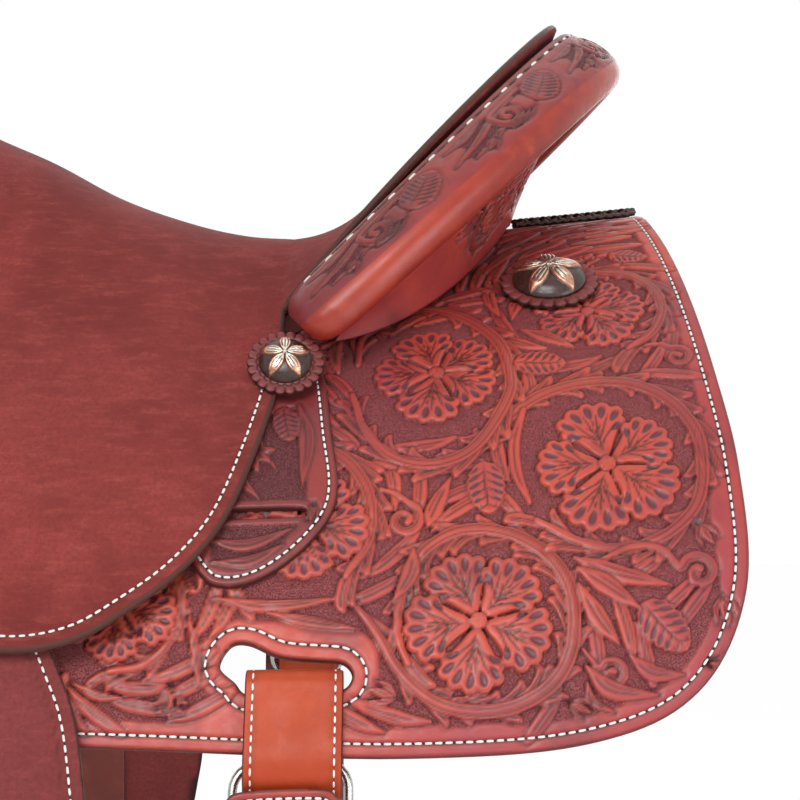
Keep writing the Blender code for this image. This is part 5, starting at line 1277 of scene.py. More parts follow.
FLOOR_Z = cad_box[0][2] - 0.012
floor_mesh = bpy.data.meshes.new("floor")
floor_mesh.from_pydata([(-6, -6, FLOOR_Z), (6, -6, FLOOR_Z), (6, 6, FLOOR_Z), (-6, 6, FLOOR_Z)], [],
                       [(0, 1, 2, 3)])
floor = bpy.data.objects.new("floor", floor_mesh)
bpy.context.scene.collection.objects.link(floor)
FLOOR = plain("studio_floor", (0.93, 0.93, 0.93), 0.7, vary=0.01)
floor_mesh.materials.append(FLOOR)
seen = FLOOR.node_tree.nodes.new("ShaderNodeLightPath")
glow = FLOOR.node_tree.nodes.new("ShaderNodeEmission")
share = FLOOR.node_tree.nodes.new("ShaderNodeMath")
share.operation = "MULTIPLY"
share.inputs[1].default_value = 0.93
glow.inputs["Strength"].default_value = 1.03
both = FLOOR.node_tree.nodes.new("ShaderNodeMixShader")
FLOOR.node_tree.links.new(seen.outputs["Is Camera Ray"], share.inputs[0])
FLOOR.node_tree.links.new(share.outputs[0], both.inputs[0])
FLOOR.node_tree.links.new(FLOOR.node_tree.nodes["Principled BSDF"].outputs[0], both.inputs[1])
FLOOR.node_tree.links.new(glow.outputs[0], both.inputs[2])
FLOOR.node_tree.links.new(both.outputs[0], FLOOR.node_tree.nodes["Material Output"].inputs["Surface"])


# Skirts

for side_name, side in SIDES.items():
    near = side < 0
    carving = Carving(-325, -5, 330, 390, 0.5 if near else 0.8)
    HUBS.clear()
    carve_front(carving)
    carve_rear(carving)
    field = [inset(SKIRT_LOOP, 12.5), inset(SLOT_LOOP, -11.5)]
    open_leaves(carving, field, HUBS)
    carving.fill_ground(field)
    # A smooth border between the carving and the edge
    us = steps(-319.5, 324, (-50, 2.2), (128, 1.3), 0.85) if near else steps(-319.5, 324, 1.7)
    vs = steps(0, 382, (60, 1.2), 0.85) if near else steps(0, 382, 1.7)
    groove(carving, SKIRT_STITCH)
    groove(carving, ringed(SLOT_STITCH))
    chart = back_chart(side)
    skirt = plate(f"carved_skirt_{side_name}", [SKIRT_LOOP, SLOT_LOOP], chart, 0.0, SKIRT_TOP, CARVED,
                  "saddle",
                  us, vs, carving)
    dress(skirt, f"skirt_{side_name}")
    stitches(f"skirt_stitch_{side_name}", SKIRT_STITCH, chart, "saddle", SKIRT_TOP - THREAD_SUNK)
    stitches(f"slot_stitch_{side_name}", ringed(SLOT_STITCH), chart, "saddle", SKIRT_TOP - THREAD_SUNK,
             pitch=5.0, long=3.6)


# Seat


def through(points, at):
    """A smooth function through points."""
    p = np.asarray(points, float)
    slope = np.empty(len(p))
    slope[1:-1] = (p[2:, 1] - p[:-2, 1]) / (p[2:, 0] - p[:-2, 0])
    slope[0] = (p[1, 1] - p[0, 1]) / (p[1, 0] - p[0, 0])
    slope[-1] = (p[-1, 1] - p[-2, 1]) / (p[-1, 0] - p[-2, 0])
    at = np.asarray(at, float)
    k = np.clip(np.searchsorted(p[:, 0], at, side="right") - 1, 0, len(p) - 2)
    wide = p[k + 1, 0] - p[k, 0]
    t = (at - p[k, 0]) / wide
    return ((2 * t ** 3 - 3 * t ** 2 + 1) * p[k, 1] + (t ** 3 - 2 * t ** 2 + t) * wide * slope[k]
            + (3 * t ** 2 - 2 * t ** 3) * p[k + 1, 1] + (t ** 3 - t ** 2) * wide * slope[k + 1])


def jockey_height(x):
    over, beside = FENDER_N + FENDER_THICK + 0.0044, SKIRT_THICK + 0.0036 + 2 * CLEAR
    return over + (beside - over) * smooth(x, 0.022, 0.090)


def seat_point(x, s, side):
    """Top of the seat leather: a crowned middle that runs out onto the flat of the jockey."""
    x, s = np.broadcast_arrays(np.asarray(x, float), np.asarray(s, float))
    high = jockey_height(x) + SEAT_THICK
    end = on_back(x, np.full_like(x, JOIN_S), high, 1)
    slope = slope_at(JOIN_S)
    middle = through(SEAT_PROFILE, x)
    t = np.minimum(s / JOIN_S, 1)
    reach = SEAT_CROWN * (end[..., 1] + middle - end[..., 2])
    a, b, c = 3 * t * t - 2 * t ** 3, t ** 3 - 2 * t * t + t, t ** 3 - t * t
    y = a * end[..., 1] + reach * (b + c * math.cos(slope))
    z = (1 - a) * middle + a * end[..., 2] - reach * c * math.sin(slope)
    crown = np.stack([x, side * y, z], -1)
    return np.where((s >= JOIN_S)[..., None], on_back(x, s, high, side), crown)


def seat_chart(side):
    """The seat's surface as a chart."""
    def chart(u, v, n):
        x, s = np.asarray(u, float) * MM, np.asarray(v, float) * MM
        step = 0.001
        along = seat_point(x + step, s, side) - seat_point(x - step, s, side)
        down = seat_point(x, s + step, side) - seat_point(x, s - step, side)
        normal = unit(np.cross(along, down)) * -side * -1
        normal = normal * np.sign(normal[..., 2:3])
        return seat_point(x, s, side) + normal * (np.asarray(n, float) * MM)[..., None]
    return chart


def rim(angle):
    """Points of the cantle's rim at angles from the top centre, with outward and up axes."""
    angle = np.asarray(angle, float)
    drop, si, co = 1 - np.cos(angle), np.sin(angle), np.cos(angle)
    spot = np.stack([RIM_TOP[0] - RIM_RUN * drop, RIM_HALF_WIDTH * si, RIM_TOP[1] - RIM_RISE * drop], -1)
    along = unit(np.stack([-RIM_RUN * si, RIM_HALF_WIDTH * co, -RIM_RISE * si], -1))
    flat = np.stack([RIM_HALF_WIDTH * co, RIM_RUN * si, 0 * si], -1)
    outward = unit(flat - along * (flat * along).sum(-1, keepdims=True))
    return spot, outward, unit(np.cross(outward, along))


def border_pairs(quads, count):
    pairs = np.vstack([quads[:, [0, 1]], quads[:, [1, 2]], quads[:, [2, 3]], quads[:, [3, 0]]])
    pairs = pairs[pairs[:, 0] != pairs[:, 1]]
    key, back = pairs[:, 0] * count + pairs[:, 1], pairs[:, 1] * count + pairs[:, 0]
    return pairs[~np.isin(key, back)]


def sheet_normals(verts, quads):
    """Normals at the points of a sheet."""
    p = verts[quads]
    face = np.cross(p[:, 2] - p[:, 0], p[:, 3] - p[:, 1])
    made = np.zeros_like(verts)
    for k in range(4):
        np.add.at(made, quads[:, k], face)
    return unit(made)


def skin(name, verts, quads, depth, material, body, fields, bulge=0.35, tris=()):
    """An open sheet given its thickness below, with a rounded edge all round."""
    tris = np.asarray(tris, int).reshape(-1, 3)
    sheet = np.vstack([quads, tris[:, [0, 1, 2, 2]]])
    n = sheet_normals(verts, sheet)
    count = len(verts)
    pairs = border_pairs(sheet, count)
    ids = np.unique(pairs)
    place = np.full(count, -1)
    place[ids] = np.arange(len(ids))
    out = np.zeros((len(ids), 3))
    for k in (0, 1):
        e = verts[pairs[:, 1]] - verts[pairs[:, 0]]
        np.add.at(out, place[pairs[:, k]], unit(np.cross(e, n[pairs[:, k]])))
    out = unit(out)
    rings, parts = [ids], [verts]
    base = count
    for down, wide in ((0.10, 0.20), (0.30, 0.33), (0.55, 0.35), (0.80, 0.25)):
        parts.append(verts[ids] - n[ids] * depth * down + out * depth * wide * bulge / 0.35)
        rings.append(base + np.arange(len(ids)))
        base += len(ids)
    under = base + np.arange(count)
    parts.append(verts - n * depth)
    rings.append(under[ids])
    walls = []
    a, b = place[pairs[:, 0]], place[pairs[:, 1]]
    for r, q in zip(rings, rings[1:]):
        walls.append(np.stack([r[b], r[a], q[a], q[b]], 1))
    rim_fields = np.tile([0, 0, 0.5, 1], (4 * len(ids), 1))
    made = np.vstack([fields, rim_fields, fields * (0, 0, 1, 0)])
    return make_mesh(name, np.vstack(parts), np.vstack([quads, *walls, under[quads[:, ::-1]]]),
                     np.vstack([tris, under[tris[:, ::-1]]]), material, body, made, 60)


def grid_quads(rows, columns, first=0):
    """The four-sided faces of a grid of points."""
    index = first + np.arange(rows * columns).reshape(rows, columns)
    return np.stack([index[:-1, :-1], index[1:, :-1], index[1:, 1:], index[:-1, 1:]], -1).reshape(-1, 4)


def seat_half(side, pitch=0.0030):
    """The seat's top on one side: the crowned part with its jockey, then the dish, in one grid."""
    rows = curve(np.column_stack([SEAT_ROWS, JOCKEY_EDGE]), 8)
    rows = even(rows, pitch)
    columns = int(0.30 / pitch)
    share = np.linspace(0, 1, columns)
    cut = int(round(DISH_SHARE * (columns - 1)))
    share = np.concatenate([np.linspace(0, DISH_SHARE, cut + 1),
                            np.linspace(DISH_SHARE, 1, columns - cut)[1:]])
    x = rows[:, :1] + (rows[:, 1:2] - rows[:, :1]) * share
    s = rows[:, 2:3] * share
    front = seat_point(x, s, 1)
    last = front[-1, :cut + 1]
    end = last[-1]
    angle = np.radians(90) * (1 - np.linspace(0, 1, 60)[2:] ** 0.8)
    spot, _, up = rim(angle)
    top = spot + up * 0.0045
    fade = np.sin(angle) ** 26
    way = np.abs(last[:, 1] / end[1])
    edge_x = top[:, 0] * (1 - fade) + end[0] * fade
    edge_y = top[:, 1] * (1 - fade) + abs(end[1]) * fade
    lift = (top[:, 2] - end[2]) * (1 - fade)
    dish = np.stack([SEAT_CENTRE + (edge_x[:, None] - SEAT_CENTRE) * way, edge_y[:, None] * way,
                     last[None, :, 2] + lift[:, None] * way ** 3], -1)
    verts = np.vstack([front.reshape(-1, 3), dish.reshape(-1, 3)]) * (1, side, 1)
    quads = [grid_quads(len(rows), columns)]
    first = len(rows) * columns
    quads.append(grid_quads(len(dish), cut + 1, first))
    a = (len(rows) - 1) * columns + np.arange(cut + 1)
    b = first + np.arange(cut + 1)
    quads.append(np.stack([a[:-1], b[:-1], b[1:], a[1:]], 1))
    quads = np.vstack(quads)
    chart = np.full((len(verts), 2), 1e6)
    chart[:first] = np.stack([x, s], -1).reshape(-1, 2) * 1000
    return verts, quads if side > 0 else quads[:, ::-1], chart


def weld(verts, quads, fields, near=2e-6):
    """Joins places that coincide, and drops the faces that close up."""
    key = np.round(verts / near).astype(np.int64)
    _, first, which = np.unique(key, axis=0, return_index=True, return_inverse=True)
    quads = which.reshape(-1)[quads]
    keep = np.array([len(set(q)) == 4 for q in quads])
    trio = quads[~keep]
    trio = [list(dict.fromkeys(q)) for q in trio]
    trio = [t for t in trio if len(t) == 3]
    return verts[first], quads[keep], [f[first] for f in fields], np.array(trio, int).reshape(-1, 3)


def make_seat():
    """The seat with its jockeys, in one sheet of leather and suede."""
    parts = [seat_half(side) for side in (-1, 1)]
    verts = np.vstack([p[0] for p in parts])
    verts[np.abs(verts[:, 1]) < 1e-7, 1] = 0
    quads = np.vstack([parts[0][1], parts[1][1] + len(parts[0][0])])
    chart = np.vstack([p[2] for p in parts])
    verts, quads, (chart,), trio = weld(verts, quads, [chart])
    edge_line = curve(np.array(JOCKEY_EDGE) * 1000, 8)
    e = np.gradient(edge_line, axis=0)
    inward = np.stack([-e[:, 1], e[:, 0]], 1) / np.hypot(*e.T)[:, None]
    inward *= np.sign(inward @ (np.array([-20, 100]) - edge_line.mean(0)))[:, None]
    stitch = even(edge_line + inward * 5.6, 2.0)
    d, _, _ = stroke_field(chart[:, 0], chart[:, 1], stitch, np.full(len(stitch), 1.0))
    channel = smooth(d, -0.9, 0.6)
    normal = sheet_normals(verts, quads)
    if normal[:, 2].sum() < 0:
        quads, trio, normal = quads[:, ::-1], trio[:, ::-1], -normal
    pairs = border_pairs(np.vstack([quads, trio[:, [0, 1, 2, 2]]]), len(verts))
    rim_at = verts[np.unique(pairs)]
    away = np.full(len(verts), 1.0)
    for block in range(0, len(verts), 2000):
        d = verts[block:block + 2000, None] - rim_at[None]
        away[block:block + 2000] = np.sqrt((d ** 2).sum(-1)).min(1)
    # The stitch channel is pressed in and darkened: painted shade in it.
    verts = verts - normal * (0.00035 * channel)[:, None]
    fields = np.column_stack([0 * away, 0.35 * channel, 0 * away + 0.5, bump(away, 0.0016)])
    seat = skin("suede_seat", verts, quads, SEAT_THICK, SUEDE, "saddle", fields, tris=trio)
    dress(seat, "seat_leather")
    for side_name, side in SIDES.items():
        stitches(f"seat_stitch_{side_name}", stitch, seat_chart(side), "saddle", -0.25, pitch=4.4, long=3.1)


make_seat()


# Lofted pieces


def loft(name, rings, material, body, closed=False, fields=None, sharp=50):
    """A closed tube through rings of as many points each."""
    rings = np.asarray(rings, float)
    m, k, _ = rings.shape
    index = np.arange(m * k).reshape(m, k)
    beside = np.roll(index, -1, 1)
    if closed:
        a, b, an, bn = index, np.roll(index, -1, 0), beside, np.roll(beside, -1, 0)
    else:
        a, b, an, bn = index[:-1], index[1:], beside[:-1], beside[1:]
    quads = np.stack([a, an, bn, b], -1).reshape(-1, 4)
    verts, tris = rings.reshape(-1, 3), []
    if not closed:
        verts = np.vstack([verts, rings[0].mean(0), rings[-1].mean(0)])
        tris = ([(m * k, beside[0, j], index[0, j]) for j in range(k)]
                + [(m * k + 1, index[-1, j], beside[-1, j]) for j in range(k)])
        if fields is not None:
            fields = np.vstack([fields, fields[0], fields[-1]])
    if fields is None:
        fields = np.tile([0, 0, 0.5, 0], (len(verts), 1))
    return make_mesh(name, verts, quads, tris, material, body, fields, sharp)


def section(width, thick, round_by=0.9, crown=0.0, count=5):
    """A strap's section as (across, up) points in millimetres, with its rounded edges."""
    a, b = width / 2 - round_by, thick / 2 - round_by
    b = max(b, 0.02)
    made = []
    for start, (p, q) in zip((0, 90, 180, 270), ((1, 1), (-1, 1), (-1, -1), (1, -1))):
        for k in range(count):
            angle = math.radians(start + 90 * k / (count - 1))
            made.append((p * a + round_by * math.cos(angle), q * b + round_by * math.sin(angle)))
        if start in (0, 180):
            inner = np.linspace(1, -1, 15)[1:-1] * (1 if start == 0 else -1)
            made += [(a * t, q * (b + round_by + crown * (1 - t * t))) for t in inner]
    return np.array(made)


def strap(name, centres, width, thick, material, body, across=(1, 0, 0), crown=0.0, stitch=None, round_by=0.9,
          pitch=4.6, closed=False, faces=(1,), holes=()):
    """A strap along centre points, in metres. Stitch is how far its rows lie from its edges, in mm."""
    centres = np.asarray(centres, float)
    along = np.gradient(centres, axis=0)
    if closed:
        along = np.roll(centres, -1, 0) - np.roll(centres, 1, 0)
    along = unit(along)
    wide = np.broadcast_to(np.asarray(across, float), centres.shape)
    wide = unit(wide - along * (wide * along).sum(1, keepdims=True))
    up = np.cross(along, wide)
    width = np.broadcast_to(width, len(centres))
    base = section(1000 * width.max(), 1000 * thick, round_by, crown)
    rings, edge = [], []
    for c, w, u, size in zip(centres, wide, up, width / width.max()):
        rings.append(c + np.outer(base[:, 0] * MM * size, w) + np.outer(base[:, 1] * MM, u))
    half = 1000 * width.max() / 2
    edge = smooth(np.abs(base[:, 0]), half - round_by * 0.9, half - round_by * 0.2)
    fields = np.zeros((len(centres), len(base), 4))
    fields[..., 2] = 0.5
    fields[..., 3] = edge
    if stitch:
        fields[..., 1] = 0.35 * bump(np.abs(base[:, 0]) - (half - stitch), 0.9)
    made = loft(name, rings, material, body, closed, fields.reshape(-1, 4))
    if stitch:
        run = run_along(centres) * 1000

        def chart_on(face):
            def chart(u, v, n):
                at = [np.interp(u, run, q) for q in (*centres.T, *wide.T, *up.T)]
                c, w, t = (np.stack(at[k:k + 3], -1) for k in (0, 3, 6))
                v = np.asarray(v) * np.interp(u, run, width) / width.max()
                lift = (face * (1000 * thick / 2 + n)) * MM
                return c + w * (np.asarray(v) * MM)[..., None] + t * lift[..., None]
            return chart

        for face in faces:
            for sign in (-1, 1):
                line = np.array([(q, sign * (half - stitch)) for q in np.linspace(3, run[-1] - 3, 60)])
                stitches(f"{name}_stitch_{'top' if face > 0 else 'low'}_{'a' if sign < 0 else 'b'}", line,
                         chart_on(face), body, -0.10, pitch=pitch, long=pitch * 0.72)
    return made


def tube(name, points, radius, material, body, closed=False, sides=14):
    """A round wire along points, in metres."""
    points = np.asarray(points, float)
    if closed:
        along = unit(np.roll(points, -1, 0) - np.roll(points, 1, 0))
    else:
        along = unit(np.gradient(points, axis=0))
    up = np.array([0.0, 0.0, 1.0])
    if abs(along[0][2]) > 0.9:
        up = np.array([1.0, 0.0, 0.0])
    rings = []
    for c, e in zip(points, along):
        up = unit(up - e * (up @ e))
        w = np.cross(e, up)
        rings.append([c + radius * (math.cos(a) * up + math.sin(a) * w)
                      for a in np.linspace(0, 2 * math.pi, sides, endpoint=False)])
    return loft(name, rings, material, body, closed)


# Cheyenne roll


def roll_section():
    """The roll's section (outward, up) in metres, with each point's distance across its top in mm."""
    reach, depth, inner = ROLL_REACH, ROLL_DEPTH, SEAT_THICK + 2 * CLEAR
    top = [(inner, -0.0040), (inner + 0.0015, -0.0005), (0.30 * reach, -0.0004), (0.62 * reach, -0.0052),
           (0.86 * reach, -0.0122), (0.98 * reach, -0.0190), (reach, -0.0255), (0.94 * reach, -0.0320),
           (0.83 * reach, -0.0345), (0.71 * reach, -0.0330)]
    below = [(0.71 * reach, -0.0330), (0.71 * reach, -depth), (inner + 0.003, -depth),
             (inner, -depth + 0.006),
             (inner, -0.0040)]
    line = even(curve(top, 8), 0.0008)
    low = np.vstack([even(np.array(below[k:k + 2]), 0.004)[:-1] for k in range(4)])[1:]
    return np.vstack([line, low]), len(line)


def rim_run(last, pitch):
    """Angles along the rim at even distances, and those distances in millimetres."""
    angle = np.linspace(-last, last, 2000)
    spot = rim(np.radians(angle))[0]
    run = run_along(spot) * 1000
    at = np.linspace(0, run[-1], int(run[-1] / pitch))
    return np.interp(at, run, angle), at - run[-1] / 2


def carve_band(c, length, wide):
    """A running vine for a narrow band: round leaves and scrolls in turn, with fronds between."""
    count = int(length / 92)
    middle = wide / 2 + 4.5
    for k in range(count):
        x = -length / 2 + length * (k + 0.5) / count
        way = 1 if x > 0 else -1
        at = lambda a, b: (x + way * 1.5 * a, middle + 1.25 * b)
        frond(c, [at(31, 5), at(16, 1), at(4, -4), at(-8, -5)], 2.6)
        frond(c, [at(28, -6), at(18, -5), at(8, -7)], 2.2)
        frond(c, [at(24, 8), at(12, 6), at(2, 3)], 2.0)
        scroll(c, at(1, 1.0), 9.6, math.radians(-60 if way > 0 else 240), 1.3, way, 2.4, tail=[at(-14, -7)])
        for n in range(4):
            frond(c, [at(-8 + 2 * n, 7 - n), at(-3 + 2 * n, 9 - n), at(3 + n, 8.5)], 1.3)
        rose_leaf(c, at(-19, 0), 28, 22, math.radians(24 * way), 9)
        bud(c, at(15, 7.5), 5.0, math.radians(90 - 70 * way))


def make_roll():
    """The cantle roll, its tooled band and its stitches."""
    base, count = roll_section()
    across = run_along(base[:count]) * 1000
    angles, run = rim_run(88.0, 0.9)
    ends = ((88.0, 1.0), (90.0, 0.92), (91.3, 0.78), (92.2, 0.55))
    extra = curve(ends, 5)[1:]
    step = 1000 * np.linalg.norm(rim(math.radians(90))[0] - rim(math.radians(88))[0]) / 2
    tail_run = run[-1] + (extra[:, 0] - 88.0) * step
    angles = np.concatenate([-extra[::-1, 0], angles, extra[:, 0]])
    sizes = np.concatenate([extra[::-1, 1], np.ones(len(run)), extra[:, 1]])
    run = np.concatenate([-tail_run[::-1], run, tail_run])
    spot, outward, up = rim(np.radians(angles))
    wide = ROLL_BAND
    carving = Carving(run[0] - 2, -1, run[-1] + 2, 60, 0.45)
    carve_band(carving, run[-1] - run[0] - 26, wide)
    u = np.linspace(run[0] + 9, run[-1] - 9, 60)
    carving.fill_ground([np.array([(run[0] + 9, 12.5), (run[-1] - 9, 12.5), (run[-1] - 9, wide - 3),
                                   (run[0] + 9, wide - 3)])], 4.0, 0.35)
    groove(carving, np.stack([u, 0 * u + ROLL_STITCH], 1), 0.9, 0.45)
    v = np.concatenate([across, np.full(len(base) - count, 59.0)])
    grid_u, grid_v = np.meshgrid(run, v, indexing="ij")
    rise, ground, line, tone = carving.sample(grid_u, grid_v)
    on_top = (grid_v < wide + 3)
    rise = np.where(on_top, rise, 0)
    e = np.gradient(base, axis=0)
    face = unit(np.stack([-e[:, 1], e[:, 0]], 1))
    middle = np.array([0.52 * ROLL_REACH, -0.0170])
    flat = middle + (base - middle)[None] * sizes[:, None, None] + face[None] * (rise * MM)[..., None]
    verts = spot[:, None] + outward[:, None] * flat[..., :1] + up[:, None] * flat[..., 1:]
    fields = np.stack([ground * on_top, line * on_top, np.where(on_top, tone, 0) / 2 + 0.5,
                       bump(grid_v, 0.7) * 0.5 + 0.40 * (1 - smooth(grid_v, 7.0, 8.6))], -1)
    # The carved band takes the darker copy: painted shade on the roll's top.
    roll = loft("cheyenne_roll", verts, [CARVED_SHADED, POLISHED], "saddle", False, fields.reshape(-1, 4), 70)
    dress(roll, "cantle_roll")
    # The band is carved, the rest is smooth
    k = len(base)
    at = np.arange(len(roll.data.polygons))
    column = at % k
    carved_columns = np.nonzero(across < wide + 0.8)[0].max()
    slots = np.where((at < (len(run) - 1) * k) & (column <= carved_columns), 0, 1)
    roll.data.polygons.foreach_set("material_index", slots.astype(np.int32))

    def chart(u, v, n):
        a = np.radians(np.interp(u, run, angles))
        p, o, t = rim(a)
        off = np.interp(v, across, base[:count, 0])
        high = np.interp(v, across, base[:count, 1])
        return p + o * off[..., None] + t * (high + np.asarray(n) * MM)[..., None]

    # A running stitch: every second thread is under the leather, where dark capsules stand for the shade in
    # its groove: painted shade.
    for name, start, finish in (("roll_stitch", 12.0, None), ("roll_groove_shade", 19.5, DARK)):
        u = np.linspace(run[0] + start, run[-1] - 31.5 + start, 200)
        stitches(name, np.stack([u, np.full(200, ROLL_STITCH)], 1), chart, "saddle", -0.20, pitch=15.0,
                 long=4.8,
                 radius=0.80, material=finish)


make_roll()


# Back of the cantle


def foot_of_cantle(angle, n, out=0.0):
    y = 0.128 * np.sin(angle) + out * np.sin(angle)
    x = 0.229 - 0.112 * (1 - np.cos(angle)) ** 0.85 + out * np.cos(angle)
    s = BACK_RADIUS * (np.arcsin(np.abs(y) / BACK_RADIUS + math.sin(RIDGE_SLOPE)) - RIDGE_SLOPE)
    z = on_back(x, s, 0 * x, 1)[..., 2] + (SKIRT_THICK + n) / np.cos(slope_at(s))
    return np.stack([x, y, z], -1)


def cantle_face(angle, share, out):
    """Back of the cantle, from under the roll (share 0) to its foot (share 1)."""
    angle, share = np.broadcast_arrays(np.asarray(angle, float), np.asarray(share, float))
    spot, outward, up = rim(angle)
    foot = foot_of_cantle(angle, 2 * CLEAR, out)
    flat = unit(outward * (1, 1, 0))
    top = spot + outward * (ROLL_REACH * 0.50) - up * 0.0282 + flat * out
    top[..., 2] = np.maximum(top[..., 2], foot[..., 2] + 0.004)
    hollow = np.sin(math.pi * share) * 0.006
    return top + (foot - top) * share[..., None] - flat * hollow[..., None]


def make_cantle_back():
    """The carved back of the cantle."""
    angles, run = rim_run(83.5, 0.95)
    a = np.radians(angles)
    low, high = 2 * CLEAR, 2 * CLEAR + 0.0032
    tall = np.linalg.norm(cantle_face(a, 0 * a + 1, high) - cantle_face(a, 0 * a, high), axis=1) * 1000
    most = tall.max()
    share = np.linspace(0, 1, int(most / 0.95))
    carving = Carving(run[0] - 2, -2, run[-1] + 2, most + 2, 0.5)
    for k, x in enumerate((-150, -98, -33, 33, 98, 150)):
        flip = -1 if x < 0 else 1
        y = np.interp(x, run, tall) * 0.52
        r = min(24.0, 0.40 * np.interp(x, run, tall))
        if abs(x) < 140:
            ring = [(x + flip * r * 1.32 * math.cos(q), y + r * 1.32 * math.sin(q))
                    for q in np.radians(np.linspace(-120, 200, 12))]
            wreath(carving, ring, (x, y), r, 0.4 * k, half=2.4, side=flip, count=11, size=11, outer=12,
                   reach=15)
        else:
            spray(carving, (x - flip * 14, y), 0 if flip > 0 else math.pi, 24, 5, 0.34)
    for x in (-66, 0, 66):
        rose_leaf(carving, (x, most * 0.30), 24, 14, math.radians(90))
        spray(carving, (x, most * 0.60), math.radians(90), 20, 5, 0.42)
    for x in (-124, 124):
        spray(carving, (x, most * 0.30), math.radians(80), 20, 5, 0.45)
    left, right = run[0] + 8, run[-1] - 8
    carving.fill_ground([np.array([(left, 3), (right, 3), (right, most - 4), (left, most - 4)])])
    grid_a, grid_s = np.meshgrid(a, share, indexing="ij")
    grid_u, grid_v = np.meshgrid(run, share * most, indexing="ij")
    rise, ground, line, tone = carving.sample(grid_u, grid_v)
    fade = smooth(grid_v, 0, 3) * smooth(most - grid_v, 0, 3)
    top = cantle_face(grid_a, grid_s, high)
    normal = unit(top - cantle_face(grid_a, grid_s, low))
    top = top + normal * (rise * fade * MM)[..., None]
    fields = np.stack([ground * fade, line * fade, tone / 2 + 0.5, bump(most - grid_v, 1.5)], -1)
    rows, columns = grid_a.shape
    quads = grid_quads(rows, columns)
    piece = skin("carved_cantle_back", top.reshape(-1, 3), quads[:, ::-1], 0.0030, CARVED, "saddle",
                 fields.reshape(-1, 4), 0.15)
    dress(piece, "cantle_back")


make_cantle_back()


# Under jockeys, front jockeys and safes


def bar_high(x, s):
    return SKIRT_THICK + CLEAR + 0.018 * (1 - 0.62 * smooth(s, 0.095, 0.165))


def front_jockey_low(u, v):
    over, flat = bar_high(u * MM, v * MM) + CLEAR, SKIRT_THICK + CLEAR
    return 1000 * (over + (flat - over) * smooth(v, 176, 218))


for side_name, side in SIDES.items():
    chart = back_chart(side)
    near = side < 0
    loop, slit = loop_of(UNDER_JOCKEY, 8), loop_of(SLIT, 6)
    carving = Carving(35, 150, 140, 310, 0.45)
    frond(carving, [(60, 186), (78, 206), (100, 240)], 4.6)
    frond(carving, [(110, 200), (114, 222), (112, 250)], 4.2)
    frond(carving, [(72, 214), (76, 236), (92, 256)], 4.0)
    frond(carving, [(66, 276), (86, 280), (108, 272)], 3.4)
    frond(carving, [(70, 288), (88, 288), (104, 280)], 3.0)
    spray(carving, (84, 222), math.radians(70), 18, 5)
    rose_leaf(carving, (104, 212), 22, 14, math.radians(80))
    scroll(carving, (62, 250), 7.0, 0.5, 1.3, 1, 2.0, tail=[(56, 226)])
    bud(carving, (117, 264), 5.0, math.radians(100))
    carving.fill_ground([inset(loop, 9.0), inset(slit, -4.0)])
    line = border_line(loop, 4.2, (126, 180), (50, 200))
    groove(carving, line)
    # The tab takes the darker copy of the carved leather: painted shade.
    tab = plate(f"under_jockey_tab_{side_name}", [loop, slit], chart, *TAB_FACES, CARVED_SHADED, "saddle",
                0.85 if near else 1.4, 0.85 if near else 1.4, carving)
    dress(tab, f"under_jockey_{side_name}")
    stitches(f"under_jockey_stitch_{side_name}", line, chart, "saddle", TAB_FACES[1] - THREAD_SUNK,
             pitch=4.3, long=3.1)

    loop = loop_of(FRONT_JOCKEY, 8)
    carving = Carving(-310, 40, -115, 300, 0.6)
    for x0, s0, turn, flip in ((-258, 210, 0.3, 1), (-175, 232, 1.2, -1), (-262, 110, 0.6, -1)):
        carve_wing(carving, x0, s0, turn, flip, 27.0)
    carving.fill_ground([inset(loop, 11.0)])
    line = border_line(loop, 5.2, (-290, 80), (-126, 195))
    groove(carving, line)
    piece = plate(f"front_jockey_carved_{side_name}", [loop], chart, front_jockey_low,
                  lambda u, v: front_jockey_low(u, v) + JOCKEY_THICK, CARVED, "saddle", 1.7, 1.7, carving)
    dress(piece, f"front_jockey_{side_name}")
    stitches(f"front_jockey_stitch_{side_name}", line, chart, "saddle",
             lambda u, v: front_jockey_low(u, v) + JOCKEY_THICK - THREAD_SUNK)


# Conchos and their rosettes


def normal_on(point, x, s, step=0.0005):
    """Unit normal of a surface of x and s, turned upwards."""
    along = point(x + step, s) - point(x - step, s)
    down = point(x, s + step) - point(x, s - step)
    made = unit(np.cross(along, down))
    return made * np.sign(made[2])


def frame_on(place, normal):
    """A flat chart at a place, across a normal."""
    along = unit(np.array([1.0, 0, 0]) - normal * normal[0])
    across = np.cross(normal, along)

    def chart(a, b, h):
        return (place + along * (np.asarray(a) * MM)[..., None] + across * (np.asarray(b) * MM)[..., None]
                + normal * (np.asarray(h) * MM)[..., None])
    return chart


def concho_metal():
    """Dark enamel dome with a bright flower: the bright share comes from the mesh."""
    m = Nodes("concho_metal")
    petal, line, copper, _ = m.carve()
    spots = m.noise(420, 4, 0.6)
    dark = m.mix(m.ramp(spots, 0.3, 0.7), (0.020, 0.009, 0.007), (0.050, 0.020, 0.015))
    silver = m.mix(m.ramp(spots, 0.3, 0.75), (0.50, 0.42, 0.33), (0.80, 0.76, 0.68))
    warm = m.mix(m.ramp(spots, 0.3, 0.75), (0.42, 0.20, 0.13), (0.70, 0.42, 0.30))
    metal = m.mix(copper, warm, silver)
    colour = m.mix(petal, dark, metal)
    colour = m.mix(m.math("MULTIPLY", line, 0.9), colour, (0.012, 0.007, 0.006))
    m.link(petal, m.shader.inputs["Metallic"])
    rough = m.ramp(m.noise(300, 3), 0.3, 0.7, 0.24, 0.40)
    return m.finish(colour, rough, m.relief(m.noise(900, 3), 0.00005, 0.6))


CONCHO = concho_metal()
ROSETTE = smooth_leather("rosette_leather", (0.20, 0.034, 0.032), (0.115, 0.022, 0.022), (0.32, 0.060, 0.048),
                         0.46, coat=0.0)


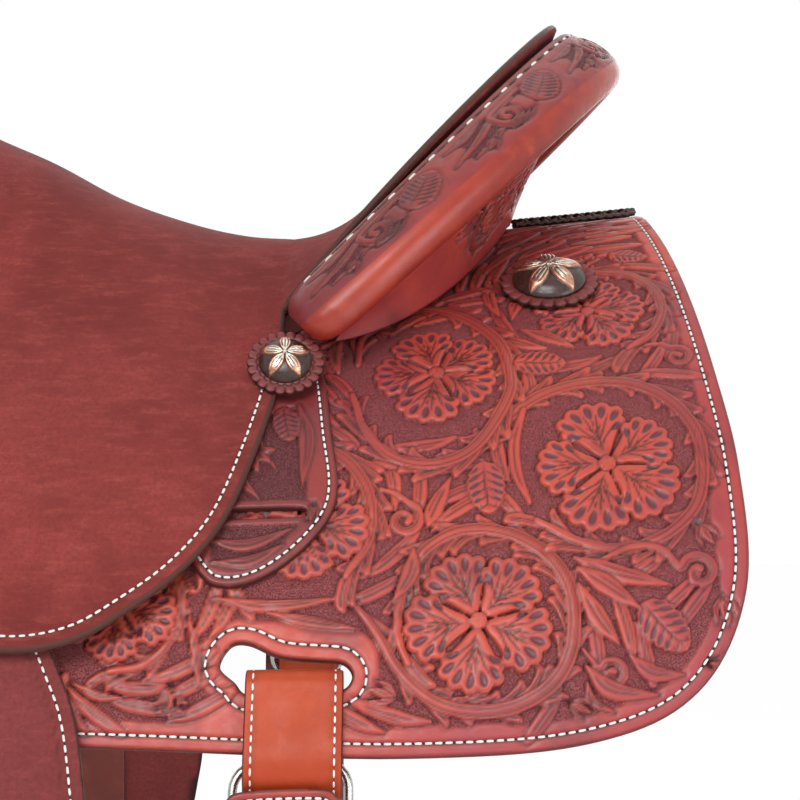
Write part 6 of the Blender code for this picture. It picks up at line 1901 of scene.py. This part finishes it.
def rosette(name, chart, radius, thick, scallops, body):
    """A leather disc with a scalloped edge, pressed between its scallops."""
    angle = np.linspace(0, 2 * math.pi, scallops * 10, endpoint=False)
    wave = np.abs(np.cos(scallops * angle / 2)) ** 0.7
    rim_r = radius * (0.925 + 0.075 * wave)
    rings, fields = [], []
    for share, high in ((0.02, 1), (0.3, 1), (0.6, 1), (0.70, 1), (0.74, 0.84), (0.78, 1), (0.84, 1),
                        (0.88, 1),
                        (0.92, 0.98), (0.96, 0.93), (0.985, 0.82), (1.0, 0.6), (0.99, 0.25), (0.96, 0.0),
                        (0.6, 0), (0.05, 0)):
        r = rim_r * share
        dent = 0.34 * smooth(share, 0.78, 0.92) * (1 - wave) ** 1.5 if high > 0.5 else 0 * wave
        rings.append(chart(r * np.cos(angle), r * np.sin(angle), thick * high - dent * thick * 0.8))
        line = np.clip(1.6 * dent, 0, 1) if high > 0.5 else 0 * wave
        fields.append(np.stack([0 * wave, line + (0.7 if share == 0.74 else 0), 0.5 + 0.12 * wave,
                                0 * wave + bump(share - 1, 0.03)], -1))
    return loft(name, rings, ROSETTE, body, fields=np.array(fields).reshape(-1, 4), sharp=60)


def dome(name, chart, radius, high, turn, body):
    """A dark domed concho with a bright flower of five narrow petals raised on it."""
    angle = np.linspace(0, 2 * math.pi, 300, endpoint=False)
    share = np.concatenate([np.linspace(0.01, 0.90, 74), np.linspace(0.91, 1.0, 8)])
    profile = curve([(0, high), (0.42, 0.93 * high), (0.76, 0.66 * high), (0.93, 0.32 * high),
                     (1.0, 0.10 * high)], 10)
    rings, fields = [], []
    for r in share:
        base = np.interp(r, profile[:, 0], profile[:, 1])
        off = (((angle - turn) * 5 / (2 * math.pi) + 0.5) % 1 - 0.5) * (2 * math.pi / 5) * r
        t = np.clip((r - 0.06) / 0.93, 0, 1)
        half = 0.235 * max(math.sin(math.pi * t ** 1.15), 0.0) ** 0.7 + 0.001
        notch = 0.05 * smooth(t, 0.5, 0.75) * (1 - smooth(t, 0.8, 0.95)) * bump(np.abs(off) - 0.05, 0.04)
        petal = smooth(half - notch - np.abs(off), -0.005, 0.022)
        rib = bump(off, 0.012) * smooth(r, 0.18, 0.26) * (1 - smooth(r, 0.60, 0.74))
        side = bump(np.abs(off) - 0.52 * half, 0.013) * smooth(r, 0.24, 0.34) * (1 - smooth(r, 0.66, 0.80))
        bead = max(1 - smooth(r, 0.07, 0.10), 0) + 0 * angle
        swell = 0.15 + 0.05 * np.cos(off / max(half, 0.02) * 1.2)
        lift = petal * swell - petal * (0.10 * rib + 0.08 * side)
        lift = high * (lift + 0.16 * bead * (1 - petal)) + high * 0.10 * bead
        rings.append(chart(radius * r * np.cos(angle), radius * r * np.sin(angle), base + lift))
        warm = smooth(np.abs(off), 0.50 * half, 0.62 * half) * smooth(r, 0.25, 0.4) + smooth(r, 0.62, 0.72)
        fields.append(np.stack([np.maximum(petal, bead), np.clip(petal * (rib + 0.8 * side), 0, 1),
                                np.clip(1 - warm, 0, 1) * (r < 2), 0 * angle], -1))
    rings.append(chart(radius * np.cos(angle), radius * np.sin(angle), 0 * angle))
    fields.append(np.tile([0, 0.5, 0.5, 0], (len(angle), 1)))
    return loft(name, rings, CONCHO, body, fields=np.array(fields).reshape(-1, 4), sharp=70)


for side_name, side in SIDES.items():
    def flat_at(x, s, n=0.0, side=side):
        return on_back(x, s, n, side)

    x, s = 0.2445, 0.1105
    normal = normal_on(flat_at, x, s)
    place = on_back(x, s, SKIRT_THICK + 0.0009, side)
    dress(rosette(f"rear_rosette_{side_name}", frame_on(place + normal * 0.0004, normal), 26.8, 3.0, 22,
                  "saddle"),
          f"rear_concho_{side_name}_rosette")
    dress(dome(f"rear_dome_{side_name}", frame_on(place + normal * 0.0037, normal), 19.8, 8.5,
               -side * math.pi / 2, "saddle"),
          f"rear_concho_{side_name}")
    x, s = 0.1030, 0.1850
    down = seat_point(x, s + 0.012, side) - seat_point(x, s - 0.012, side)
    slope = math.atan2(-down[2], down[1] * side) + math.radians(8)
    normal = np.array([0, side * math.sin(slope), math.cos(slope)])
    place = seat_point(x, s, side) + normal * (0.0197 * math.sin(math.radians(8)))
    dress(rosette(f"seat_rosette_{side_name}", frame_on(place + normal * 0.0004, normal), 19.7, 3.0, 22,
                  "saddle"),
          f"seat_concho_{side_name}_rosette")
    dress(dome(f"seat_dome_{side_name}", frame_on(place + normal * 0.0037, normal), 13.5, 7.0,
               -side * math.pi / 2, "saddle"),
          f"seat_concho_{side_name}")
    x, s = -0.2600, 0.1300
    top = float(front_jockey_low(np.array(x * 1000), np.array(s * 1000))) * MM + 0.0046
    normal = normal_on(flat_at, x, s + BACK_RADIUS * math.atan2(0.22, 1))
    place = on_back(x, s, top + 0.0009, side)
    dress(dome(f"front_dome_{side_name}", frame_on(place + normal * 0.0004, normal), 19.8, 8.5, 0.5,
               "saddle"),
          f"front_concho_{side_name}")


# Rear rigging: billets, buckles, safes and cinch


def fold_path(top, front, back, count=9):
    middle, radius = (front + back) / 2, (front - back) / 2
    for k in range(count + 1):
        angle = math.pi * (k / count - 0.5)
        yield top + radius - radius * math.cos(angle), middle + radius * math.sin(angle)


def corner_arcs(width, height, radius, count=6):
    made = []
    a, b = width / 2 - radius, height / 2 - radius
    for start, (p, q) in zip((0, 90, 180, 270), ((1, 1), (-1, 1), (-1, -1), (1, -1))):
        for k in range(count + 1):
            angle = math.radians(start + 90 * k / count)
            made.append((p * a + radius * math.cos(angle), q * b + radius * math.sin(angle)))
    return np.array(made)


def dense(path, pitch=0.0015):
    """A smooth line through (s, n) places with points a pitch apart."""
    return even(curve(np.array(path), 6), pitch)


def safe_low(s):
    over_cinch = BUCKLE_N + CINCH_THICK / 2 + CLEAR
    return 0.0067 + (over_cinch - 0.0067) * smooth(s, 0.3935, 0.4205)


def make_rear_rigging(side_name, side):
    """Billets, buckles and safes of the rear rigging."""
    half = STRAP_THICK / 2
    front, back = SKIRT_THICK + 0.0017 + half, -0.0017 - half
    behind = BUCKLE_N - CINCH_THICK / 2 - CLEAR - half
    heel = BUCKLE_TOP + BUCKLE_HEIGHT - BUCKLE_WIRE
    drop = 0.381
    path = [(drop + 0.006, back), (drop - 0.010, back), *fold_path(0.3390 + half, front, back),
            (0.366, front),
            (drop + 0.003, front), (drop + 0.011, front - 0.0060), (heel - 0.022, BUCKLE_N + 0.005),
            (heel - 0.013, BUCKLE_N - 0.0015), (heel - 0.005, behind + 0.0008), (heel + 0.004, behind),
            (heel + 0.034, behind)]
    line = dense(path)
    x = SLOT_CENTRE - 0.02 * (line[:, 0] - path[0][0])
    centres = on_back(x, line[:, 0], line[:, 1], side)
    made = strap(f"billet_strap_{side_name}", centres, BILLET_WIDTH, STRAP_THICK, BILLET, "rear_girth",
                 across=(-side, 0, 0), crown=0.25, stitch=3.6, round_by=1.1)
    dress(made, f"flank_billet_{side_name}")
    ring = corner_arcs(BUCKLE_WIDTH - 2 * BUCKLE_WIRE, BUCKLE_HEIGHT - 2 * BUCKLE_WIRE, 0.012)
    x = SLOT_CENTRE - 0.001
    buckle = tube(f"buckle_frame_{side_name}",
                  on_back(x + ring[:, 0], BUCKLE_TOP + BUCKLE_HEIGHT / 2 + ring[:, 1], BUCKLE_N, side),
                  BUCKLE_WIRE, STEEL, "rear_girth", closed=True, sides=18)
    dress(buckle, f"flank_buckle_{side_name}")
    rest = BUCKLE_N - BUCKLE_WIRE - TONGUE_WIRE - 0.0004
    chain = dense([(heel, rest), (heel - 0.012, BUCKLE_N - 0.0030), (heel - 0.024, BUCKLE_N - 0.0026),
                   (BUCKLE_TOP + 0.006, rest), (BUCKLE_TOP, rest)], 0.001)
    prong = tube(f"tongue_prong_{side_name}", on_back(x, chain[:, 0], chain[:, 1], side), TONGUE_WIRE, STEEL,
                 f"tongue_{side_name}")
    dress(prong, f"flank_buckle_tongue_{side_name}")
    safe = [(-28.3, 12.5), (-24.5, 3.5), (-16, 0), (16, 0), (24.5, 3.5), (28.3, 12.5), (28.3, 72, "c"),
            (-28.3, 72, "c")]
    safe = [(1000 * SLOT_CENTRE - 4.5 + p[0], 392.5 + p[1], *p[2:]) for p in safe]
    loop = loop_of(safe, 8)
    carving = Carving(70, 388, 140, 470, 0.45)
    rose_leaf(carving, (104, 437), 30, 19, math.radians(95))
    frond(carving, [(90, 404), (104, 409), (118, 404)], 3.2)
    scroll(carving, (90, 421), 6.0, 0.2, 1.2, 1, 1.9, tail=[(96, 410)])
    scroll(carving, (119, 422), 6.0, 2.9, 1.2, -1, 1.9, tail=[(112, 410)])
    frond(carving, [(84, 440), (88, 450), (94, 460)], 2.8)
    frond(carving, [(124, 440), (120, 450), (114, 460)], 2.8)
    carving.fill_ground([inset(loop, 8.0)], 9.0)
    line = inset(loop, 4.0)
    line = line[np.argsort(0 * line[:, 0])]
    groove(carving, ringed(line))
    low = lambda u, v: 1000 * safe_low(v * MM)
    safe_piece = plate(f"carved_safe_{side_name}", [loop], back_chart(side), low,
                       lambda u, v: low(u, v) + JOCKEY_THICK,
                       CARVED, "rear_girth", 0.9, 0.9, carving)
    dress(safe_piece, f"flank_safe_{side_name}")
    stitches(f"safe_stitch_{side_name}", ringed(line), back_chart(side), "rear_girth",
             lambda u, v: low(u, v) + JOCKEY_THICK - THREAD_SUNK, pitch=4.3, long=3.0)


for side_name, side in SIDES.items():
    make_rear_rigging(side_name, side)


def make_cinch():
    """The rear cinch."""
    top_s = BUCKLE_TOP + BUCKLE_HEIGHT + 0.0006
    x = SLOT_CENTRE - 0.002
    first = on_back(x, np.array([top_s, top_s + 0.050]), BUCKLE_N, -1)
    half_span, top = -first[-1][1], first[-1][2]
    angle = math.pi * np.arange(1, 48) / 48
    y = -half_span * np.cos(angle) * (1 + 0.02 * np.sin(angle) ** 2)
    z = top - (CINCH_DROP - 0.050) * np.sin(angle) ** 0.62
    belly = np.stack([0 * y + x, y, z], -1)
    line = np.vstack([first, belly, first[::-1] * (1, -1, 1)])
    centres = even(curve(line, 3), 0.0025)
    middle = np.sin(np.clip((centres[:, 1] / half_span + 1) / 2, 0, 1) * math.pi)
    width = CINCH_WIDTH + 0.036 * np.clip(middle, 0, 1) ** 2
    piece = strap("flank_cinch_strap", centres, width, CINCH_THICK, BROWN, "rear_girth", across=(1, 0, 0),
                  crown=0.2, stitch=4.0, round_by=1.3, faces=(-1, 1))
    dress(piece, "flank_cinch")


make_cinch()


# Front rigging


def make_front_rigging(side_name, side):
    """Latigo, off billet and their hardware."""
    x, s0, low = -0.243, 0.3440, SKIRT_THICK + CLEAR + 0.0010
    thick = 0.0030

    def flat_at(a, s):
        return on_back(a, s, 0.0, side)

    normal = normal_on(flat_at, x, s0)
    place = on_back(x, s0, low, side)
    chart = frame_on(place, normal)
    sign = 1 if chart(0, 1, 0)[2] < place[2] else -1
    outer = corner_arcs(96, 56, 12, 8)
    inner = corner_arcs(62, 14.5, 6, 8)[::-1] + (0, 7.2)
    plate_piece = plate(f"rigging_ring_{side_name}", [outer, inner],
                        lambda u, v, n: chart(np.asarray(u), sign * np.asarray(v), n), 0.0, 1000 * thick,
                        STEEL,
                        "saddle", 1.6, 1.6, edge=0.8)
    dress(plate_piece, f"front_rigging_plate_{side_name}")
    half = STRAP_THICK / 2
    front, back = low + thick + 0.0018 + half, low - 0.0018 - half
    bar_top = 0.35845
    end = s0 + 0.400
    path = [(bar_top + 0.075, front - STRAP_THICK - 0.0006), (bar_top + 0.045, back + 0.004),
            (bar_top + 0.012, back),
            *fold_path(bar_top - 0.0052 - half, front, back), (bar_top + 0.030, front),
            *[(bar_top + 0.060 + (end - bar_top - 0.060) * k / 5, front) for k in range(6)]]
    line = dense(path)
    name = "latigo" if side < 0 else "off_billet"
    made = strap(f"{name}_leather", on_back(x + 0 * line[:, 0], line[:, 0], line[:, 1], side), BILLET_WIDTH,
                 STRAP_THICK, BILLET if side > 0 else BROWN, f"{name}_strap", across=(-side, 0, 0), crown=0.2,
                 stitch=3.6 if side > 0 else None, round_by=1.1)
    dress(made, name)


for side_name, side in SIDES.items():
    make_front_rigging(side_name, side)


# Fenders, stirrup leathers and stirrups


def lathe(name, profile, place, axis, material, body, sides=48, closed=False):
    """A turned piece: (radius, height) in metres along an axis from a place."""
    axis = unit(np.asarray(axis, float))
    side_way = unit(np.cross(axis, (0.3, 0.9, 0.1)))
    other = np.cross(axis, side_way)
    angle = np.linspace(0, 2 * math.pi, sides, endpoint=False)
    ring = np.cos(angle)[:, None] * side_way + np.sin(angle)[:, None] * other
    rings = [np.asarray(place) + ring * max(r, 1e-5) + axis * h for r, h in profile]
    return loft(name, rings, material, body, closed=closed)


def make_fender(side_name, side):
    """A fender, its stirrup leather, buckle and stirrup."""
    body, foot = f"fender_set_{side_name}", f"stirrup_body_{side_name}"
    outline = [(FENDER_X * 1000 + p[0], *p[1:]) for p in FENDER_HALF]
    outline += [(FENDER_X * 1000 - p[0], *p[1:]) for p in reversed(FENDER_HALF)]
    loop = loop_of(outline, 8)
    chart = back_chart(side)
    line = inset(loop, 6.0)
    inner = inset(loop, 9.5)
    carving = Carving(-180, 275, 35, 680, 0.8)
    groove(carving, ringed(line), 0.8, 0.3)
    carving.mark(np.vstack([inner, inner[:1]])[::2], 0.4, 0.3, 0.7, taper=False)
    piece = plate(f"suede_fender_{side_name}", [loop], chart, *FENDER_FACES, SUEDE_DARK, body, 1.8, 1.8,
                  carving)
    dress(piece, f"fender_{side_name}")
    stitches(f"fender_stitch_{side_name}", ringed(line), chart, body, FENDER_FACES[1] - THREAD_SUNK,
             pitch=4.5, long=3.2)
    half = 0.0015
    n = FENDER_N - CLEAR - half
    reach = BOLT_RADIUS + CLEAR + half
    bolt_n = n - reach
    width, thick = 0.076, 0.0030
    down = [(s, n) for s in (0.297, 0.330, 0.375, 0.420, 0.465, 0.51, 0.62)]
    turn = [(STIRRUP_BOLT_S + reach * math.sin(a), bolt_n + reach * math.cos(a)) for a in
            [math.pi * k / 10 for k in range(11)]]
    back = [(STIRRUP_BOLT_S - 0.030, n - 2 * half - 0.0012), (0.640, n - 2 * half - 0.0008)]
    x = lambda rows: FENDER_X + 0 * rows[:, 0]
    rows = dense(down + turn + back, 0.002)
    leather = strap(f"stirrup_strap_{side_name}", on_back(x(rows), rows[:, 0], rows[:, 1], side), width,
                    thick,
                    BROWN, body, across=(-side, 0, 0), stitch=4.0)
    dress(leather, f"stirrup_leather_{side_name}")
    low_n, over = SKIRT_THICK + CLEAR + half + 0.0003, CLEAR + half + 0.0004
    high_n = float(bar_high(FENDER_X, 0)) + over
    ends = [(s, float(bar_high(FENDER_X, s)) + over) for s in (0.0625, 0.0938, 0.110, 0.125, 0.1405, 0.1563)]
    rows = [(0.273, n), (0.250, n), (0.219, n), (0.195, n), (0.172, low_n + 0.001),
            *[(s, low_n) for s in (0.1563, 0.125, 0.0938, 0.0625)], (0.0520, low_n + 0.0004),
            (0.0475, low_n + 0.0035), (0.0462, (low_n + high_n) / 2), (0.0475, high_n - 0.0035),
            (0.0520, high_n - 0.0004), *ends, (0.176, n + 0.0068), (0.195, n + 2 * half + CLEAR),
            (0.219, n + 2 * half + CLEAR)]
    rows = dense(rows, 0.002)
    upper = strap(f"stirrup_loop_{side_name}", on_back(x(rows), rows[:, 0], rows[:, 1], side), width, thick,
                  BROWN,
                  "saddle", across=(-side, 0, 0))
    dress(upper, f"stirrup_leather_loop_{side_name}")
    # The keeper strap and the adjusting buckle behind the fender's foot
    low, high = n - 3 * half - 0.0030, n + half + 0.0009
    ring = corner_arcs(width + 0.003 + 0.0024, high - low + 0.0024, 0.0034, 5)
    centre = (low + high) / 2
    centres = on_back(FENDER_X + ring[:, 0], 0.708, centre + ring[:, 1], side)
    keeper = strap(f"keeper_strap_{side_name}", centres, 0.016, 0.0024, BROWN, body,
                   across=(0, 0, 1), round_by=0.7, closed=True)
    dress(keeper, f"hobble_strap_{side_name}")
    high = 1000 * (n - 3 * half - 0.0016)
    outer = corner_arcs(66, 36, 6, 6) + (1000 * FENDER_X, 662)
    pins = [corner_arcs(7, 7, 3.2, 4)[::-1] + (1000 * FENDER_X + a, 662) for a in (-14, 14)]
    buckle = plate(f"adjuster_{side_name}", [outer, *pins], chart, high - 2.4, high, STEEL, body, 1.2, 1.2,
                   edge=0.7)
    dress(buckle, f"stirrup_buckle_{side_name}")
    # Bell stirrup
    bolt = on_back(FENDER_X, STIRRUP_BOLT_S, bolt_n, side)
    tall, thick = 0.148, 0.0085
    top_half, foot_half = width / 2 + 0.004, 0.064
    shape = [(top_half, 0.014), (top_half, -0.006), (top_half + 0.004, -0.35 * tall),
             (foot_half - thick, -0.70 * tall), (foot_half - thick - 0.004, -0.90 * tall),
             (foot_half - thick - 0.016, -tall + thick)]
    line = curve(shape + [(-a, b) for a, b in reversed(shape)], 8)
    line = even(line, 0.0025)
    along = unit(np.gradient(line, axis=0))
    out = np.stack([-along[:, 1], along[:, 0]], 1)
    out *= np.sign((out * line).sum(1))[:, None]
    middle = line + out * thick / 2
    centres = bolt + np.stack([middle[:, 0], 0 * middle[:, 0], middle[:, 1]], 1)
    deep = 0.050 * (0.44 + 0.56 * smooth(-line[:, 1], 0.0, 0.8 * tall))
    stirrup = strap(f"bell_stirrup_{side_name}", centres, deep, thick, BROWN, foot, across=(0, 1, 0),
                    crown=0.3,
                    stitch=4.0, round_by=2.2, faces=(1,))
    dress(stirrup, f"stirrup_{side_name}")
    end, r = top_half + 0.0085 + 0.0006, BOLT_RADIUS
    profile = [(0, end + 0.004), (1.2 * r, end + 0.004), (1.5 * r, end + 0.0034), (1.65 * r, end + 0.002),
               (1.7 * r, end), (r, end - 0.0002), (r, -end + 0.0002), (1.7 * r, -end),
               (1.65 * r, -end - 0.002),
               (1.5 * r, -end - 0.0034), (1.2 * r, -end - 0.004), (0, -end - 0.004)]
    dress(lathe(f"bolt_{side_name}", profile, bolt, (1, 0, 0), STEEL, foot), f"stirrup_bolt_{side_name}")


for side_name, side in SIDES.items():
    make_fender(side_name, side)


# Braided lacing on the ridge


def make_lacing():
    """Lacing along the ridge behind the cantle."""
    start, end = 0.237, 0.308
    t = np.linspace(0, 1, 260)
    x = start + (end - start) * t
    for k in range(3):
        phase = 2 * math.pi * (3.5 * t + k / 3)
        y = 0.0048 * np.sin(phase)
        lift = 0.0026 + 0.0013 * np.cos(2 * phase)
        s = np.abs(y)
        base = on_back(x, s, SKIRT_THICK + CLEAR, 1)
        crest = on_back(x, 0 * s, SKIRT_THICK + CLEAR, 1)[:, 2] * 0.6 + base[:, 2] * 0.4
        centres = np.stack([x, y, crest + lift], -1)
        strand = strap(f"lacing_strand_{k}", centres, 0.0052, 0.0021, DARK, "saddle", across=(0, 1, 0),
                       crown=0.4,
                       round_by=0.6)
        dress(strand, "skirt_lacing" if k == 0 else None)
    for sign in (-1, 1):
        line = np.stack([x, np.full_like(x, sign * 0.0072)], 1)
        centres = on_back(line[:, 0], np.abs(line[:, 1]), SKIRT_THICK + CLEAR + 0.0012, sign)
        wave = 0.0004 * np.sin(2 * math.pi * (x - start) / 0.0052)
        centres[:, 2] += wave
        side_strand = strap(f"lacing_edge_{'a' if sign < 0 else 'b'}", centres, 0.0034, 0.0019, DARK,
                            "saddle",
                            across=(0, 1, 0), crown=0.3, round_by=0.5)
        dress(side_strand, None)


make_lacing()


# Wool under the skirts


def curls(u, v):
    """Height of short curled wool, in millimetres."""
    made = np.zeros(np.shape(u))
    for k, (size, high) in enumerate(((9.0, 0.8), (5.2, 0.7), (3.1, 0.45))):
        a = 1.3 * k + 0.4
        p, q = (u * math.cos(a) - v * math.sin(a)) / size, (u * math.sin(a) + v * math.cos(a)) / size
        swirl = np.sin(2 * math.pi * (p + 0.35 * np.sin(2.1 * q + 1.7 * k))) * np.sin(
            2 * math.pi * (q + 0.35 * np.sin(1.7 * p + 0.6 * k)))
        made = made + high * np.abs(swirl) ** 0.6 * np.sign(swirl)
    return made


def fleece_loop():
    """The skirt's outline a little smaller, open round the billet slot."""
    points = mm(skirt_outline(0.002, ridge_gap(CLEAR + 0.014)))
    x, half, top = 108.7, 47.0, 313.5
    edge = 370.0
    notch = [(x + half, edge, "c"), (x + half, top + 10, "c"), (x + half - 10, top, "c"),
             (x - half + 10, top, "c"), (x - half, top + 10, "c"), (x - half, edge - 2, "c")]
    at = next(k for k, p in enumerate(points) if p[1] > 365 and p[0] < 100)
    return loop_of(points[:at] + notch + points[at:], 8)


for side_name, side in SIDES.items():
    wool = plate(f"wool_{side_name}", [fleece_loop()], back_chart(side, -1), 0.9, 13.6, WOOL, "saddle", 2.2,
                 2.2,
                 edge=5.0, relief=lambda u, v, away: curls(u, v) * smooth(away, 0, 3), sharp=80)
    dress(wool, f"fleece_{side_name}")


# Fork and horn


def softened(node, voxel, rounds):
    """A CAD node's mesh with its edges rounded over: mesh, places and normals."""
    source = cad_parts[node]
    obj = bpy.data.objects.new("softened", source.data.copy())
    bpy.context.scene.collection.objects.link(obj)
    obj.matrix_world = source.matrix_world
    remesh = obj.modifiers.new("remesh", "REMESH")
    remesh.mode, remesh.voxel_size = "VOXEL", voxel
    soften = obj.modifiers.new("soften", "SMOOTH")
    soften.factor, soften.iterations = 0.5, rounds
    made = bpy.data.meshes.new_from_object(obj.evaluated_get(bpy.context.evaluated_depsgraph_get()))
    world = np.array(source.matrix_world)
    bpy.data.objects.remove(obj, do_unlink=True)
    places = []
    for key in ("co", "normal"):
        values = np.empty(len(made.vertices) * 3)
        made.vertices.foreach_get(key, values)
        places.append(values.reshape(-1, 3) @ world[:3, :3].T)
    made.materials.clear()
    made.shade_smooth()
    return made, places[0] + world[:3, 3], places[1]


def settle(name, mesh, verts, material, body):
    """An object of a mesh at new places, riding on a body."""
    mesh.vertices.foreach_set("co", verts.ravel())
    mesh.materials.append(material)
    piece = bpy.data.objects.new(name, mesh)
    bpy.context.scene.collection.objects.link(piece)
    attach(piece, body)
    return piece


def make_fork():
    """The fork's cover with its edges rounded, carved on its front and back."""
    made, verts, normals = softened("fork_cover", 0.0017, 6)
    carving = Carving(-165, -115, 165, 140, 0.6)
    HUBS.clear()
    for sign in (-1, 1):
        for x0, s0, turn in ((104, 52, 0.5), (112, -38, 1.3)):
            ring = [(sign * (x0 + 33 * math.cos(q)), s0 + 31 * math.sin(q))
                    for q in np.radians(np.linspace(-100, 215, 12))]
            wreath(carving, ring, (sign * x0, s0), 24, turn * sign, half=3.8, side=sign, count=9, size=10,
                   outer=10,
                   reach=16)
        rose_leaf(carving, (sign * 46, 92), 30, 18, math.radians(20 * sign))
        spray(carving, (sign * 20, 88), math.radians(90 + 40 * sign), 20, 5)
        rose_leaf(carving, (sign * 104, 2), 26, 15, math.radians(70))
    arch = lambda k: [(y * k, z * k) for y, z in ((0, 120), (60, 114), (104, 92), (134, 54), (140, 15),
                                                  (137, -96))]
    half = arch(1.0)
    allowed = loop_of(half + [(82, -96), (76, -15), (60, 34), (34, 58), (0, 62)]
                      + [(-y, z) for y, z in [(82, -96), (76, -15), (60, 34), (34, 58)][::-1] + half[:0:-1]],
                      6)
    open_leaves(carving, [allowed], HUBS)
    carving.fill_ground([allowed])
    face = smooth(np.abs(normals[:, 0]), 0.80, 0.95)
    rise, ground, line, tone = carving.sample(verts[:, 1] * 1000, verts[:, 2] * 1000)
    verts = verts + normals * (rise * face * MM)[:, None]
    fields = np.stack([ground * face, line * face, tone * face / 2 + 0.5, 0 * face], -1)
    carve = made.attributes.new("carve", "FLOAT_COLOR", "POINT")
    carve.data.foreach_set("color", fields.astype(np.float32).ravel())
    piece = settle("fork_leather", made, verts, CARVED, "saddle")
    dress(piece, "fork_cover")


make_fork()

wrap_line = curve([(0.0215, 0.1945), (0.0190, 0.1880), (0.0176, 0.1750), (0.0180, 0.1480), (0.0222, 0.1360),
                   (0.0229, 0.1320)], 16)
ridges = 0.0006 * np.abs(np.sin(wrap_line[:, 1] * 1000 * math.pi / 7.5)) ** 0.5
wrap_line[:, 0] += ridges - 0.0004
wrap = lathe("horn_binding", np.vstack([wrap_line, [(0.0129, 0.1320), (0.0129, 0.1945)]]), HORN_AT,
             (0, 0, 1), BROWN,
             "saddle", 72, closed=True)
dress(wrap, "horn_wrap")


def make_horn_cap():
    """The horn's cap: a carved flower on top, a stitched edge below it."""
    profile = even(curve([(0.3, 215.0), (14, 215.2), (24, 214.7), (28.4, 212.4), (29.8, 207.5), (29.3, 201.0),
                          (27.0, 196.6), (24.0, 195.2), (14.0, 195.1)], 12), 0.45)
    carving = Carving(-32, -32, 32, 32, 0.4)
    flower(carving, (0, 0), 20.0, 0.4)
    ring = np.array([(24.0 * math.cos(a), 24.0 * math.sin(a)) for a in np.linspace(0, 2 * math.pi, 60)])
    carving.mark(ring, 0.4, 0.35, 0.9, taper=False)
    angle = np.linspace(0, 2 * math.pi, 220, endpoint=False)
    rings, fields = [], []
    for r, z in profile:
        x, y = r * np.cos(angle), r * np.sin(angle)
        rise, ground, line, tone = carving.sample(x, y)
        on_top = 1.0 if z > 212 else 0.0
        rings.append(np.stack([HORN_AT[0] + x * MM, y * MM, (z + rise * on_top) * MM], -1))
        fields.append(np.stack([ground * on_top, line * on_top, tone * on_top / 2 + 0.5, 0 * x], -1))
    cap = loft("horn_cap_leather", rings, CARVED, "saddle", fields=np.array(fields).reshape(-1, 4), sharp=70)
    dress(cap, "horn_cap")
    at = np.linspace(0, 2 * math.pi * 28.9, 200)

    def chart(u, v, n):
        a = np.asarray(u) / 28.9
        out = 29.55 + np.asarray(n)
        return np.stack([HORN_AT[0] + out * np.cos(a) * MM, out * np.sin(a) * MM,
                         0 * out + (203.5 + v) * MM], -1)

    stitches("horn_stitch", np.stack([at, 0 * at], 1), chart, "saddle", 0.0, pitch=4.2, long=3.0)


make_horn_cap()

# Inner parts keep their own shapes
# The tree bars are coloured dark red-brown so that where they show they read as leather in shade: painted
# shade.
TREE_BAR_SHADE = plain("tree_bar_painted_shade", (0.15, 0.034, 0.027), 0.5, vary=0.4, scale=30, stretch=(0.25, 1, 1))
for node, finish in (("tree_bar_left", TREE_BAR_SHADE), ("tree_bar_right", TREE_BAR_SHADE), ("tree_fork", WOOD),
                     ("tree_cantle", WOOD),
                     ("horn_post", STEEL), ("ground_seat", STEEL)):
    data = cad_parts[node].data
    data.materials.clear()
    data.materials.append(finish)
FOAM = plain("seat_foam", (0.74, 0.66, 0.38), 0.9, vary=0.2, scale=120, bumps=(1400, 0.0004))
made, verts, normals = softened("seat_foam", 0.0016, 3)
dimples = np.sin(verts[:, 0] * 900) * np.sin(verts[:, 1] * 900 + 1.3)
foam = settle("foam_pad", made, verts + normals * (0.00012 * dimples)[:, None], FOAM, "saddle")
dress(foam, "seat_foam")
